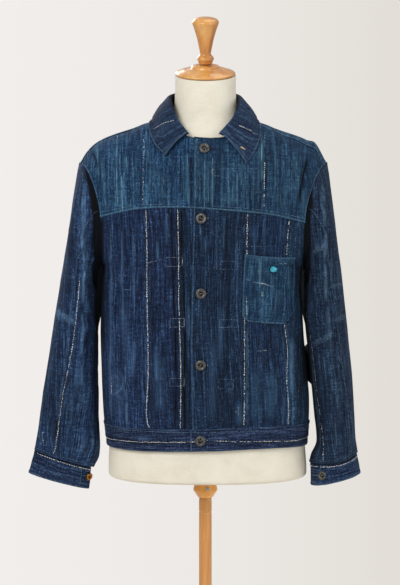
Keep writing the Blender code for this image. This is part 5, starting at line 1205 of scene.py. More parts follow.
def back_yoke():
    left_c, right_c = float(c_at(NECK_HALF, 2.0, True)), float(c_at(-NECK_HALF, 2.0, True))
    outer = 46
    cs = np.concatenate((np.linspace(-1.0, right_c, outer, endpoint=False), np.linspace(right_c, left_c, 46, endpoint=False),
                         np.linspace(left_c, 1.0, outer + 1)))
    ny = 62
    r = np.linspace(0, 1, ny)[:, None]
    c = np.ones((ny, 1)) * cs[None, :]
    low = back_yoke_h(c) - 0.004
    x_top = body_point(cs, 2.0, True, False)[..., 0]
    seam = np.where(cs > 0, SHOULDER_SEAM["left"], SHOULDER_SEAM["right"]) - 0.004
    shoulder = (cs <= right_c + 1e-9) | (cs >= left_c - 1e-9)
    past = np.where(shoulder, 2.0 - seam, 0.0)[None, :]
    top = np.where(shoulder, 2.0, neck_h(x_top, True) + 0.004)[None, :]
    reach = (top - low) + past
    run = low + reach * r
    over = run > top + 1e-9
    h_back = np.minimum(run, top)
    h_front = np.clip(2.0 - (run - 2.0), 1.0, 2.0)
    base = np.where(over[..., None], body_point(c, h_front, False, False), body_point(c, h_back, True))
    normal = outward(base, np.array((0.0, 0.0, 1.30)))
    x, y, z = base[..., 0], base[..., 1], base[..., 2]
    e = Edges(base)
    lift = np.where(y > -0.01, strokes(BACK_CREASES, x, z), 0.0)
    lift = lift + 0.0006 * ripple(x / 0.035, (y + z) / 0.070, 51, 2) + 0.00022 * ripple(x / 0.009, (y + z) / 0.03, 53)
    lift = lift + LAP_UP * (near(e.low, 0.008) + near(e.top, 0.008) * shoulder[None, :]) + 0.0009 * (near(e.left, 0.007)
                                                                                                + near(e.right, 0.007))
    lift = lift + 0.0004 * np.maximum(near(e.low, 0.016), near(e.top, 0.014)) * ripple(x / 0.0095, (y + z) / 0.012, 57)
    rng = np.random.default_rng(58)
    rows = [(bx, 1.62, bx * 0.985, 1.34, rng.uniform(0.0012, 0.0026), rng.uniform(0.35, 0.85), 0.0)
            for bx in (-0.192, -0.171, -0.160, -0.139, -0.121, -0.104, -0.083, -0.066, -0.047, -0.028, -0.012, 0.009, 0.026,
                       0.044, 0.061, 0.082, 0.101, 0.118, 0.133, 0.151, 0.170, 0.188, 0.203)]
    gap = np.clip(0.55 + 0.45 * ripple(x / 0.004, (z - y) / 0.012, 59), 0.25, 1)
    light = strokes(rows, x, z) * gap + 0.55 * near(e.low, 0.0022) + 0.5 * near(e.top, 0.0022) + 0.4 * np.minimum(
        near(e.left, 0.002) + near(e.right, 0.002), 1)
    light = light + 0.30 * np.exp(-(y / 0.012) ** 2)
    marks = np.stack((light, np.zeros(light.shape), np.zeros(light.shape)), -1)
    return shell("back_yoke", base, lift, normal, MAT["yoke_back"], marks, seed=52)


# ------------------------------------------------------------------ waistband
BAND_LINE = [(-0.190, 0.9195), (-0.1793, 0.9204), (-0.1538, 0.9223), (-0.1057, 0.9236), (-0.0226, 0.9266), (0.0152, 0.9286),
             (0.0700, 0.9262), (0.1183, 0.9246), (0.1592, 0.9221), (0.1839, 0.9215), (0.192, 0.9215)]
BACK_BAND_LINE = [(-0.19, 0.9215), (-0.10, 0.9235), (0.0, 0.9228), (0.09, 0.9240), (0.19, 0.9215)]


def band(node, cs, back, over, seed, laps):
    ny = 17
    r = np.linspace(0, 1, ny)[:, None]
    top = BAND_TOP_H + 0.0016 / (ARMPIT_Z - HEM_Z)
    c = np.ones((ny, 1)) * cs[None, :]
    h = top * r * np.ones(c.shape)
    base = body_point(c, h, back)
    if back:
        tuck = []
        for sign in (-1, 1):
            col = body_point(np.full((ny, 1), sign * (1 - 0.0057)), h[:, :1], False, False)
            tuck.append(col * np.array((0.9945, 0.9945, 1.0)))
        base = np.concatenate((tuck[0], base, tuck[1]), 1)
    normal = outward(base, np.array((0, 0, 0.93)))
    x, z = base[..., 0], base[..., 2]
    e = Edges(base)
    lift = np.zeros(x.shape)
    if over:
        lift = lift + OVERLAP_LIFT * (1.0 - smooth((x - 0.016) / 0.018))
    course = line(BACK_BAND_LINE if back else BAND_LINE, x) + 0.0005 * ripple(x / 0.02, x * 0, seed + 2)
    d = z - course
    lift = lift + np.where(d > 0, 0.0009 * np.exp(-(d / 0.006) ** 2), -0.0006 * np.exp(-(d / 0.006) ** 2))
    lift = lift + (LAP_UP + 0.0003) * near(e.top, 0.0060) + laps[0] * near(e.left, 0.006) + laps[1] * near(e.right, 0.006)
    lift = lift + 0.00075 * ripple(x / 0.030, z / 0.040, seed, 2) + 0.00035 * ripple(x / 0.009, z / 0.012, seed + 5)
    lift = lift + 0.0010 * near(e.low, 0.010) * ripple(x / 0.026, z * 0, seed + 8)
    thick = HALF + 0.00045 * near(e.low, 0.004) + 0.00030 * near(e.top, 0.004)
    light = 0.50 * near(e.low, 0.0028) + 0.30 * near(e.top, 0.0022) + (0.60 * near(e.left, 0.0024) if over else 0.0)
    # painted shadow just below the band's lapped middle seam, and beside the upper layer of a lap
    dark = 0.65 * np.exp(-((d + 0.0016) / 0.0011) ** 2) + (0.75 * near(e.left, 0.005) if laps[0] < 0 else 0.0)
    marks = np.stack((np.clip(light, 0, 1), np.clip(dark, 0, 1), np.zeros(x.shape)), -1)
    return shell(node, base, lift, normal, MAT["band"], marks, seed=seed, thick=thick, uv_turn=True)


# ------------------------------------------------------------------ sleeves
def ring_point(row, degrees, relief=None):
    ox, oz, ix, iz, front, rear, expo = (row[..., k] for k in range(1, 8))
    a = np.radians(degrees)
    u, w = signed_power(np.cos(a), 2 / expo), signed_power(np.sin(a), 2 / expo)
    zero = np.zeros(np.broadcast(ox, a).shape)
    middle = np.stack(np.broadcast_arrays((ox + ix) / 2, (rear - front) / 2, (oz + iz) / 2), -1)
    across = np.stack(np.broadcast_arrays((ox - ix) / 2, zero, (oz - iz) / 2), -1)
    deep = np.stack(np.broadcast_arrays(zero, -(front + rear) / 2, zero), -1)
    point = middle + across * u[..., None] + deep * w[..., None]
    out = unit(across * np.cos(a)[..., None] + deep * np.sin(a)[..., None])
    if relief is not None:
        point = point + out * relief[..., None]
    return point, out


def armhole_ring(side, degrees):
    a = np.mod(degrees, 360.0)
    back = a > 180.0
    t = np.where(back, 360.0 - a, a) / 180.0
    row = read(ARM_LEFT if side > 0 else ARM_RIGHT, np.maximum(1 - t, 0) ** 1.51)
    return np.stack((row[..., 1], np.where(back, row[..., 4], -row[..., 3]), row[..., 2]), -1)


def sleeve_surface(side, t, degrees):
    """Point of the sleeve's plain surface.  Below t = 0 it turns in under the armhole's edge,
    above t = 1 it runs on over the cuff."""
    t, degrees = np.broadcast_arrays(np.asarray(t, float), np.asarray(degrees, float))
    tc = np.clip(t, 0.0, 1.0)
    relief = np.zeros(t.shape)
    for ft, fa, along, around, depth in SLEEVE_FOLDS:
        away = np.mod(degrees - fa + 180, 360) - 180
        relief = relief + depth * np.exp(-((tc - ft) / along) ** 2 - (away / around) ** 2)
    relief = relief * smooth((tc - 0.13) / 0.04) * smooth((0.99 - tc) / 0.02)
    table = SLEEVE_LEFT if side > 0 else SLEEVE_RIGHT
    ring, out = ring_point(read(table, tc), degrees, relief)
    # the fulness behind the arm leans against the body's side
    away = np.mod(degrees - 222.0 + 180, 360) - 180
    lean = (0.0140 if side < 0 else 0.0110) * np.exp(-(away / 20.0) ** 2)
    ring[..., 0] -= side * lean * smooth((tc - 0.05) / 0.10) * smooth((0.54 - tc) / 0.14)
    if side > 0:
        # and again lower down, at the hip
        lean = 0.0165 * np.exp(-(away / 20.0) ** 2)
        ring[..., 0] -= lean * smooth((tc - 0.540) / 0.035) * smooth((0.705 - tc) / 0.040)
    arm = armhole_ring(side, degrees)
    shifted = arm + np.array((side * 0.0032, 0, 0))
    blend = (1.0 - smooth(tc / 0.15))[..., None]
    p = ring * (1 - blend) + shifted * blend
    # tucked rows
    hub = np.array((0.0, 0.0, 1.335))
    inner = hub + (arm - hub) * np.array((1.0, 0.984, 0.984)) - np.array((side * 0.0040, 0, 0))
    k = smooth(-t / 0.010)[..., None]
    p = p * (1 - k) + inner * k
    # rows past the cuff's seam
    last, _ = ring_point(read(table, np.float64(1.0)) * np.ones((*t.shape, 1)), degrees)
    before, _ = ring_point(read(table, np.float64(0.97)) * np.ones((*t.shape, 1)), degrees)
    run = unit(last - before)
    p = p + run * (np.maximum(t - 1.0, 0.0) * 0.56)[..., None]
    return p


def sleeve_table(rows):
    return [(a0 * 0.001, -t0 * 0.56, a1 * 0.001, -t1 * 0.56, w, d, b) for a0, t0, a1, t1, w, d, b in rows]


def sleeve_strokes(rows, t, a):
    rows = sleeve_table(rows)
    total = 0.0
    for turn in (-360.0, 0.0, 360.0):
        total = total + strokes(rows, (a + turn) * 0.001, -t * 0.56)
    return total


# Worn ridges and pale threads of the sleeves, and their dark places: darker cloth, and painted shade on the inner side
# towards the body and by the armhole.
SLEEVE_LIGHT = {
    "right": [
        (92, 0.130, 122, 0.300, 0.0130, 0.30, 0.0), (122, 0.300, 128, 0.440, 0.0130, 0.28, 0.0), (78, 0.100, 100, 0.180, 0.0120, 0.28, 0.0),
        (44, 0.060, 86, 0.125, 0.0042, 0.80, 0.0), (86, 0.125, 103, 0.225, 0.0038, 0.95, 0.004), (103, 0.225, 106, 0.420, 0.0036, 0.90, 0.0),
        (106, 0.420, 110, 0.600, 0.0040, 0.65, 0.0), (110, 0.600, 112, 0.780, 0.0050, 0.40, 0.0), (94, 0.160, 99, 0.260, 0.0016, 0.60, 0.0),
        (112, 0.200, 116, 0.330, 0.0020, 0.45, 0.0), (118, 0.380, 120, 0.500, 0.0014, 0.45, 0.0), (12, 0.505, 96, 0.486, 0.0042, 1.15, 0.0),
        (12, 0.520, 86, 0.503, 0.0014, 0.55, 0.0), (20, 0.200, 26, 0.420, 0.0020, 0.35, 0.0), (40, 0.300, 44, 0.420, 0.0014, 0.40, 0.0),
        (98, 0.700, 92, 0.860, 0.0022, 0.40, 0.0), (104, 0.640, 98, 0.720, 0.0018, 0.45, 0.0), (84, 0.720, 80, 0.800, 0.0016, 0.40, 0.0),
        (38, 0.880, 40, 0.965, 0.0016, 0.60, 0.0035), (52, 0.780, 46, 0.900, 0.0016, 0.45, 0.0), (30, 0.640, 28, 0.800, 0.0070, 0.22, 0.0),
        (122, 0.860, 116, 0.960, 0.0060, 0.25, 0.0), (300, 0.10, 300, 0.50, 0.0030, 0.45, 0.0), (262, 0.30, 258, 0.80, 0.0040, 0.40, 0.0),
        (330, 0.30, 324, 0.46, 0.0070, 0.35, 0.0), (320, 0.46, 318, 0.60, 0.0090, 0.40, 0.0), (344, 0.10, 344, 0.90, 0.0014, 0.40, 0.0),
        (230, 0.50, 232, 0.90, 0.0016, 0.40, 0.0), (78, 0.935, 130, 0.950, 0.0040, 0.30, 0.0),
    ],
    "left": [
        (40, 0.060, 78, 0.133, 0.0042, 0.75, 0.0), (78, 0.133, 86, 0.250, 0.0036, 0.95, 0.0), (86, 0.250, 90, 0.420, 0.0036, 0.60, 0.0),
        (90, 0.420, 88, 0.600, 0.0040, 0.35, 0.0), (108, 0.110, 84, 0.190, 0.0044, 0.45, 0.0), (70, 0.260, 66, 0.420, 0.0018, 0.40, 0.0),
        (48, 0.300, 46, 0.480, 0.0016, 0.45, 0.0), (60, 0.560, 52, 0.700, 0.0022, 0.40, 0.0), (110, 0.560, 106, 0.760, 0.0020, 0.40, 0.0),
        (84, 0.660, 78, 0.850, 0.0060, 0.22, 0.0), (96, 0.800, 92, 0.940, 0.0018, 0.40, 0.0), (30, 0.560, 22, 0.760, 0.0050, 0.25, 0.0),
        (300, 0.10, 300, 0.50, 0.0030, 0.45, 0.0), (262, 0.30, 258, 0.80, 0.0040, 0.40, 0.0), (326, 0.28, 322, 0.44, 0.0070, 0.35, 0.0),
        (318, 0.44, 316, 0.58, 0.0090, 0.40, 0.0), (346, 0.10, 346, 0.90, 0.0014, 0.40, 0.0), (228, 0.50, 230, 0.90, 0.0016, 0.40, 0.0),
        (116, 0.112, 79, 0.205, 0.0040, 0.50, 0.0), (76, 0.375, 22, 0.415, 0.0030, 0.45, 0.0), (73, 0.490, 23, 0.510, 0.0036, 0.55, 0.0),
        (142, 0.530, 108, 0.525, 0.0040, 0.45, 0.0), (108, 0.525, 78, 0.525, 0.0042, 0.60, 0.0),
    ],
}
SLEEVE_DARK_AND_SHADE = {
    "right": [(70, 0.640, 70, 0.960, 0.0340, 0.30, 0.0), (45, 0.040, 76, 0.018, 0.0050, 0.80, 0.0), (44, 0.140, 52, 0.440, 0.0260, 0.28, 0.0), (50, 0.560, 40, 0.900, 0.0300, 0.18, 0.0), (60, 0.220, 66, 0.460, 0.0120, 0.18, 0.0), (126, 0.140, 150, 0.500, 0.0120, 0.35, 0.0), (110, 0.740, 106, 0.860, 0.0100, 0.20, 0.0),
              (150, 0.500, 150, 0.950, 0.0120, 0.35, 0.0), (58, 0.560, 54, 0.700, 0.0100, 0.15, 0.0)],
    "left": [(116, 0.100, 132, 0.340, 0.0110, 0.30, 0.0), (62, 0.160, 64, 0.330, 0.0080, 0.30, 0.0), (72, 0.480, 66, 0.620, 0.0100, 0.20, 0.0),
             (152, 0.400, 142, 0.950, 0.0090, 0.30, 0.0), (40, 0.360, 36, 0.520, 0.0100, 0.15, 0.0)],
}


# Where the shade between arm and body begins, as an angle at each place down the sleeve.
SHADE_FROM = {"right": [(0.0, 30), (0.035, 33), (0.045, 40), (0.055, 60), (0.065, 74), (0.075, 93), (0.085, 106), (0.10, 119), (0.155, 137),
                        (0.26, 147), (0.34, 152), (0.435, 155), (0.50, 160), (0.62, 176)],
              "left": [(0.0, 58), (0.03, 62), (0.045, 70), (0.055, 88), (0.075, 103), (0.10, 120), (0.15, 131), (0.22, 139), (0.30, 145),
                       (0.40, 149), (0.50, 153), (0.60, 157), (0.74, 155), (0.86, 148), (0.94, 141)]}


def shade(key, t, a):
    """Dark inner side of the sleeve, deep in the gap beside the body."""
    a = np.mod(a, 360.0)
    start = line(SHADE_FROM[key], np.clip(t, 0, 1))
    stop = 0.66 if key == "right" else 1.00
    return smooth((a - start + 4.0) / 13.0) * smooth((262.0 - a) / 36.0) * smooth((stop - t) / 0.16)


def thread_lines(side, base, t, a, radius):
    """Places on the flat cloth: its threads run down the arm, whatever the armhole does."""
    table = SLEEVE_LEFT if side > 0 else SLEEVE_RIGHT

    def middle(s):
        row = read(table, np.float64(s))
        return np.array(((row[1] + row[3]) / 2, (row[6] - row[5]) / 2, (row[2] + row[4]) / 2))
    origin, onward = middle(0.05), middle(0.90)
    axis = (onward - origin) / np.linalg.norm(onward - origin)
    deep = np.array((0.0, -1.0, 0.0))
    deep = deep - axis * deep.dot(axis)
    deep /= np.linalg.norm(deep)
    across = np.cross(deep, axis)
    across *= np.sign(across[0] * side)
    d = base - origin
    turn = np.degrees(np.arctan2(d @ deep, d @ across))
    turn = turn + 360.0 * np.round((a - turn) / 360.0)
    centre = 360.0 if a.mean() > 200 else 100.0
    along = d @ axis
    wide = 0.60 * line([(-0.1, 0.080), (0.17, 0.062), (0.5, 0.040)], along) + 0.40 * 0.058
    return np.radians(turn - centre) * wide, -along


def cuff_dip(side, a):
    """How far the wearer's left cuff seam sags at the front, as a share of 5 mm."""
    away = np.mod(a - 80.0 + 180, 360) - 180
    return np.exp(-(away / 36.0) ** 2) * (1.0 if side > 0 else 0.0)


def sleeve(node, side, start, end, laps, columns, seed):
    """Part of the tube between two seams, whose angles are given at the top and at the cuff."""
    key = "left" if side > 0 else "right"
    ts = np.concatenate(([-0.010, -0.006, -0.003], np.linspace(0.0, 1.0, 112), [1.0035]))
    t = ts[:, None] * np.ones((1, columns))
    tc = np.clip(t, 0, 1)
    radius = line([(0.0, 0.080), (0.3, 0.062), (1.0, 0.040)], tc)
    degree = 0.001 / (radius * math.pi / 180)
    a0 = start[0] + (start[1] - start[0]) * tc + laps[0][0] * degree
    a1 = end[0] + (end[1] - end[0]) * tc + laps[1][0] * degree
    a = a0 + (a1 - a0) * np.linspace(0, 1, columns)[None, :]
    base = sleeve_surface(side, t + 0.0085 * cuff_dip(side, a) * smooth((tc - 0.84) / 0.16), a)
    hub = (sleeve_surface(side, t, 0.0) + sleeve_surface(side, t, 180.0)) / 2
    normal = outward(base, hub)
    e = Edges(base)
    lift = sleeve_strokes(SLEEVE_CREASES[key], t, a)
    lift = lift + 0.0009 * ripple(a / 34.0, t * 0.56 / 0.070, seed, 2) + 0.00030 * ripple(a / 9.0, t * 0.56 / 0.030, seed + 5)
    # gathered fulness above the cuff and easing at the head
    lift = lift + 0.0012 * smooth((tc - 0.93) / 0.05) * ripple(a / 11.0, t * 0 + seed, seed + 7)
    lift = lift + 0.0009 * near(e.low - e.low[3:4], 0.022) * ripple(a / 8.0, t * 0 + seed, seed + 8)
    lift = lift * smooth((t + 0.004) / 0.02)
    lift = lift + laps[0][1] * near(e.left, 0.0060) + laps[1][1] * near(e.right, 0.0060) + 0.0006 * near(e.top, 0.006)
    lift = lift + 0.0004 * np.maximum(near(e.left, 0.012), near(e.right, 0.012)) * ripple(a / 9.0, t * 0.56 / 0.0105, seed + 9)
    light = sleeve_strokes(SLEEVE_LIGHT[key], t, a)
    gap = np.clip(0.60 + 0.45 * ripple(a / 3.5, t * 0.56 / 0.014, seed + 11), 0.25, 1)
    light = light * gap + 0.35 * near(e.top, 0.0022)
    # painted shade down the armhole seam and deep in the gap beside the body; painted shadow beside the upper layer of
    # a lapped seam
    dark = sleeve_strokes(SLEEVE_DARK_AND_SHADE[key], t, a) + 0.75 * near(e.low - 0.004, 0.0060) + 1.1 * shade(key, t, a)
    for (extra, amount), d in zip(laps, (e.left, e.right)):
        if amount < 0:
            dark = dark + 0.75 * near(d, 0.0052)
        else:
            light = light + 0.20 * near(d, 0.0022)
    marks = np.stack((np.clip(light, 0, 1), np.clip(dark, 0, 1), np.zeros(t.shape)), -1)
    return shell(node, base, lift, normal, MAT["sleeve_left" if side > 0 else "sleeve_right"], marks, seed=seed,
                 uv=thread_lines(side, base, t, a, radius))


def cuff(node, side, seed):
    table = np.array(CUFF_LEFT if side > 0 else CUFF_RIGHT)
    upper_end, under_end, _ = CUFF_LAPS["left" if side > 0 else "right"]
    first, last = upper_end + 14.0, under_end - 360.0 - 34.0
    nx, ny = 112, 18
    q = np.ones((ny, 1)) * np.linspace(0, 1, nx)[None, :]
    a = first + (last - first) * q
    around = 0.26 if side < 0 else 0.30
    d_first = q * around
    corner = 0.0100
    cut = np.where(d_first < corner, corner - np.sqrt(np.maximum(corner**2 - (corner - d_first) ** 2, 0)), 0.0) / 0.045
    r = np.linspace(-0.115, 1, ny)[:, None] * np.ones((1, nx))
    r = np.where(r > 0, r * (1 - 0.62 * cut), r)
    rows = read([(0.0, *table[0]), (0.5, *table[1]), (1.0, *table[2])], np.clip(r, 0, 1))
    rows = np.concatenate((rows, np.full((*rows.shape[:-1], 1), 2.2)), -1)
    base, out = ring_point(rows, a, 0.0014 - 0.0028 * q)
    run = unit(base[-1:, :] - base[3:4, :])
    base = base + run * (np.minimum(r, 0.0) * 0.042 + 0.0048 * cuff_dip(side, a) * (1 - np.clip(r, 0, 1)))[..., None]
    base = base - out * (smooth(-r / 0.10) * 0.0018)[..., None]
    hub = base.mean(1, keepdims=True)
    normal = outward(base, hub)
    e = Edges(base)
    u, v = a, e.low
    lift = 0.0006 * ripple(a / 26.0, v / 0.025, seed, 2) + 0.0003 * ripple(a / 8.0, v / 0.012, seed + 3)
    lift = lift + 0.0007 * near(e.top, 0.009) * ripple(a / 20.0, v * 0, seed + 4)
    thick = HALF + 0.0004 * near(e.top, 0.004) + 0.0004 * near(e.left, 0.004)
    light = 0.55 * near(e.top, 0.0026) + 0.50 * near(e.left, 0.0024) + 0.3 * near(e.right, 0.0024)
    # painted shadow under the sleeve's end, which laps over the cuff's top
    dark = 0.85 * near(e.low - 0.0046, 0.0034)
    marks = np.stack((np.clip(light, 0, 1), np.clip(dark, 0, 1), np.zeros(a.shape)), -1)
    return shell(node, base, lift, normal, MAT["cuff"], marks, seed=seed, thick=thick, uv_turn=True)


# ------------------------------------------------------------------ making the body
TOP_OUT = 0.0055
front_panel("front_strip_right_side", (None, 0.0), ("right_side", 0.0015), False, (), 0.004, TOP_OUT, (0.0, LAP_UP),
            MAT["side_right"], 101, (0.0, 0.30))
front_panel("front_strip_right_mid", ("right_side", -0.0032), ("right_placket", 0.0015), False,
            [(-0.0660, -0.0480, 0.0011)], 0.004, TOP_OUT, (LAP_DOWN, LAP_UP), MAT["mid_right"], 102, (0.0, 0.30))
front_panel("front_placket_right", ("right_placket", -0.0032), ("under", 0.0), False,
            [(-0.0520, -0.0330, 0.0011)], 0.004, TOP_OUT, (LAP_DOWN, 0.0), MAT["placket"], 103)
front_panel("front_placket_left", ("closing", 0.0), ("left_placket", 0.0015), True,
            [(0.0320, 0.0500, 0.0012)], 0.004, TOP_OUT, (0.0004, LAP_UP), MAT["placket"], 104, (0.40, 0.25))
front_panel("front_strip_left_mid", ("left_placket", -0.0032), ("left_side", 0.0015), True, (), 0.004, TOP_OUT,
            (LAP_DOWN, LAP_UP), MAT["mid_left"], 105, (0.0, 0.25))
front_panel("front_strip_left_side", ("left_side", -0.0032), (None, 0.0), True, (), 0.004, TOP_OUT, (LAP_DOWN, 0.0),
            MAT["side_left"], 106)
front_yoke("front_yoke_right", -1, False, 111)
front_yoke("front_yoke_left", 1, True, 112)
back_body()
back_yoke()

row_low = 0.06
c_under = float(c_at(UNDERLAP_EDGE, row_low))
c_close = float(c_at(BAND_CLOSING, row_low))
band("waistband_right", np.concatenate((np.linspace(-1, -0.30, 66, endpoint=False), np.linspace(-0.30, c_under, 50))), False,
     False, 121, (0.0, 0.0))
band("waistband_left", np.concatenate((np.linspace(c_close, 0.30, 56, endpoint=False), np.linspace(0.30, 1, 66))), False,
     True, 122, (0.0003, 0.0))
band("waistband_back", np.linspace(-1, 1, 150), True, False, 123, (LAP_DOWN, LAP_DOWN))

sleeve("sleeve_right_front", -1, (88, 68), (180, 180), ((-3.2, LAP_DOWN), (0.0, 0.0)), 70, 131)
sleeve("sleeve_right_back", -1, (180, 180), (448, 428), ((0.0, 0.0), (1.5, LAP_UP)), 150, 132)
sleeve("sleeve_left_front", 1, (84, 52), (180, 140), ((-3.2, LAP_DOWN), (0.0, 0.0)), 66, 133)
sleeve("sleeve_left_back", 1, (180, 140), (444, 412), ((0.0, 0.0), (1.5, LAP_UP)), 150, 134)
cuff("cuff_right", -1, 141)
cuff("cuff_left", 1, 142)


# ------------------------------------------------------------------ laying things on the cloth
def tree_of(names, inside=False):
    """A search tree over the outer faces of some pieces."""
    points, faces, start = [], [], 0
    for name in names:
        piece = PIECES[name]
        outer = piece["p"] + piece["n"] * piece["t"][..., None] * (-1 if inside else 1)
        ny, nx = outer.shape[:2]
        k = np.arange(ny * nx).reshape(ny, nx) + start
        points.append(outer.reshape(-1, 3))
        faces.append(np.stack((k[:-1, :-1], k[:-1, 1:], k[1:, 1:], k[1:, :-1]), -1).reshape(-1, 4))
        start += ny * nx
    return BVHTree.FromPolygons(np.concatenate(points).tolist(), np.concatenate(faces).tolist())


FRONT_NAMES = ["front_strip_right_side", "front_strip_right_mid", "front_placket_right", "front_placket_left",
               "front_strip_left_mid", "front_strip_left_side"]
YOKE_NAMES = ["front_yoke_right", "front_yoke_left", "back_yoke"]
FRONT_TREE = tree_of(FRONT_NAMES)
YOKE_TREE = tree_of(YOKE_NAMES)


def front_c_h(x, z):
    x, z = np.broadcast_arrays(np.asarray(x, float), np.asarray(z, float))
    h = np.full(x.shape, 1.0)
    c = c_at(x, h)
    for _ in range(5):
        h = h_at(c, z)
        c = c_at(x, h)
    return c, h


# ------------------------------------------------------------------ pocket
POCKET_CREASES = [(0.0960, 1.2600, 0.0950, 1.1700, 0.0045, 0.0009, 0.001), (0.0800, 1.2400, 0.0790, 1.1600, 0.0050, -0.0008, 0.0),
                  (0.1180, 1.2200, 0.1150, 1.1500, 0.0060, 0.0010, 0.0), (0.1400, 1.2400, 0.1330, 1.1650, 0.0055, -0.0012, 0.002),
                  (0.1320, 1.2000, 0.1120, 1.1480, 0.0045, 0.0010, 0.002), (0.1050, 1.1900, 0.0980, 1.1500, 0.0040, -0.0009, 0.001)]
POCKET_LIGHT = [(0.0952, 1.2640, 0.0958, 1.2000, 0.0014, 0.75, 0.0), (0.0800, 1.2520, 0.0800, 1.2200, 0.0012, 0.40, 0.0),
                (0.0740, 1.2190, 0.0800, 1.2180, 0.0010, 0.90, 0.0), (0.0850, 1.2150, 0.0990, 1.2120, 0.0009, 0.80, 0.0),
                (0.0955, 1.2135, 0.1080, 1.2105, 0.0012, 1.00, 0.0), (0.1060, 1.2090, 0.1210, 1.2050, 0.0008, 0.60, 0.0),
                (0.1190, 1.2290, 0.1180, 1.1900, 0.0010, 0.50, 0.0), (0.1010, 1.1980, 0.1010, 1.1880, 0.0011, 0.85, 0.0),
                (0.1410, 1.2480, 0.1440, 1.2460, 0.0012, 0.70, 0.0), (0.1330, 1.2470, 0.1380, 1.2455, 0.0010, 0.55, 0.0),
                (0.1090, 1.1800, 0.1060, 1.1560, 0.0012, 0.45, 0.0), (0.0880, 1.1900, 0.0870, 1.1600, 0.0013, 0.45, 0.0),
                (0.1250, 1.1900, 0.1200, 1.1500, 0.0012, 0.40, 0.0), (0.1460, 1.2500, 0.1460, 1.2000, 0.0012, 0.45, 0.0),
                (0.0730, 1.1750, 0.0730, 1.1580, 0.0018, 0.75, 0.0), (0.1100, 1.2450, 0.1090, 1.2200, 0.0012, 0.35, 0.0),
                (0.1300, 1.2000, 0.1290, 1.1700, 0.0050, 0.18, 0.0)]
# Dark places of the pocket; the one just under the stone is the stone's painted shadow.
POCKET_DARK_AND_SHADE = [(0.1040, 1.2330, 0.1030, 1.2050, 0.0040, 0.30, 0.0), (0.1150, 1.2350, 0.1250, 1.2330, 0.0060, 0.40, 0.0),
               (0.0860, 1.2080, 0.0850, 1.1800, 0.0050, 0.22, 0.0), (0.1360, 1.1900, 0.1320, 1.1600, 0.0050, 0.20, 0.0)]


# The pocket's edges: its lower corners are cut off, the outer one further.
POCKET_OUTLINE = {"left": [(0.0700, 1.1494), (0.0645, 1.1555), (0.0660, 1.2050), (0.0692, 1.2650)],
                  "low": [(0.0700, 1.1494), (0.0762, 1.1440), (0.1100, 1.1392), (0.1405, 1.1362), (0.1500, 1.1480)],
                  "right": [(0.1500, 1.1480), (0.1592, 1.1600), (0.1580, 1.1850), (0.1568, 1.2120), (0.1596, 1.2575)],
                  "top": [(0.0692, 1.2650), (0.1140, 1.2622), (0.1596, 1.2575)]}


def pocket():
    nx, ny = 84, 96
    q = np.linspace(0, 1, nx)[None, :] * np.ones((ny, 1))
    r = np.linspace(0, 1, ny)[:, None] * np.ones((1, nx))
    def side_of(points, s):
        run = np.concatenate(([0.0], np.cumsum(np.linalg.norm(np.diff(points, axis=0), axis=1))))
        return np.stack([np.interp(s * run[-1], run, points[:, k]) for k in range(2)], -1)
    left_side, right_side = np.array(POCKET_OUTLINE["left"]), np.array(POCKET_OUTLINE["right"])
    low_side, top_side = np.array(POCKET_OUTLINE["low"]), np.array(POCKET_OUTLINE["top"])
    low, top = side_of(low_side, q[0])[None], side_of(top_side, q[0])[None]
    start, stop = side_of(left_side, r[:, 0])[:, None], side_of(right_side, r[:, 0])[:, None]
    a, b, c, d = low_side[0], low_side[-1], top_side[0], top_side[-1]
    qq, rr = q[..., None], r[..., None]
    xz = (low * (1 - rr) + top * rr + start * (1 - qq) + stop * qq
          - (a * (1 - qq) * (1 - rr) + b * qq * (1 - rr) + c * (1 - qq) * rr + d * qq * rr))
    # the mouth sags a little between its stitched ends
    xz[..., 1] -= 0.0022 * np.sin(np.pi * q) * smooth((r - 0.75) / 0.25)
    x, z = xz[..., 0], xz[..., 1]
    cc, hh = front_c_h(x, z)
    plain = body_point(cc, hh)
    normal = body_normal(cc, hh, False)
    height = np.zeros(x.shape)
    for j in range(ny):
        for i in range(nx):
            n = Vector(normal[j, i])
            p = Vector(plain[j, i]) + n * 0.03
            hit = FRONT_TREE.ray_cast(p, -n, 0.06)[0]
            height[j, i] = 0.03 - (p - hit).length if hit is not None else OVERLAP_LIFT + 0.001
    for _ in range(3):
        pad = np.pad(height, 2, mode="edge")
        height = sum(pad[dy:dy + ny, dx:dx + nx] for dy in range(5) for dx in range(5)) / 25.0
    base = plain + normal * height[..., None]
    e = Edges(base)
    sewn = np.minimum(np.minimum(e.left, e.right), e.low)
    lift = 0.0014 + 0.0016 * smooth(sewn / 0.012) + 0.0018 * np.sin(np.pi * q) * smooth((r - 0.35) / 0.65)
    lift = lift + strokes(POCKET_CREASES, x, z) * smooth(sewn / 0.008)
    hem = e.top
    lift = lift + 0.00045 * near(hem - 0.0, 0.0145) - 0.0005 * np.exp(-((hem - 0.0150) / 0.0016) ** 2)
    lift = lift + 0.0004 * ripple(x / 0.010, z / 0.012, 151) * smooth(sewn / 0.006)
    lift = lift + 0.0004 * near(sewn, 0.009) * (1 + ripple((x + z) / 0.006, (x - z) / 0.006, 152))
    thick = HALF + 0.0005 * near(hem, 0.015) + 0.0003 * near(sewn, 0.0026)
    light = strokes(POCKET_LIGHT, x, z) + 0.50 * near(sewn, 0.0020) + 0.45 * near(e.top, 0.0018)
    light = light + 0.18 * near(hem, 0.0130)
    # painted shade in the groove at the hem's lower edge
    dark = strokes(POCKET_DARK_AND_SHADE, x, z) + 0.35 * np.exp(-((hem - 0.0155) / 0.0013) ** 2)
    marks = np.stack((light, dark, np.zeros(x.shape)), -1)
    return shell("chest_pocket", base, lift, normal, MAT["pocket"], marks, seed=153, thick=thick)


pocket()


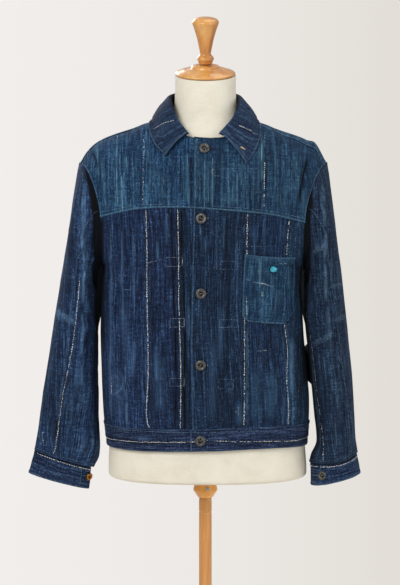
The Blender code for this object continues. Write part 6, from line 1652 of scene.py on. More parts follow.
# ------------------------------------------------------------------ collar
def clear_of(tree, points, distance, hub):
    """Moves points out until each lies a distance off the bed."""
    out = points.copy()
    flat = out.reshape(-1, 3)
    d = np.broadcast_to(distance, out.shape[:-1]).reshape(-1)
    for k in range(len(flat)):
        p = Vector(flat[k])
        for _ in range(4):
            at, n, _, _ = tree.find_nearest(p)
            if n.dot(at - hub) < 0:
                n = -n
            off = (p - at).dot(n)
            if off >= d[k] or (p - at).length > 0.03:
                break
            p = p + n * (d[k] - off + 0.00002)
        flat[k] = p
    return flat.reshape(points.shape)


def collar_rows(s):
    """Sewn line, fold and outer edge at stations from -1 (right end) to 1 (left end)."""
    keyed = [(k / (len(COLLAR) - 1), *row) for k, row in enumerate(COLLAR)]
    side, q = np.where(s < 0, -1.0, 1.0), np.abs(s)
    v = read(keyed, q)
    sewn, fold, edge = v[..., 1:4].copy(), v[..., 4:7].copy(), v[..., 7:10].copy()
    left = side > 0
    edge[..., 2] -= np.where(left, LEFT_TIP_DROP * smooth((q - 0.6) / 0.4), 0.0)
    edge[..., 2] += np.where(left, 0.0, 0.0040 * smooth((q - 0.8) / 0.2))
    for p in (sewn, fold):
        p[..., 0] -= np.where(left, 0.006 * smooth((q - 0.7) / 0.3), 0.0)
    beside = np.where(left, smooth(q / 0.25) * smooth((0.85 - q) / 0.3), 0.0)
    fold[..., 0] -= 0.0030 * beside
    edge[..., 0] -= 0.0035 * beside
    for p in (sewn, fold, edge):
        p[..., 0] *= side
    return sewn, fold, edge, q


TRUNK = Vector((0.0, 0.0, 1.36))
COLLAR_S = np.concatenate((np.linspace(-1, -0.55, 52, endpoint=False), np.linspace(-0.55, 0.55, 76, endpoint=False),
                           np.linspace(0.55, 1, 53)))


def collar_stand():
    s = COLLAR_S
    sewn, fold, edge, q = collar_rows(s)
    base = clear_of(YOKE_TREE, sewn + unit(fold - sewn) * 0.0006, 0.0012, TRUNK)
    late = smooth((q - 0.45) / 0.3)[:, None]
    away = edge - fold
    flat = unit(np.stack((away[:, 0], away[:, 1], np.zeros(len(s))), -1))
    up = np.array((0, 0, 1.0))
    top = fold - up * (0.0004 + 0.0012 * late) - flat * (0.0004 + 0.0010 * late)
    low = (np.linalg.norm(top - base, axis=1) < 0.004) | (top[:, 2] < base[:, 2] + 0.003)
    top = np.where(low[:, None], base + up * 0.0035, top)
    ny = 16
    r = np.linspace(0, 1, ny)[:, None, None]
    p = base[None] + (top - base)[None] * r
    hub = np.array((0, 0, 1.0)) * p + np.zeros(3)
    normal = outward(p, hub)
    e = Edges(p)
    tall = np.linalg.norm(top - base, axis=1)[None, :]
    lift = 0.0008 * np.sin(np.pi * r[..., 0]) * smooth(tall / 0.03) + 0.0003 * ripple(s[None] * 22, r[..., 0] * 3, 161)
    light = 0.4 * np.exp(-((e.low - 0.003) / 0.0012) ** 2)
    shaded = 0.35 * near(e.low, 0.003) + 0.85 * (smooth((q - 0.20) / 0.08) * smooth((0.80 - q) / 0.08))[None, :]
    marks = np.stack((light, np.clip(shaded, 0, 1), np.zeros(light.shape)), -1)
    return shell("collar_stand", p, lift, normal, MAT["collar"], marks, seed=162, uv_turn=True)


# Collar lines: station and share across of both ends; a station counts as a fifth of a metre,
# the whole fall as 0.06 m.
COLLAR_LIGHT = []
COLLAR_CREASES = [(-0.80, 0.20, -0.86, 0.95, 0.006, 0.0011, 0.002), (-0.66, 0.15, -0.70, 0.90, 0.007, -0.0010, 0.002),
                  (0.78, 0.20, 0.85, 0.95, 0.006, 0.0011, 0.002), (0.66, 0.20, 0.70, 0.90, 0.007, -0.0009, 0.002),
                  (-0.42, 0.25, -0.46, 0.95, 0.008, 0.0010, 0.0), (0.42, 0.25, 0.46, 0.95, 0.008, 0.0010, 0.0),
                  (-0.16, 0.25, -0.14, 0.95, 0.009, -0.0009, 0.0), (0.18, 0.25, 0.16, 0.95, 0.009, -0.0008, 0.0),
                  (0.02, 0.25, 0.02, 0.95, 0.010, 0.0008, 0.0), (-0.94, 0.35, -0.90, 0.98, 0.005, -0.0008, 0.0),
                  (0.94, 0.35, 0.90, 0.98, 0.005, -0.0008, 0.0)]


def collar_fall():
    s = COLLAR_S
    sewn, fold, edge, q = collar_rows(s)
    away = edge - fold
    flat = unit(np.stack((away[:, 0], away[:, 1], np.zeros(len(s))), -1))
    up = np.array((0, 0, 1.0))
    roll = [(-0.0019, -0.0018), (-0.0018, -0.0002), (-0.0012, 0.0010), (-0.0002, 0.0016), (0.0012, 0.0017), (0.0030, 0.0013),
            (0.0048, 0.0006)]
    rows = [fold + flat * f + up * z for f, z in roll]
    for t in np.linspace(0, 1, 40)[1:]:
        rows.append((fold + flat * 0.0048) * (1 - t) + edge * t + (flat * 0.0022 + up * 0.0010) * math.sin(math.pi * t))
    p = np.stack(rows)
    n_roll = len(roll)
    share = np.concatenate((np.zeros(n_roll), np.linspace(0, 1, 40)[1:]))
    keep = np.where(share > 0.02, 0.0021, 0.0)
    body = p[4:]
    p[4:] = clear_of(YOKE_TREE, body, 0.0021 + 0.0006 * (1 - share[4:, None]), TRUNK)
    for _ in range(2):
        p[5:-1] = (p[4:-2] + 2 * p[5:-1] + p[6:]) / 4
    normal = outward(p, np.array((0.0, 0.0, 1.44)))
    e = Edges(p)
    place = s[None, :] * 0.2 * np.ones((len(p), 1))
    down = share[:, None] * 0.06 * np.ones((1, len(s)))
    free = np.minimum(np.minimum(e.left, e.right), e.top)
    soft = smooth(share / 0.3)[:, None]
    table = [(a * 0.2, b * 0.06, c * 0.2, d * 0.06, w, k, bow) for a, b, c, d, w, k, bow in COLLAR_CREASES]
    lift = (strokes(table, place, down) + 0.0007 * ripple(place / 0.022, down / 0.02, 171, 2)) * soft
    lift = np.maximum(lift, -0.0006) - 0.0008 * np.exp(-((free - 0.0052) / 0.0013) ** 2) * soft + 0.0003 * near(free, 0.005)
    thick = HALF + 0.0004 * soft + 0.00035 * near(free, 0.005)
    table = [(a * 0.2, b * 0.06, c * 0.2, d * 0.06, w, k, bow) for a, b, c, d, w, k, bow in COLLAR_LIGHT]
    light = strokes(table, place, down) + 0.55 * near(free, 0.0016) + 0.20 * near(e.low - 0.004, 0.004)
    inner = np.zeros(len(p))
    inner[:6] = (0.95, 0.95, 0.95, 0.90, 0.70, 0.30)
    shaded = inner[:, None] * (smooth((q - 0.20) / 0.08) * smooth((0.84 - q) / 0.10))[None, :]
    marks = np.stack((light * (1 - shaded), shaded, np.zeros(light.shape)), -1)
    along_fold = np.concatenate(([0.0], np.cumsum(np.linalg.norm(np.diff(fold, axis=0), axis=1))))
    run = unit(np.gradient(fold, axis=0))
    over_fold = np.sum((p - fold[None]) * run[None], -1)
    u = along_fold[None, :] + over_fold
    v = np.linalg.norm(p - fold[None] - run[None] * over_fold[..., None], axis=-1)
    return shell("collar_fall", p, lift, normal, MAT["collar"], marks, seed=172, thick=thick, uv=(u, v))


collar_stand()
collar_fall()


# ------------------------------------------------------------------ turned and cast pieces
def facing(normal):
    """Rotation that turns +Z onto a normal, keeping the piece upright."""
    x_axis = Vector((0, 0, 1)).cross(normal)
    x_axis.normalize()
    return Matrix((x_axis, normal.cross(x_axis), normal)).transposed()


def rounded(profile, radius, steps=4):
    """Profile with its inner corners eased."""
    out = [profile[0]]
    for a, b, c in zip(profile, profile[1:], profile[2:]):
        a, b, c = Vector(a), Vector(b), Vector(c)
        d0, d1 = a - b, c - b
        cut = min(radius, d0.length * 0.45, d1.length * 0.45)
        p0, p1 = b + d0.normalized() * cut, b + d1.normalized() * cut
        for k in range(steps + 1):
            t = k / steps
            q = p0 * (1 - t) ** 2 + b * 2 * t * (1 - t) + p1 * t * t
            out.append((q.x, q.y))
    out.append(profile[-1])
    return out


def turned_faces(profile, steps, verts, faces, turn=None, shift=(0, 0, 0)):
    """Adds a turned form; the profile's ends on the axis become single points."""
    turn = turn or Matrix.Identity(3)
    shift = Vector(shift)
    start, rings = len(verts), []
    for r, z in profile:
        if r < 1e-7:
            verts.append(tuple(turn @ Vector((0, 0, z)) + shift))
            rings.append([len(verts) - 1])
        else:
            ring = []
            for k in range(steps):
                a = 2 * math.pi * k / steps
                verts.append(tuple(turn @ Vector((r * math.cos(a), r * math.sin(a), z)) + shift))
                ring.append(len(verts) - 1)
            rings.append(ring)
    for a, b in zip(rings, rings[1:]):
        for k in range(steps):
            m = (k + 1) % steps
            if len(a) == 1 and len(b) == 1:
                break
            if len(a) == 1:
                faces.append((a[0], b[k], b[m]))
            elif len(b) == 1:
                faces.append((a[k], b[0], a[m]))
            else:
                faces.append((a[k], b[k], b[m], a[m]))


def solid(name, node, verts, faces, mats, which=None, angle=45.0):
    mesh = bpy.data.meshes.new(name)
    mesh.from_pydata(verts, [], faces)
    mesh.validate()
    for m in mats:
        mesh.materials.append(m)
    if which is not None:
        mesh.polygons.foreach_set("material_index", which)
    mesh.shade_smooth()
    mesh.set_sharp_from_angle(angle=math.radians(angle))
    obj = bpy.data.objects.new(name, mesh)
    bpy.context.scene.collection.objects.link(obj)
    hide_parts(node)
    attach(obj, "root")
    return obj


def turned(name, node, profile, steps, mat, at=(0, 0, 0), turn=None, angle=45.0):
    verts, faces = [], []
    turned_faces(profile[::-1] if profile[0][1] > profile[-1][1] else profile, steps, verts, faces)
    obj = solid(name, node, verts, faces, [mat], angle=angle)
    obj.matrix_world = Matrix.Translation(at) @ (turn or Matrix.Identity(3)).to_4x4()
    return obj


def wood(name, dark, middle, light, along, gloss, ring=0.004, seed=0.0):
    """Varnished wood: long grain, a few darker growth lines, thin clear coat."""
    t = Tree(name)
    at = t.place()
    grain = t.noise(at, along, 4.0, 0.6, (seed, 2.0, seed), 0.4)
    broad = t.noise(at, tuple(v * 0.22 for v in along), 2.0, 0.5, (5.0, seed, 1.0), 0.8)
    fibre = t.noise(at, tuple(v * 5.0 for v in along), 2.0, 0.5, (1.0, seed, 9.0))
    value = t.math("ADD", t.math("MULTIPLY", grain, 0.55), t.math("MULTIPLY", broad, 0.45))
    value = t.math("ADD", value, t.math("MULTIPLY", t.math("SUBTRACT", fibre, 0.5), 0.16))
    colour = t.ramp(value, [(0.30, dark), (0.50, middle), (0.72, light)])
    normal = t.bump(fibre, 0.10, 0.0004)
    rough = t.span(grain, 0.3, 0.7, gloss, gloss + 0.12)
    return t.finish(colour, rough, normal, Coat_Weight=0.35, Coat_Roughness=0.12, Specular_IOR_Level=0.45)


def linen():
    t = Tree("stretched_linen")
    at = t.place()
    a = t.noise(at, (1 / 0.0009, 1 / 0.0009, 1 / 0.012), 2.0, 0.5, (3, 1, 0))
    b = t.noise(at, (1 / 0.012, 1 / 0.012, 1 / 0.0009), 2.0, 0.5, (9, 4, 0))
    weave = t.math("ADD", t.math("MULTIPLY", a, 0.5), t.math("MULTIPLY", b, 0.5))
    broad = t.noise(at, (1 / 0.060, 1 / 0.060, 1 / 0.050), 3.0, 0.55, (2, 8, 0))
    value = t.math("ADD", t.math("MULTIPLY", weave, 0.45), t.math("MULTIPLY", broad, 0.55))
    colour = t.ramp(value, [(0.30, lin(214, 207, 190)), (0.50, lin(228, 222, 206)), (0.70, lin(236, 231, 217))])
    return t.finish(colour, 0.88, t.bump(weave, 0.35, 0.0004), Specular_IOR_Level=0.25)


def metal(name, dark, light, rough, scale, low=0.46, high=0.60, metallic=1.0):
    t = Tree(name)
    n = t.noise(t.place(), (scale, scale, scale), 4.0, 0.65, (4, 2, 7))
    colour = t.ramp(n, [(low, dark), (high, light)])
    normal = t.bump(t.noise(t.place(), (scale * 3, scale * 3, scale * 3), 2.0, 0.5), 0.12, 0.0002)
    return t.finish(colour, t.span(n, 0.4, 0.7, rough + 0.14, rough), normal, Metallic=metallic)


def stone_material():
    t = Tree("veined_turquoise")
    at = t.place()
    cloud = t.noise(at, (320, 320, 320), 3.0, 0.6, (1, 2, 3))
    vein = t.math("ABSOLUTE", t.math("SUBTRACT", t.noise(at, (260, 260, 260), 4.0, 0.62, (7, 3, 5), 0.8), 0.5))
    colour = t.ramp(cloud, [(0.34, lin(20, 132, 168)), (0.52, lin(38, 186, 214)), (0.68, lin(120, 226, 236))])
    colour = t.mix(t.span(vein, 0.010, 0.040, 0.85, 0.0), colour, lin(16, 62, 84))
    return t.finish(colour, 0.24, t.bump(vein, 0.15, 0.0004), Specular_IOR_Level=0.5)


HONEY = wood("honey_varnished_wood", lin(172, 104, 42), lin(214, 152, 80), lin(236, 190, 122), (34, 34, 9), 0.20, seed=1.0)
BULB_WOOD = wood("honey_varnished_bulb", lin(194, 116, 40), lin(238, 170, 80), lin(250, 208, 122), (34, 34, 9), 0.20, seed=2.0)
POLE_WOOD = wood("varnished_pole_wood", lin(160, 102, 50), lin(203, 142, 79), lin(230, 177, 108), (60, 60, 3.2), 0.28, seed=4.0)
BASE_WOOD = wood("varnished_foot_wood", lin(146, 88, 46), lin(182, 120, 70), lin(206, 148, 94), (3.4, 22, 22), 0.30, seed=7.0)
LINEN = linen()
OLD_METAL = metal("antiqued_metal", lin(66, 66, 66), lin(134, 132, 128), 0.36, 900)
# near-black metal in the button's open centre, the screw's slot and the cup under the stone: painted shade in these
# hollows
METAL_RECESS_SHADE = metal("metal_recess_painted_shade", lin(14, 14, 15), lin(40, 40, 42), 0.55, 900)
OLD_BRASS = metal("worn_brass", lin(122, 74, 26), lin(208, 150, 78), 0.30, 900)
PIN_METAL = metal("satin_pin_metal", lin(176, 150, 108), lin(232, 214, 178), 0.32, 900)
STEEL = metal("bright_steel", lin(150, 150, 150), lin(205, 205, 205), 0.25, 700)
STONE_LOOK = stone_material()

# ------------------------------------------------------------------ dress form and stand
FORM_HEIGHTS = np.concatenate((np.linspace(0.8440, 0.8540, 9, endpoint=False), np.linspace(0.8540, 1.5850, 120)))


def dress_form():
    """The padded form: smooth all over, with its side and middle seams pressed in a little."""
    steps = 132
    rows = []
    for z, right, left, front, rear, expo in read(FORM, FORM_HEIGHTS):
        a = 2 * np.pi * np.arange(steps) / steps
        cx, sx = signed_power(np.cos(a), 2 / expo), signed_power(np.sin(a), 2 / expo)
        y = sx * np.where(sx > 0, rear, front)
        lean = max(0.0, (z - FORM_SLANT_FROM) / (FORM[-1][0] - FORM_SLANT_FROM))
        x = (left - right) / 2 + (left + right) / 2 * cx
        rows.append(np.stack((x, y, z + y * math.tan(CAP_TILT) * lean), -1))
    p = np.stack(rows)
    out = unit(p - np.array((0, 0, 1.0)) * p[..., 2:3] - np.array((0.0, 0.0, 0.0)))
    # sewn panel lines: front middle, back middle and both sides
    for at in (0.0, 90.0, 180.0, 270.0):
        d = np.mod(np.degrees(2 * np.pi * np.arange(steps) / steps) - at + 180, 360) - 180
        p = p - out * (0.0007 * np.exp(-(d / 1.5) ** 2))[None, :, None] * smooth((1.500 - p[..., 2:3]) / 0.02)
    low, high = p[0], p[-1]
    lid = [low.mean(0) + (low - low.mean(0)) * k for k in (0.93, 0.80, 0.50)]
    hat = [high.mean(0) + (high - high.mean(0)) * k for k in (0.93, 0.6)]
    every = [*lid[::-1], *p, *hat]
    verts = [tuple(v) for row in every for v in row]
    faces = []
    for j in range(len(every) - 1):
        for k in range(steps):
            m = (k + 1) % steps
            faces.append((j * steps + k, j * steps + m, (j + 1) * steps + m, (j + 1) * steps + k))
    verts += [tuple(low.mean(0)), tuple(high.mean(0))]
    n = len(verts)
    last = (len(every) - 1) * steps
    faces += [(n - 2, (k + 1) % steps, k) for k in range(steps)]
    faces += [(n - 1, last + k, last + (k + 1) % steps) for k in range(steps)]
    return solid("form_body", "dress_form", verts, faces, [LINEN], angle=40)


dress_form()
TILT = Matrix.Rotation(CAP_TILT, 3, "X")
CAP_AT = Vector((0.0, 0.0, FORM[-1][0] + 0.0045))
turned("turned_neck_cap", "neck_cap", rounded([
    (0.0, 0.0165), (0.0170, 0.0150), (0.0250, 0.0130), (0.0262, 0.0090), (0.0400, 0.0062), (0.0520, 0.0020),
    (0.0552, -0.0005), (0.0545, -0.0030), (0.0500, -0.0040), (0.0, -0.0040)], 0.0016), 96, HONEY, CAP_AT, TILT, 60)
turned("turned_knob", "neck_cap_knob", rounded([
    (0.0, 0.1030), (0.0120, 0.1022), (0.0205, 0.0995), (0.0244, 0.0955), (0.0246, 0.0920), (0.0205, 0.0810), (0.0150, 0.0620),
    (0.0110, 0.0420), (0.0098, 0.0360), (0.0112, 0.0330), (0.0152, 0.0290), (0.0156, 0.0250), (0.0130, 0.0205),
    (0.0125, 0.0172), (0.0, 0.0172)], 0.0040), 80, HONEY, CAP_AT, TILT, 60)
FORM_LOW = FORM[0][0]
turned("turned_bulb", "pole_bulb", rounded([
    (0.0, FORM_LOW - 0.0004), (0.0170, FORM_LOW - 0.0004), (0.0195, 0.8300), (0.0226, 0.8175), (0.0222, 0.8150), (0.0160, 0.8060),
    (0.0128, 0.8010), (0.0, 0.8010)], 0.0022), 80, BULB_WOOD, angle=60)
turned("turned_pole", "stand_pole", rounded([
    (0.0, 0.8006), (0.0113, 0.8006), (0.0118, 0.7960), (0.0118, 0.7760), (0.0112, 0.7740), (0.0118, 0.7720), (0.0118, 0.0450),
    (0.0112, 0.0404), (0.0, 0.0404)], 0.0006), 64, POLE_WOOD, angle=60)
turned("turned_foot", "stand_base", rounded([
    (0.0, 0.0400), (0.0240, 0.0400), (0.0280, 0.0350), (0.0320, 0.0280), (0.0700, 0.0255), (0.1600, 0.0240), (0.1840, 0.0215),
    (BASE_R, 0.0160), (BASE_R, 0.0050), (0.1860, 0.0), (0.0, 0.0)], 0.0030), 128, BASE_WOOD, angle=60)


def slot_screw():
    """Small domed screw in the bulb, with its slot cut across."""
    n = Vector((0.18, -1.0, 0.25)).normalized()
    verts, faces = [], []
    turned_faces([(0.0, -0.0004), (0.0036, -0.0004), (0.0037, 0.0005), (0.0034, 0.0010), (0.0028, 0.0016), (0.0020, 0.0019),
                  (0.0012, 0.0021), (0.0, 0.0021)], 40, verts, faces)
    which = [0] * len(faces)
    # the slot, in the near-black recess metal: painted shade in the slot
    for x, w in ((0.0, 0.00042),):
        k = len(verts)
        for sx, sy, z in ((-1, -1, 0.0), (1, -1, 0.0), (1, 1, 0.0), (-1, 1, 0.0), (-1, -1, 1), (1, -1, 1), (1, 1, 1), (-1, 1, 1)):
            verts.append((sx * 0.0027, sy * w, 0.0012 + z * 0.00104))
        quads = [(0, 3, 2, 1), (4, 5, 6, 7), (0, 1, 5, 4), (1, 2, 6, 5), (2, 3, 7, 6), (3, 0, 4, 7)]
        faces += [tuple(k + i for i in q) for q in quads]
        which += [1] * 6
    obj = solid("bulb_slot_screw", "bulb_screw", verts, faces, [STEEL, METAL_RECESS_SHADE], which, 50)
    obj.matrix_world = Matrix.Translation(Vector((0.0040, -0.0213, 0.8215)) + n * 0.0005) @ (
        facing(n) @ Matrix.Rotation(math.radians(35), 3, "Z")).to_4x4()


slot_screw()


# ------------------------------------------------------------------ buttons, stone and pin
def button_mesh(radius):
    """Open-centred button: rolled rim, sunk ring round a raised post, two narrow bars across."""
    k = radius / 0.0096
    verts, faces, which = [], [], []

    def put(profile, steps, mat):
        before = len(faces)
        turned_faces([(r * k, z * k) for r, z in profile], steps, verts, faces)
        which.extend([mat] * (len(faces) - before))
    rim = [(0.0034, 0.0006)]
    for i in range(15):
        a = math.pi * (1.0 - i / 14.0)
        rim.append((0.0067 + 0.0029 * math.cos(a), 0.0012 + 0.0026 * math.sin(a) ** 0.85))
    rim += [(0.0092, 0.0004), (0.0070, 0.0000)]
    put(rim[::-1], 56, 0)
    # the floor of the open centre, in the near-black recess metal: painted shade in the opening
    put([(0.0, 0.0), (0.0070, 0.0), (0.0050, 0.0008), (0.0, 0.0009)], 40, 1)
    put([(0.0015, 0.0005), (0.0016, 0.0020), (0.0012, 0.0027), (0.0006, 0.0030), (0.0, 0.0031)], 24, 0)
    # fine turned line on the rim
    put([(0.0074, 0.0034), (0.0077, 0.0038), (0.0080, 0.0035), (0.0078, 0.0031)], 56, 0)
    for x in (-0.0024, 0.0024):
        before = len(faces)
        start = len(verts)
        for j in range(7):
            t = -1 + 2 * j / 6
            y = t * math.sqrt(max(0.0040**2 - x * x, 0)) * 1.05
            z = 0.0015 + 0.0007 * (1 - t * t)
            for dx, dz in ((-0.00055, -0.0004), (0.00055, -0.0004), (0.00055, 0.00025), (0.0, 0.0005), (-0.00055, 0.00025)):
                verts.append(((x + dx) * k, y * k, (z + dz) * k))
        for j in range(6):
            for i in range(5):
                m = (i + 1) % 5
                faces.append((start + j * 5 + i, start + (j + 1) * 5 + i, start + (j + 1) * 5 + m, start + j * 5 + m))
        which.extend([0] * (len(faces) - before))
    return verts, faces, which


def top_hit(tree, x, z, start=-0.5):
    hit, n, _, _ = tree.ray_cast(Vector((x, start, z)), Vector((0, 1, 0)))
    if n.y > 0:
        n = -n
    return hit, n


def flat_spot(tree, x, z, reach=0.008):
    """Place and lean of the cloth under a small piece, from the middle and eight points round it."""
    p, _ = top_hit(tree, x, z)
    ring = [top_hit(tree, x + reach * math.cos(a), z + reach * math.sin(a))[0] for a in np.linspace(0, 2 * math.pi, 9)[:-1]]
    n = Vector((0, 0, 0))
    for a, b in zip(ring, ring[1:] + ring[:1]):
        n += (a - p).cross(b - p)
    n.normalize()
    if n.y > 0:
        n = -n
    return p, n


def place_button(name, node, p, n, radius, mats, turn):
    verts, faces, which = button_mesh(radius)
    obj = solid(name, node, verts, faces, mats, which, 38)
    obj.matrix_world = Matrix.Translation(p) @ (facing(n) @ Matrix.Rotation(math.radians(turn), 3, "Z")).to_4x4()
    return obj


BAND_NAMES = ["waistband_right", "waistband_left"]
FRONT_ALL = tree_of(FRONT_NAMES + YOKE_NAMES + BAND_NAMES)
FALL_TREE = tree_of(["collar_fall"])
POCKET_TREE = tree_of(["chest_pocket"])
for number, ((bx, bz), turn, lean) in enumerate(zip(BUTTONS, (8, -30, 20, 75, -12), (0.02, -0.05, 0.06, -0.03, 0.05)), 1):
    p, n = flat_spot(FRONT_ALL, bx, bz)
    n = (n + Vector((lean, 0, 0.04))).normalized()
    place_button("donut_button_%d" % number, "front_button_%d" % number, p + n * 0.0011, n, BUTTON_R, [OLD_METAL, METAL_RECESS_SHADE],
                 turn)


def stone():
    p, n = flat_spot(POCKET_TREE, *STONE, 0.006)
    verts, faces, which = [], [], []
    half = [s / 2 for s in STONE_SIZE]
    steps = 56
    dome = [(1.0, -0.55), (1.02, -0.30)] + [(math.cos(a), math.sin(a) * 0.98 - 0.05) for a in np.linspace(0.0, math.pi / 2, 14)[1:-1]]
    turned_faces([(0.0, -0.62), *dome, (0.0, 0.95)], steps, verts, faces)
    which += [0] * len(faces)
    before = len(faces)
    # the cup under the stone, in the near-black recess metal: painted shade under the stone
    turned_faces([(0.0, -1.0), (1.06, -1.0), (1.10, -0.72), (1.06, -0.50), (0.98, -0.46)], steps, verts, faces)
    which += [1] * (len(faces) - before)
    out = []
    for x, y, z in verts:
        a = math.atan2(y, x)
        wobble = 1 + 0.045 * math.sin(2 * a + 0.7) + 0.03 * math.sin(3 * a + 2.0)
        out.append((x * half[0] * wobble * 0.95, y * half[1] * wobble * 0.95, z * half[2]))
    obj = solid("turquoise_cabochon", "pocket_stone", out, faces, [STONE_LOOK, METAL_RECESS_SHADE], which, 60)
    obj.matrix_world = Matrix.Translation(p + n * (half[2] + 0.0004)) @ (facing(n) @ Matrix.Rotation(math.radians(-14), 3, "Z")).to_4x4()


stone()


def pin():
    """Plain little bar pin: a rounded bar between two beads."""
    p, n = top_hit(FALL_TREE, *PIN)
    verts, faces, rings = [], [], []
    half, steps = 0.0050, 14
    for j in range(25):
        t = -1 + 2 * j / 24
        bead = 0.25 * math.exp(-((abs(t) - 0.84) / 0.10) ** 2)
        r = (0.72 + bead + 0.20 * math.exp(-(t / 0.20) ** 2)) * math.sqrt(max(1 - abs(t) ** 9, 0.02))
        ring = []
        for i in range(steps):
            a = 2 * math.pi * i / steps
            verts.append((t * half, r * 0.0017 * math.cos(a), r * 0.0007 * math.sin(a)))
            ring.append(len(verts) - 1)
        rings.append(ring)
    for a, b in zip(rings, rings[1:]):
        for i in range(steps):
            m = (i + 1) % steps
            faces.append((a[i], a[m], b[m], b[i]))
    faces += [tuple(reversed(rings[0])), tuple(rings[-1])]
    obj = solid("plain_bar_pin", "collar_pin", verts, faces, [PIN_METAL], angle=60)
    obj.matrix_world = Matrix.Translation(p + n * 0.0010) @ (facing(n) @ Matrix.Rotation(math.radians(-38), 3, "Z")).to_4x4()


pin()


def cuff_spot(side, degrees, share):
    """Place on a cuff at an angle round it and a share of the way down."""
    table = np.array(CUFF_LEFT if side > 0 else CUFF_RIGHT)
    ring = table[0] + (table[2] - table[0]) * share
    row = np.array([0.0, *ring, 2.2])
    p, out = ring_point(row, np.float64(degrees), np.float64(0.012))
    name = "cuff_left" if side > 0 else "cuff_right"
    at, n, _, _ = CUFF_TREES[name].find_nearest(Vector(p))
    if n.dot(Vector(out)) < 0:
        n = -n
    return at, n


CUFF_TREES = {name: tree_of([name]) for name in ("cuff_left", "cuff_right")}
p, n = cuff_spot(1, 118.0, 0.50)
place_button("cuff_donut_button", "cuff_button_left", p + n * 0.0009, n, CUFF_BUTTON_R, [OLD_METAL, METAL_RECESS_SHADE], 20)
p, n = cuff_spot(-1, 150.0, 0.36)
n = (n + Vector((0.0, -0.12, -0.22))).normalized()
place_button("cuff_brass_button", "cuff_button_right", p + n * 0.0009, n, CUFF_BUTTON_R * 0.86, [OLD_BRASS, METAL_RECESS_SHADE], 40)


# ------------------------------------------------------------------ threads
def thread_material(name, dark, light, rough=0.8):
    t = Tree(name)
    n = t.noise(t.place(), (1 / 0.0012, 1 / 0.0012, 1 / 0.0012), 2.0, 0.6, (3, 5, 1))
    broad = t.noise(t.place(), (1 / 0.012, 1 / 0.012, 1 / 0.012), 1.0, 0.5, (8, 2, 6))
    value = t.math("ADD", t.math("MULTIPLY", n, 0.6), t.math("MULTIPLY", broad, 0.4))
    return t.finish(t.ramp(value, [(0.34, dark), (0.62, light)]), rough, Specular_IOR_Level=0.25)


THREADS = [thread_material("undyed_selvedge_thread", lin(206, 207, 200), lin(252, 252, 248)),
           thread_material("greyed_thread", lin(112, 126, 134), lin(178, 184, 178)),
           thread_material("pale_blue_thread", lin(84, 114, 142), lin(140, 168, 188)),
           # near-black thread that stands for shade: shadow lines by the selvedges and the band's seam, and the open
           # slits of buttonholes and the eyelet
           thread_material("painted_shadow_thread", lin(14, 16, 24), lin(40, 44, 54)),
           thread_material("dusty_blue_thread", lin(58, 82, 114), lin(92, 120, 150)),
           thread_material("ochre_thread", lin(110, 92, 58), lin(168, 146, 98)),
           thread_material("pale_teal_yarn", lin(62, 100, 120), lin(98, 138, 154)),
           thread_material("faded_teal_yarn", lin(40, 70, 96), lin(66, 102, 128)),
           thread_material("pale_indigo_yarn", lin(56, 78, 108), lin(90, 116, 146)),
           thread_material("faded_indigo_yarn", lin(32, 46, 74), lin(52, 70, 104)),
           thread_material("bleached_teal_yarn", lin(82, 124, 142), lin(132, 172, 184))]


THICKER = 1.28          # the cotton thread is thick and soft


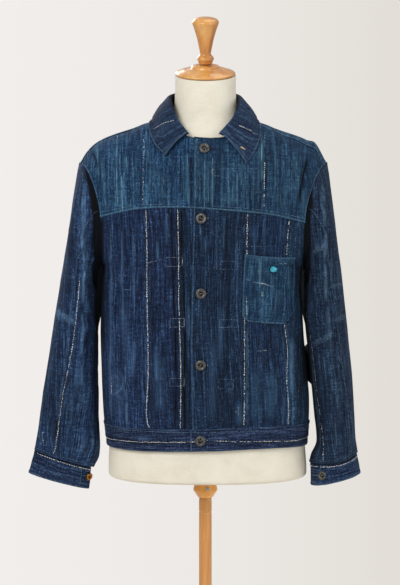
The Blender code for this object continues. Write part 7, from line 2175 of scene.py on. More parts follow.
class Stitches:
    """Short threads lying on the cloth, gathered into one object."""

    def __init__(self, name, seed, sides=4):
        self.name, self.rng, self.sides = name, np.random.default_rng(seed), sides
        self.verts, self.faces, self.which, self.count = [], [], [], 0

    def dash(self, p, n, width, height, mat):
        m = len(p)
        tangent = unit(np.gradient(p, axis=0))
        side = unit(np.cross(tangent, n))
        s = np.linspace(0, 1, m)
        body = np.sqrt(np.clip(1 - np.abs(2 * s - 1) ** 3.0, 0.16, 1))
        up = height * (0.62 * body - 0.50)
        c = self.sides
        ring = np.arange(c) * 2 * np.pi / c + np.pi / 2
        v = (p[:, None, :] + side[:, None, :] * (np.cos(ring)[None, :, None] * (width / 2 * body)[:, None, None])
             + n[:, None, :] * ((np.sin(ring)[None, :] * (height / 2 * body)[:, None] + up[:, None] + height * 0.25)[..., None]))
        start = self.count
        self.verts.append(v.reshape(-1, 3))
        for j in range(m - 1):
            for i in range(c):
                k = (i + 1) % c
                self.faces.append((start + j * c + i, start + (j + 1) * c + i, start + (j + 1) * c + k, start + j * c + k))
                self.which.append(mat)
        self.faces.append(tuple(start + i for i in range(c)))
        self.faces.append(tuple(start + (m - 1) * c + i for i in range(c))[::-1])
        self.which += [mat, mat]
        self.count += m * c

    def run(self, path, dash, gap, width, height=None, mats=(0,), shares=None, wander=0.0002, turn=0.10, skip=0.0):
        """Dashes along a path of (points, normals), uneven in length, gap, width and place."""
        p, n = path
        step = np.linalg.norm(np.diff(p, axis=0), axis=1)
        at = np.concatenate(([0.0], np.cumsum(step)))
        side = unit(np.cross(unit(np.gradient(p, axis=0)), n))
        rng = self.rng
        here = rng.uniform(0, gap[1])
        while here < at[-1] - 0.0006:
            long = rng.uniform(*dash)
            stop = min(here + long, at[-1])
            wide = rng.uniform(0.78, 1.22) * width
            tall = (height or width * 0.55) * rng.uniform(0.85, 1.15)
            mat = int(rng.choice(mats, p=shares))
            off0 = rng.normal(0, wander)
            off1 = off0 + rng.normal(0, turn) * (stop - here)
            drop = rng.uniform() < skip
            if not drop and stop - here > 0.0005:
                m = max(3, min(9, int((stop - here) / 0.0011) + 2))
                s = np.linspace(here, stop, m)
                q = np.stack([np.interp(s, at, p[:, k]) for k in range(3)], -1)
                r = unit(np.stack([np.interp(s, at, n[:, k]) for k in range(3)], -1))
                w = np.stack([np.interp(s, at, side[:, k]) for k in range(3)], -1)
                q = q + w * np.linspace(off0, off1, m)[:, None]
                self.dash(q, r, wide * THICKER, tall, mat)
            here = stop + rng.uniform(*gap)

    def done(self):
        mesh = bpy.data.meshes.new(self.name)
        mesh.from_pydata(np.concatenate(self.verts).tolist(), [], self.faces)
        for m in THREADS:
            mesh.materials.append(m)
        mesh.polygons.foreach_set("material_index", self.which)
        mesh.validate()
        mesh.shade_smooth()
        obj = bpy.data.objects.new(self.name, mesh)
        bpy.context.scene.collection.objects.link(obj)
        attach(obj, "root")
        return obj


def evenly(points, step=0.0007, soft=True):
    """A polyline sampled evenly; its corners eased when soft."""
    points = np.array(points, float)
    run = np.concatenate(([0.0], np.cumsum(np.linalg.norm(np.diff(points, axis=0), axis=1))))
    s = np.linspace(0, run[-1], max(4, int(run[-1] / step)))
    if soft and len(points) > 2:
        table = np.column_stack((run, points))
        return read(table, s)[..., 1:]
    return np.stack([np.interp(s, run, points[:, k]) for k in range(points.shape[1])], -1)


def cast(tree, points, outs, reach=0.02):
    """Lays points on the cloth along their outward directions."""
    p, n = [], []
    for a, o in zip(points, outs):
        o = Vector(o)
        hit, normal, _, _ = tree.ray_cast(Vector(a) + o * reach, -o, reach * 2.2)
        if hit is None:
            continue
        if normal.dot(o) < 0:
            normal = -normal
        p.append(tuple(hit))
        n.append(tuple(normal))
    p, n = np.array(p), np.array(n)
    if len(n) > 6:
        for _ in range(2):
            n[1:-1] = unit(n[:-2] + n[1:-1] + n[2:])
    return p, n


def on_front(points, tree, soft=True):
    """Path on the front from places across and heights."""
    q = evenly(points, soft=soft)
    start = np.stack((q[:, 0], np.full(len(q), -0.13), q[:, 1]), -1)
    return cast(tree, start, np.tile((0.0, -1.0, 0.0), (len(q), 1)), 0.13)


def on_back(points, tree):
    q = evenly(points)
    start = np.stack((q[:, 0], np.full(len(q), 0.13), q[:, 1]), -1)
    return cast(tree, start, np.tile((0.0, 1.0, 0.0), (len(q), 1)), 0.13)


SLEEVE_TREES = {1: tree_of(["sleeve_left_front", "sleeve_left_back"]), -1: tree_of(["sleeve_right_front", "sleeve_right_back"])}


def on_sleeve(side, points):
    q = evenly([(t * 0.56, a * 0.001) for t, a in points])
    t, a = q[:, 0] / 0.56, q[:, 1] / 0.001
    p = sleeve_surface(side, t, a)
    hub = (sleeve_surface(side, t, np.zeros(len(t))) + sleeve_surface(side, t, np.full(len(t), 180.0))) / 2
    return cast(SLEEVE_TREES[side], p, unit(p - hub), 0.02)


def on_cuff(side, angles, shares):
    a = np.linspace(angles[0], angles[1], 140)
    s = np.interp(a, np.linspace(angles[0], angles[1], len(shares)), shares)
    table = np.array(CUFF_LEFT if side > 0 else CUFF_RIGHT)
    rows = table[0] + (table[2] - table[0]) * s[:, None]
    rows = np.concatenate((np.zeros((len(a), 1)), rows, np.full((len(a), 1), 2.2)), 1)
    p, out = ring_point(rows, a)
    return cast(CUFF_TREES["cuff_left" if side > 0 else "cuff_right"], p, out, 0.02)


def course_path(name, tree, inset=0.0):
    h = np.linspace(BAND_TOP_H + 0.012, 1.30, 700)
    x = np.interp(h, H_KEYS, COURSE[name]) + inset
    c = c_at(x, h)
    keep = h < yoke_h(c) - 0.010
    p = body_point(c[keep], h[keep])
    return cast(tree, p, np.tile((0.0, -1.0, 0.0), (len(p), 1)), 0.05)


def edge_path(node, edge, inset, skip=(0.0, 1.0)):
    """Path along a piece's own edge, a set distance in from it."""
    piece = PIECES[node]
    outer = piece["p"] + piece["n"] * piece["t"][..., None]
    grid, normal = outer, piece["n"]
    if edge in ("left", "right"):
        grid, normal = grid.transpose(1, 0, 2), normal.transpose(1, 0, 2)
    if edge in ("right", "top"):
        grid, normal = grid[::-1], normal[::-1]
    run = np.concatenate((np.zeros((1, grid.shape[1])), np.cumsum(np.linalg.norm(np.diff(grid, axis=0), axis=-1), axis=0)))
    m = grid.shape[1]
    out, face = np.zeros((m, 3)), np.zeros((m, 3))
    for i in range(m):
        want = inset(i / (m - 1)) if callable(inset) else inset
        for k in range(3):
            out[i, k] = np.interp(want, run[:, i], grid[:, i, k])
            face[i, k] = np.interp(want, run[:, i], normal[:, i, k])
    a, b = int(skip[0] * (m - 1)), int(skip[1] * (m - 1)) + 1
    out, face = out[a:b], unit(face[a:b])
    length = np.concatenate(([0.0], np.cumsum(np.linalg.norm(np.diff(out, axis=0), axis=1))))
    s = np.linspace(0, length[-1], max(4, int(length[-1] / 0.0008)))
    p = np.stack([np.interp(s, length, out[:, k]) for k in range(3)], -1)
    n = unit(np.stack([np.interp(s, length, face[:, k]) for k in range(3)], -1))
    return p, n


def box_of(x0, x1, z0, z1, lean=0.0):
    return [(x0, z0), (x1, z0 + lean), (x1 + 0.0006, z1 + lean), (x0 + 0.0004, z1), (x0, z0)]


STRIPS_TREE = FRONT_TREE
BAND_TREE = tree_of(BAND_NAMES)
YOKE_FRONT_TREE = tree_of(["front_yoke_right", "front_yoke_left"])

# The undyed selvedges: uneven cream dashes down each lapped strip.
st = Stitches("selvedge_threads_front", 201)
for name, gap, width, shares, skip in (("right_side", (0.0003, 0.0012), 0.00100, (0.87, 0.11, 0.02), 0.02),
                                       ("right_placket", (0.0004, 0.0014), 0.00095, (0.87, 0.11, 0.02), 0.03),
                                       ("left_placket", (0.0004, 0.0018), 0.00098, (0.74, 0.22, 0.04), 0.07),
                                       ("left_side", (0.0005, 0.0018), 0.00092, (0.74, 0.22, 0.04), 0.07)):
    path = course_path(name, STRIPS_TREE, 0.0004)
    st.run(path, (0.0010, 0.0034), gap, width, None, (0, 1, 5), shares, 0.00022, 0.12, skip)
    # short near-black dashes among the cream ones: painted shadow
    st.run(path, (0.0008, 0.0018), (0.0040, 0.0240), width * 0.9, None, (3,), None, 0.0004, 0.30)
    # odd knots and slubs
    st.run(path, (0.0014, 0.0022), (0.0300, 0.0900), width * 1.55, width * 0.9, (0,), None, 0.0003, 0.25)
# painted shadow: a line of near-black thread beside each selvedge, where the upper strip's edge throws its shadow
for name, inset, mats in (("right_side", 0.0027, (3,)), ("right_placket", 0.0026, (3,)), ("left_placket", 0.0026, (3, 3, 4)),
                          ("left_placket", -0.0028, (3,)), ("left_side", 0.0026, (3, 4))):
    st.run(course_path(name, STRIPS_TREE, inset), (0.0030, 0.0090), (0.0006, 0.0030), 0.00085, 0.0003, mats, None, 0.00012, 0.03)
st.done()

# Cream dashes round the waistband, and its fine top stitching.
st = Stitches("selvedge_threads_band", 202)
st.run(on_front(BAND_LINE[:5] + [(-0.0252, 0.9268)], BAND_TREE), (0.0016, 0.0048), (0.0003, 0.0012), 0.00095, None, (0, 1, 5),
       (0.86, 0.12, 0.02), 0.00022, 0.10, 0.03)
st.run(on_front([(-0.0252, 0.9263), (-0.0190, 0.9266)], BAND_TREE), (0.0016, 0.0030), (0.0006, 0.0010), 0.00110, None, (0,))
st.run(on_front(BAND_LINE[5:], BAND_TREE), (0.0016, 0.0044), (0.0006, 0.0026), 0.00098, None, (0, 1, 5), (0.80, 0.17, 0.03),
       0.00030, 0.14, 0.07)
# painted shadow: near-black thread just below the band's lapped seam
st.run(on_front([(x, z - 0.0017) for x, z in BAND_LINE[5:]], BAND_TREE), (0.0030, 0.0090), (0.0010, 0.0030), 0.0009, 0.0003, (3,))
st.run(on_front([(x, z - 0.0017) for x, z in BAND_LINE[:5]], BAND_TREE), (0.0030, 0.0090), (0.0010, 0.0050), 0.0008, 0.0003, (3,))
for points in ([(-0.1860, 0.9400), (-0.1729, 0.9410), (-0.1002, 0.9436), (-0.0334, 0.9428)],
               [(-0.0262, 0.9432), (0.0200, 0.9446), (0.0692, 0.9452), (0.1300, 0.9440), (0.1725, 0.9434), (0.1890, 0.9422)]):
    st.run(on_front(points, BAND_TREE), (0.0016, 0.0026), (0.0006, 0.0011), 0.00050, None, (2, 4), (0.55, 0.45), 0.0001, 0.03, 0.06)
for x, z0, z1 in ((-0.0258, 0.9100, 0.9440),):
    st.run(on_front([(x, z0), (x, z1)], BAND_TREE), (0.0016, 0.0024), (0.0005, 0.0010), 0.00055, None, (2,), None, 0.0001, 0.03)
st.run(on_back(BACK_BAND_LINE[:0] + [(-0.178, 0.9213), (-0.100, 0.9233), (0.0, 0.9226), (0.090, 0.9238), (0.178, 0.9213)],
               tree_of(["waistband_back"])), (0.0016, 0.0046), (0.0004, 0.0018), 0.00110, None, (0, 1, 5), (0.76, 0.17, 0.07),
       0.00025, 0.12, 0.06)
st.run(on_back([(-0.178, 0.9410), (0.0, 0.9425), (0.178, 0.9410)], tree_of(["waistband_back"])), (0.0016, 0.0026),
       (0.0006, 0.0011), 0.00050, None, (2, 4), (0.5, 0.5), 0.0001, 0.03, 0.06)
st.done()

# Yoke: a worn selvedge on each half, double top stitching along its seam, faint darns.
st = Stitches("yoke_threads", 203)
mix3 = ((0, 1, 2), (0.34, 0.34, 0.32))
st.run(on_front([(-0.1105, 1.478), (-0.1112, 1.440), (-0.1119, 1.400), (-0.1122, 1.352)], YOKE_FRONT_TREE), (0.0010, 0.0030),
       (0.0006, 0.0030), 0.00095, None, *mix3, 0.00035, 0.14, 0.22)
st.run(on_front([(0.1070, 1.484), (0.1060, 1.450)], YOKE_FRONT_TREE), (0.0010, 0.0030), (0.0012, 0.0040), 0.00080, None, (1, 2),
       (0.4, 0.6), 0.0003, 0.12, 0.25)
st.run(on_front([(0.1056, 1.430), (0.1050, 1.395), (0.1047, 1.372), (0.1044, 1.350)], YOKE_FRONT_TREE), (0.0010, 0.0032),
       (0.0005, 0.0026), 0.00105, None, *mix3, 0.00030, 0.14, 0.15)
st.run(on_front([(0.1062, 1.428), (0.1053, 1.400)], YOKE_FRONT_TREE), (0.0012, 0.0030), (0.0008, 0.0030), 0.00100, None, (0,))
for node in ("front_yoke_right", "front_yoke_left"):
    st.run(edge_path(node, "low", 0.0019), (0.0016, 0.0026), (0.0005, 0.0010), 0.00060, None, (2, 4), (0.75, 0.25), 0.0001, 0.03, 0.03)
st.run(edge_path("front_yoke_right", "low", lambda q: 0.0090 - 0.0040 * q, (0.02, 0.72)), (0.0016, 0.0028), (0.0005, 0.0011),
       0.00050, None, (2, 4), (0.55, 0.45), 0.0001, 0.03, 0.06)
st.run(edge_path("front_yoke_left", "low", lambda q: 0.0062 + 0.0012 * q, (0.16, 0.98)), (0.0016, 0.0028), (0.0005, 0.0011),
       0.00050, None, (2, 4), (0.60, 0.40), 0.0001, 0.03, 0.06)
for points in ([(0.0241, 1.4178), (0.0941, 1.4170)], [(0.0151, 1.4044), (0.0618, 1.4040)], [(-0.1051, 1.4277), (-0.0862, 1.4275)],
               [(-0.0865, 1.4277), (-0.0868, 1.4030)], [(-0.0620, 1.4380), (-0.0150, 1.4385)], [(0.0620, 1.3760), (0.1000, 1.3755)],
               [(0.0640, 1.3760), (0.0645, 1.3560)]):
    st.run(on_front(points, YOKE_FRONT_TREE), (0.0014, 0.0040), (0.0004, 0.0018), 0.00042, None, (2, 4), (0.5, 0.5), 0.0001, 0.05, 0.15)
# small worked eyelet and the open buttonholes; the open slits are near-black thread, painted shade in the openings
eyelet = [(0.0133 + 0.0014 * math.cos(a), 1.4118 + 0.0046 * math.sin(a)) for a in np.linspace(0, 2 * math.pi, 24)]
st.run(on_front(eyelet, YOKE_FRONT_TREE), (0.0008, 0.0014), (0.0005, 0.0012), 0.00085, None, (0, 1, 3), (0.45, 0.25, 0.30))
st.run(on_front([(0.0133, 1.4082), (0.0133, 1.4154)], YOKE_FRONT_TREE), (0.0060, 0.0070), (0.001, 0.002), 0.0016, 0.0004, (3,))
for node in ("front_yoke_left", "front_yoke_right"):
    arm = "right" if node.endswith("left") else "left"
    st.run(edge_path(node, arm, 0.0024, (0.0, 0.98)), (0.0016, 0.0026), (0.0006, 0.0011), 0.00050, None, (2, 4), (0.5, 0.5),
           0.0001, 0.03, 0.08)
st.run(edge_path("front_yoke_left", "left", 0.0026, (0.02, 0.94)), (0.0016, 0.0026), (0.0006, 0.0011), 0.00050, None, (4, 2),
       (0.6, 0.4), 0.0001, 0.03, 0.08)
st.run(edge_path("back_yoke", "low", 0.0020), (0.0016, 0.0026), (0.0005, 0.0010), 0.00060, None, (2, 4), (0.7, 0.3), 0.0001, 0.03)
st.run(edge_path("back_yoke", "low", 0.0080), (0.0016, 0.0028), (0.0005, 0.0011), 0.00050, None, (2, 4), (0.5, 0.5), 0.0001, 0.03)
st.run(edge_path("back_yoke", "top", 0.0022, (0.01, 0.33)), (0.0016, 0.0026), (0.0005, 0.0011), 0.00055, None, (2, 4), (0.7, 0.3))
st.run(edge_path("back_yoke", "top", 0.0022, (0.67, 0.99)), (0.0016, 0.0026), (0.0005, 0.0011), 0.00055, None, (2, 4), (0.7, 0.3))
for edge in ("left", "right"):
    st.run(edge_path("back_yoke", edge, 0.0024), (0.0016, 0.0026), (0.0006, 0.0011), 0.00050, None, (2, 4), (0.5, 0.5))
back_tree = tree_of(["back_yoke"])
for x in (-0.109, 0.112):
    st.run(on_back([(x, 1.370), (x * 1.005, 1.420), (x * 1.01, 1.470)], back_tree), (0.0010, 0.0030), (0.0006, 0.0030), 0.00095,
           None, *mix3, 0.00035, 0.14, 0.22)
st.done()

# Tacked boxes over the pleats, free edge, darned lines and other fine stitches of the front.
st = Stitches("front_threads", 204)
for x0, x1, z1, z0 in ((-0.0707, -0.0421, 1.2591, 1.2432), (-0.0637, -0.0386, 1.1495, 1.1344), (-0.0644, -0.0387, 1.0415, 1.0274)):
    st.run(on_front(box_of(x0, x1, z0, z1, 0.0006), STRIPS_TREE, False), (0.0014, 0.0026), (0.0004, 0.0012), 0.00055, None, (1, 2, 4),
           (0.30, 0.50, 0.20), 0.0001, 0.04, 0.08)
    st.run(on_front([(x1, z0 + 0.0005), (x1 + 0.0006, z1)], STRIPS_TREE), (0.0014, 0.0026), (0.0004, 0.0012), 0.00065, None, (0, 1),
           (0.5, 0.5))
for x0, x1, z1, z0 in ((0.0267, 0.0568, 1.2527, 1.2386), (0.0243, 0.0561, 1.1481, 1.1340), (0.0223, 0.0499, 1.0407, 1.0234)):
    st.run(on_front(box_of(x0, x1, z0, z1, -0.0002), STRIPS_TREE, False), (0.0014, 0.0028), (0.0004, 0.0014), 0.00050, None, (2, 4, 1),
           (0.50, 0.38, 0.12), 0.0001, 0.04, 0.10)
for points, width, mats in (([(-0.1031, 1.2488), (-0.0950, 1.2515), (-0.0887, 1.2530), (-0.0800, 1.2543), (-0.0715, 1.2546)], 0.0006, (2, 1)),
                            ([(-0.1250, 1.1990), (-0.1460, 1.1994)], 0.0005, (4, 2)),
                            ([(-0.1460, 1.0440), (-0.1495, 1.0290), (-0.1560, 1.0150), (-0.1703, 1.0035)], 0.0006, (4, 2)),
                            ([(-0.1600, 1.0000), (-0.1430, 0.9990), (-0.1130, 0.9985)], 0.0004, (4,)),
                            ([(-0.1452, 1.0480), (-0.1421, 0.9990), (-0.1424, 0.9520)], 0.0006, (2, 4)),
                            ([(-0.0965, 1.0400), (-0.0700, 1.0410)], 0.0004, (4,)),
                            ([(0.0760, 1.0241), (0.1401, 1.0236)], 0.0004, (4,)),
                            ([(0.0800, 1.2790), (0.1100, 1.2786)], 0.0005, (4, 2)),
                            ([(0.0525, 0.9812), (0.0650, 0.9810)], 0.0006, (2, 1)), ([(0.0590, 0.9900), (0.0592, 0.9740)], 0.0006, (2, 1)),
                            ([(0.0937, 1.0895), (0.0975, 1.0912), (0.1005, 1.0890), (0.1050, 1.0912), (0.1115, 1.0900)], 0.0008, (0, 1, 2)),
                            ([(-0.1709, 1.0400), (-0.1712, 1.0060)], 0.0009, (0, 1)),
                            ([(-0.1713, 1.3080), (-0.1700, 1.2500), (-0.1695, 1.1780)], 0.0005, (2, 4, 4)),
                            ([(-0.1706, 1.0050), (-0.1716, 0.9560)], 0.0007, (2, 4)),
                            ([(0.1720, 1.1100), (0.1700, 1.0100)], 0.0005, (4, 4, 2)),
                            ([(0.0776, 1.1280), (0.0765, 1.0400), (0.0762, 0.9580)], 0.0006, (4, 2))):
    st.run(on_front(points, STRIPS_TREE), (0.0012, 0.0036), (0.0004, 0.0016), width, None, mats, None, 0.00014, 0.05, 0.12)
st.run(edge_path("front_placket_left", "left", 0.0022, (0.01, 0.99)), (0.0016, 0.0028), (0.0005, 0.0011), 0.00055, None, (2, 4),
       (0.45, 0.55), 0.0001, 0.03, 0.06)
FRONT_TOP = tree_of(["front_yoke_left", "front_placket_left", "waistband_left"])
# buttonhole slits of near-black thread: painted shade in the openings; a bar tack at the far end
for number, (bx, bz) in enumerate(BUTTONS):
    far = 0.0168 if number == 0 else 0.0128
    for dz in (-0.0008, 0.0008):
        st.run(on_front([(bx - 0.0100, bz + dz), (bx + far, bz + dz)], FRONT_TOP), (0.0010, 0.0016), (0.0001, 0.0003),
               0.0015 if number == 0 else 0.0011, 0.0006, (3, 3, 3) if number == 0 else (3, 3, 4))
    st.run(on_front([(bx + far, bz - 0.0017), (bx + far, bz + 0.0017)], FRONT_TOP), (0.0014, 0.0018), (0.0001, 0.0002), 0.0011, 0.0007,
           (1, 3))
# back strips
back_strips = tree_of(["back_body"])
for hem, yoke in BACK_SEAMS:
    pts = [(hem - 0.0012, 0.952), (hem - 0.0012 + (yoke - hem) * 0.3, 1.08), (hem - 0.0012 + (yoke - hem) * 0.6, 1.21), (yoke - 0.0012, 1.343)]
    st.run(on_back(pts, back_strips), (0.0010, 0.0036), (0.0004, 0.0018), 0.00118, None, (0, 1, 5), (0.74, 0.19, 0.07), 0.00025, 0.13, 0.08)
st.done()

# Pocket, collar, sleeves and cuffs.
st = Stitches("pocket_and_collar_threads", 205)
for edge in ("left", "right", "low"):
    st.run(edge_path("chest_pocket", edge, 0.0022, (0.01, 0.99)), (0.0014, 0.0024), (0.0005, 0.0010), 0.00055, None, (2, 4), (0.7, 0.3),
           0.0001, 0.03, 0.05)
for points, width, mats in (([(0.0740, 1.2192), (0.0800, 1.2182)], 0.0009, (0, 1)), ([(0.0850, 1.2152), (0.0950, 1.2130)], 0.0007, (1, 2)),
                            ([(0.0945, 1.2139), (0.1010, 1.2122), (0.1080, 1.2106)], 0.0012, (0, 0, 1)),
                            ([(0.1080, 1.2098), (0.1210, 1.2062)], 0.0006, (2, 1)), ([(0.1008, 1.1985), (0.1012, 1.1880)], 0.0010, (0, 1)),
                            ([(0.1405, 1.2482), (0.1445, 1.2462)], 0.0009, (1, 2)), ([(0.1330, 1.2476), (0.1385, 1.2460)], 0.0007, (1, 2)),
                            ([(0.0736, 1.1900), (0.0732, 1.1740), (0.0738, 1.1560)], 0.0008, (0, 1, 2)),
                            ([(0.1455, 1.2330), (0.1425, 1.2000), (0.1432, 1.1700), (0.1380, 1.1420)], 0.0006, (2, 4)),
                            ([(0.0954, 1.2580), (0.0960, 1.2060)], 0.0006, (2, 2, 1)), ([(0.0960, 1.2350), (0.1150, 1.2330)], 0.0005, (2, 4))):
    st.run(on_front(points, POCKET_TREE), (0.0012, 0.0030), (0.0004, 0.0012), width, None, mats, None, 0.00012, 0.05, 0.08)
n_top = len(PIECES["collar_fall"]["p"]) - 1
for edge, skip in (("top", (0.012, 0.988)), ("left", (0.20, 0.97)), ("right", (0.20, 0.97))):
    st.run(edge_path("collar_fall", edge, 0.0018, skip), (0.0014, 0.0024), (0.0005, 0.0010), 0.00055, None, (2, 4), (0.55, 0.45),
           0.0001, 0.03, 0.06)


def between(a, b, tree, lift=0.02):
    """Straight path on the collar between two places."""
    q = evenly([a, b], soft=False)
    p, n = [], []
    for v in q:
        at, normal, _, _ = tree.find_nearest(Vector(v))
        if normal.dot(at - Vector((0, 0, at.z))) < 0:
            normal = -normal
        p.append(tuple(at))
        n.append(tuple(normal))
    return np.array(p), np.array(n)


st.run(between((-0.0945, -0.0630, 1.4862), (-0.0575, -0.0762, 1.5036), FALL_TREE), (0.0018, 0.0042), (0.0005, 0.0014), 0.00085, None,
       (0, 1), (0.88, 0.12), 0.0001, 0.03, 0.02)
st.run(between((0.0600, -0.0795, 1.4938), (0.0875, -0.0735, 1.4790), FALL_TREE), (0.0030, 0.0060), (0.0002, 0.0008), 0.00090, None,
       (0, 0, 0, 1), None, 0.0001, 0.02)
st.run(between((0.0875, -0.0735, 1.4790), (0.0965, -0.0700, 1.4738), FALL_TREE), (0.0014, 0.0030), (0.0006, 0.0014), 0.00080, None,
       (1, 2))
st.done()

st = Stitches("sleeve_threads", 206)
whole = [(0.055, 28), (0.107, 65), (0.200, 84), (0.324, 92.2), (0.513, 90.4), (0.676, 81.4), (0.781, 75), (0.930, 72), (0.985, 71)]
st.run(on_sleeve(-1, whole[:4]), (0.0012, 0.0034), (0.0006, 0.0030), 0.00070, None, (2, 4, 1), (0.5, 0.35, 0.15), 0.0002, 0.08, 0.15)
st.run(on_sleeve(-1, [(0.324, 92.2), (0.420, 92.0), (0.513, 90.4), (0.600, 86.5), (0.676, 81.4), (0.781, 75), (0.930, 72), (0.985, 71)]),
       (0.0014, 0.0040), (0.0004, 0.0018), 0.00092, None, (0, 1, 5), (0.78, 0.20, 0.02), 0.0003, 0.12, 0.07)
st.run(on_sleeve(-1, [(0.893, 38.8), (0.910, 37.6), (0.928, 39.8), (0.945, 42.0), (0.957, 44.6)]), (0.0014, 0.0030), (0.0005, 0.0014),
       0.00080, None, (0, 1, 2))
for points in ([(0.493, 147), (0.560, 146), (0.632, 144.4), (0.700, 142.8), (0.773, 140.8), (0.856, 134.8), (0.930, 124), (0.985, 115)],):
    st.run(on_sleeve(1, points), (0.0012, 0.0034), (0.0006, 0.0026), 0.00100, None, (0, 1, 2), (0.55, 0.30, 0.15), 0.0003, 0.13, 0.16)
st.run(on_sleeve(1, [(0.532, 72.4), (0.600, 69.4), (0.657, 65.6), (0.758, 53.6), (0.865, 40), (0.922, 31)]), (0.0012, 0.0030),
       (0.0006, 0.0030), 0.00070, None, (1, 2, 4), (0.30, 0.45, 0.25), 0.0002, 0.10, 0.18)
# pale bars of weft across the sleeves
for side, t0, a0, t1, a1, spread, count in ((-1, 0.505, 10, 0.489, 88, 0.017, 6), (1, 0.112, 116, 0.205, 79, 0.012, 4),
                                            (1, 0.375, 76, 0.415, 22, 0.006, 3), (1, 0.490, 73, 0.510, 23, 0.011, 4),
                                            (1, 0.530, 142, 0.525, 78, 0.018, 5), (1, 0.410, 320, 0.418, 240, 0.012, 4),
                                            (-1, 0.300, 330, 0.310, 250, 0.012, 4)):
    for k in range(count):
        dt = spread * (k / (count - 1) - 0.5)
        st.run(on_sleeve(side, [(t0 + dt, a0), (t1 + dt, a1)]), (0.0010, 0.0042), (0.0004, 0.0034), 0.00050, 0.0003, (2, 4, 8),
               (0.22, 0.40, 0.38), 0.0002, 0.04, 0.18)
for side, angles in ((-1, (250.0, 300.0)), (1, (250.0, 305.0))):
    for a in angles:
        st.run(on_sleeve(side, [(0.060, a + 6), (0.300, a), (0.600, a - 4), (0.960, a - 2)]), (0.0012, 0.0036), (0.0005, 0.0024), 0.00105,
               None, (0, 1, 5), (0.66, 0.26, 0.08), 0.0003, 0.13, 0.14)
for node, edge in (("sleeve_right_front", "right"), ("sleeve_right_back", "left"), ("sleeve_left_front", "right"),
                   ("sleeve_left_back", "left"), ("sleeve_right_back", "right"), ("sleeve_left_back", "right")):
    st.run(edge_path(node, edge, 0.0024, (0.04, 0.985)), (0.0016, 0.0026), (0.0006, 0.0012), 0.00050, None, (4, 2), (0.65, 0.35),
           0.0001, 0.03, 0.10)
st.done()

st = Stitches("cuff_threads", 207)
for side, first, last in ((-1, 134.0, 490.0), (1, 130.0, 485.0)):
    p, n = on_cuff(side, (first, last), (0.108 if side > 0 else 0.080) + 0.115 * cuff_dip(side, np.linspace(first, last, 60)))
    st.run((p + n * 0.0005, n), (0.0016, 0.0046), (0.0004, 0.0014), 0.00085, 0.0007, (0, 1, 5), (0.86, 0.12, 0.02), 0.00020, 0.08, 0.03)
    name = "cuff_left" if side > 0 else "cuff_right"
    st.run(edge_path(name, "top", 0.0022, (0.02, 0.98)), (0.0014, 0.0024), (0.0005, 0.0010), 0.00055, None, (2, 4), (0.55, 0.45))
    st.run(edge_path(name, "left", 0.0022, (0.14, 0.97)), (0.0014, 0.0024), (0.0005, 0.0010), 0.00055, None, (2, 4), (0.55, 0.45))
for node in ("sleeve_right_back", "sleeve_right_front", "sleeve_left_back", "sleeve_left_front"):
    st.run(edge_path(node, "top", 0.0058, (0.02, 0.98)), (0.0014, 0.0026), (0.0006, 0.0012), 0.00050, None, (2, 4), (0.5, 0.5))
st.done()


# Pale warp yarns that catch the light: the ones listed above, and a scatter of short ones.
def yarns(name, seed, rows, path_of, mats, scatter):
    st = Stitches(name, seed, 3)
    pale, faded = mats
    for x0, z0, x1, z1, w, strength, bow in rows:
        if w > 0.0031 or strength < 0.3:
            continue
        path = path_of([(x0, z0), ((x0 + x1) / 2 + bow, (z0 + z1) / 2), (x1, z1)])
        if len(path[0]) < 6:
            continue
        long = (0.012, 0.046) if strength > 0.6 else (0.005, 0.024)
        gap = (0.0008, 0.0060) if strength > 0.6 else (0.002, 0.018)
        top = 10 if strength >= 0.8 and pale == 6 else pale
        st.run(path, long, gap, min(0.00115, w * (0.34 + 0.30 * strength)), 0.00035, (top, faded),
               (min(0.95, strength), 1 - min(0.95, strength)), 0.00025, 0.01)
    rng = np.random.default_rng(seed + 1)
    for x, z0, z1 in scatter(rng):
        path = path_of([(x, z0), (x + rng.normal(0, 0.0006), z1)])
        if len(path[0]) > 6:
            st.run(path, (0.003, 0.020), (0.001, 0.020), rng.uniform(0.00030, 0.00055), 0.0003, (pale, faded), (0.12, 0.88), 0.0002, 0.01)
    st.done()


def yoke_scatter(rng):
    for _ in range(190):
        x = rng.uniform(-0.190, 0.172)
        z = rng.uniform(1.350, 1.440)
        long = rng.uniform(0.008, 0.060)
        low = float(np.interp(x, [r[0] for r in YOKE], [r[1] for r in YOKE])) + 0.003
        high = 1.470 - 0.20 * max(abs(x) - 0.09, 0.0) if abs(x) > 0.085 else 1.445
        z0, z1 = max(z - long, low), min(z + long, high)
        if z1 - z0 > 0.006:
            yield x, z0, z1


def front_scatter(rng):
    for _ in range(300):
        x = rng.uniform(-0.178, 0.168)
        if 0.066 < x < 0.162:
            z = rng.choice((rng.uniform(0.960, 1.125), rng.uniform(1.270, 1.325)), p=(0.75, 0.25))
        else:
            z = rng.uniform(0.960, 1.325)
        long = rng.uniform(0.006, 0.050)
        low, high = 0.952, float(np.interp(x, [r[0] for r in YOKE], [r[1] for r in YOKE])) - 0.006
        if 0.066 < x < 0.162:
            low, high = (0.952, 1.132) if z < 1.2 else (1.268, high)
        z0, z1 = max(z - long, low), min(z + long, high)
        if z1 - z0 > 0.006:
            yield x, z0, z1


def path_yoke(points):
    return on_front(points, YOKE_FRONT_TREE)


def path_front(points):
    return on_front(points, STRIPS_TREE)


yarns("pale_yarns_yoke", 301, YOKE_LIGHT, path_yoke, (6, 7), yoke_scatter)
yarns("pale_yarns_front", 303, FRONT_LIGHT, path_front, (8, 9), front_scatter)


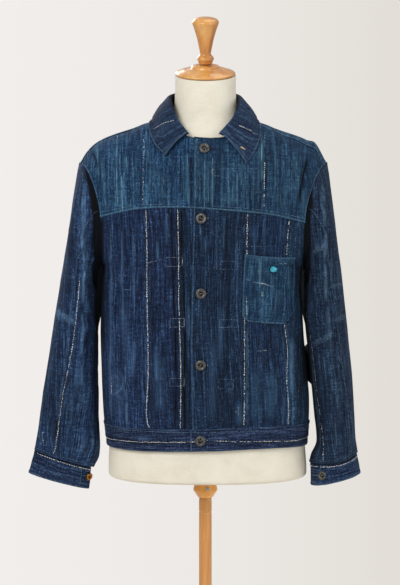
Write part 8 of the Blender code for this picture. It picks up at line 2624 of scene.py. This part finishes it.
def sleeve_scatter(rng):
    for _ in range(150):
        a = rng.uniform(8, 118) if rng.uniform() < 0.6 else rng.uniform(232, 352)
        t = rng.uniform(0.12, 0.95)
        long = rng.uniform(0.010, 0.070)
        t0, t1 = max(t - long, 0.11), min(t + long, 0.965)
        if t1 - t0 > 0.012:
            yield a, t0, t1


def back_scatter(rng):
    for _ in range(170):
        x, z = rng.uniform(-0.165, 0.165), rng.uniform(0.965, 1.315)
        long = rng.uniform(0.006, 0.055)
        z0, z1 = max(z - long, 0.955), min(z + long, 1.322)
        if z1 - z0 > 0.006:
            yield x, z0, z1


def back_yoke_scatter(rng):
    for _ in range(120):
        x, z = rng.uniform(-0.185, 0.175), rng.uniform(1.350, 1.440)
        long = rng.uniform(0.008, 0.055)
        z0, z1 = max(z - long, 1.346), min(z + long, 1.452)
        if z1 - z0 > 0.006:
            yield x, z0, z1


for side, key in ((-1, "right"), (1, "left")):
    yarns("pale_yarns_sleeve_" + key, 305 + side, [], lambda pts, s=side: on_sleeve(s, [(t, a) for a, t in pts]), (8, 9), sleeve_scatter)
yarns("pale_yarns_back", 311, [(x, 0.960, x, 1.320, 0.0014, s, 0.0) for x, s in BACK_STREAKS], lambda pts: on_back(pts, back_strips),
      (8, 9), back_scatter)
yarns("pale_yarns_back_yoke", 313, [(x, 1.352, x, 1.450, 0.0016, s, 0.0) for x, s in
      ((-0.160, 0.8), (-0.139, 0.5), (-0.104, 0.6), (-0.066, 0.45), (-0.028, 0.6), (0.026, 0.5), (0.061, 0.65), (0.118, 0.5), (0.151, 0.8))],
      lambda pts: on_back(pts, back_tree), (6, 7), back_yoke_scatter)


# ------------------------------------------------------------------ the cloth pieces, looped over without use
for obj, width, length, area, held in SHEETS:
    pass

# ------------------------------------------------------------------ floor, light and camera
floor_mesh = bpy.data.meshes.new("floor")
steps = 96
ring = [(2.4 * math.cos(2 * math.pi * k / steps), 2.4 * math.sin(2 * math.pi * k / steps), -0.0004) for k in range(steps)]
floor_mesh.from_pydata(ring, [], [tuple(range(steps))])
floor = bpy.data.objects.new("floor", floor_mesh)
bpy.context.scene.collection.objects.link(floor)
t = Tree("pale_floor")
grain = t.noise(t.place(), (3.0, 3.0, 3.0), 3.0, 0.6)
floor_mesh.materials.append(t.finish(t.ramp(grain, [(0.3, lin(232, 228, 222)), (0.7, lin(238, 235, 230))]), 0.85))

world = bpy.data.worlds.new("studio")
bpy.context.scene.world = world
world.use_nodes = True
wt = world.node_tree
wt.nodes.clear()
w_out = wt.nodes.new("ShaderNodeOutputWorld")
w_mix = wt.nodes.new("ShaderNodeMixShader")
w_path = wt.nodes.new("ShaderNodeLightPath")
w_light, w_seen = wt.nodes.new("ShaderNodeBackground"), wt.nodes.new("ShaderNodeBackground")
w_light.inputs["Color"].default_value = (1.0, 0.985, 0.96, 1.0)
w_light.inputs["Strength"].default_value = 0.42
# what the camera sees behind the jacket: a backdrop painted lighter on the left and darker on the right, standing for
# the lamps' falloff; the light it sheds on the scene is the plain w_light
w_coord = wt.nodes.new("ShaderNodeTexCoord")
w_parts = wt.nodes.new("ShaderNodeSeparateXYZ")
w_ramp = wt.nodes.new("ShaderNodeValToRGB")
w_map = wt.nodes.new("ShaderNodeMapRange")
wt.links.new(w_coord.outputs["Generated"], w_parts.inputs[0])
wt.links.new(w_parts.outputs["X"], w_map.inputs[0])
w_map.inputs[1].default_value, w_map.inputs[2].default_value = -0.11, 0.11
wt.links.new(w_map.outputs[0], w_ramp.inputs[0])
e = w_ramp.color_ramp.elements
e[0].position, e[0].color = 0.0, lin(243, 239, 236)
e[1].position, e[1].color = 1.0, lin(224, 220, 212)
mid = e.new(0.45)
mid.color = lin(238, 234, 231)
wt.links.new(w_ramp.outputs[0], w_seen.inputs["Color"])
w_seen.inputs["Strength"].default_value = 1.0
wt.links.new(w_path.outputs["Is Camera Ray"], w_mix.inputs[0])
wt.links.new(w_light.outputs[0], w_mix.inputs[1])
wt.links.new(w_seen.outputs[0], w_mix.inputs[2])
wt.links.new(w_mix.outputs[0], w_out.inputs["Surface"])


def area_light(name, place, aim, size, energy, colour=(1, 1, 1)):
    data = bpy.data.lights.new(name, "AREA")
    data.shape = "SQUARE"
    data.size, data.energy, data.color = size, energy, colour
    obj = bpy.data.objects.new(name, data)
    bpy.context.scene.collection.objects.link(obj)
    obj.location = place
    obj.rotation_euler = (Vector(aim) - Vector(place)).to_track_quat("-Z", "Y").to_euler()
    return obj


area_light("key", (-1.7, -3.1, 3.0), (0.0, 0.0, 1.15), 1.7, 88.0, (1.0, 0.99, 0.97))
area_light("fill", (2.6, -2.8, 1.9), (0.0, 0.0, 1.1), 2.4, 26.0, (0.97, 0.985, 1.0))
area_light("side", (2.9, -0.5, 1.3), (0.0, 0.0, 0.9), 1.4, 12.0, (1.0, 0.985, 0.95))
area_light("back", (-1.4, 2.6, 2.6), (0.0, 0.0, 1.2), 1.8, 45.0)
area_light("top", (0.6, 0.3, 3.4), (0.0, 0.0, 1.3), 1.8, 16.0)

TILT_DOWN = math.radians(4.9)
camera_data = bpy.data.cameras.new("camera")
camera_data.sensor_width, camera_data.lens = 36.0, 2162.0 * 36.0 / 585.0
camera = bpy.data.objects.new("camera", camera_data)
bpy.context.scene.collection.objects.link(camera)
camera.location = (-0.010, -4.0 * math.cos(TILT_DOWN), 1.185 + 4.0 * math.sin(TILT_DOWN))
camera.rotation_euler = (math.radians(90) - TILT_DOWN, 0.0, 0.0)
bpy.context.scene.camera = camera
bpy.context.scene.view_settings.view_transform = "Standard"
bpy.context.scene.view_settings.look = "None"
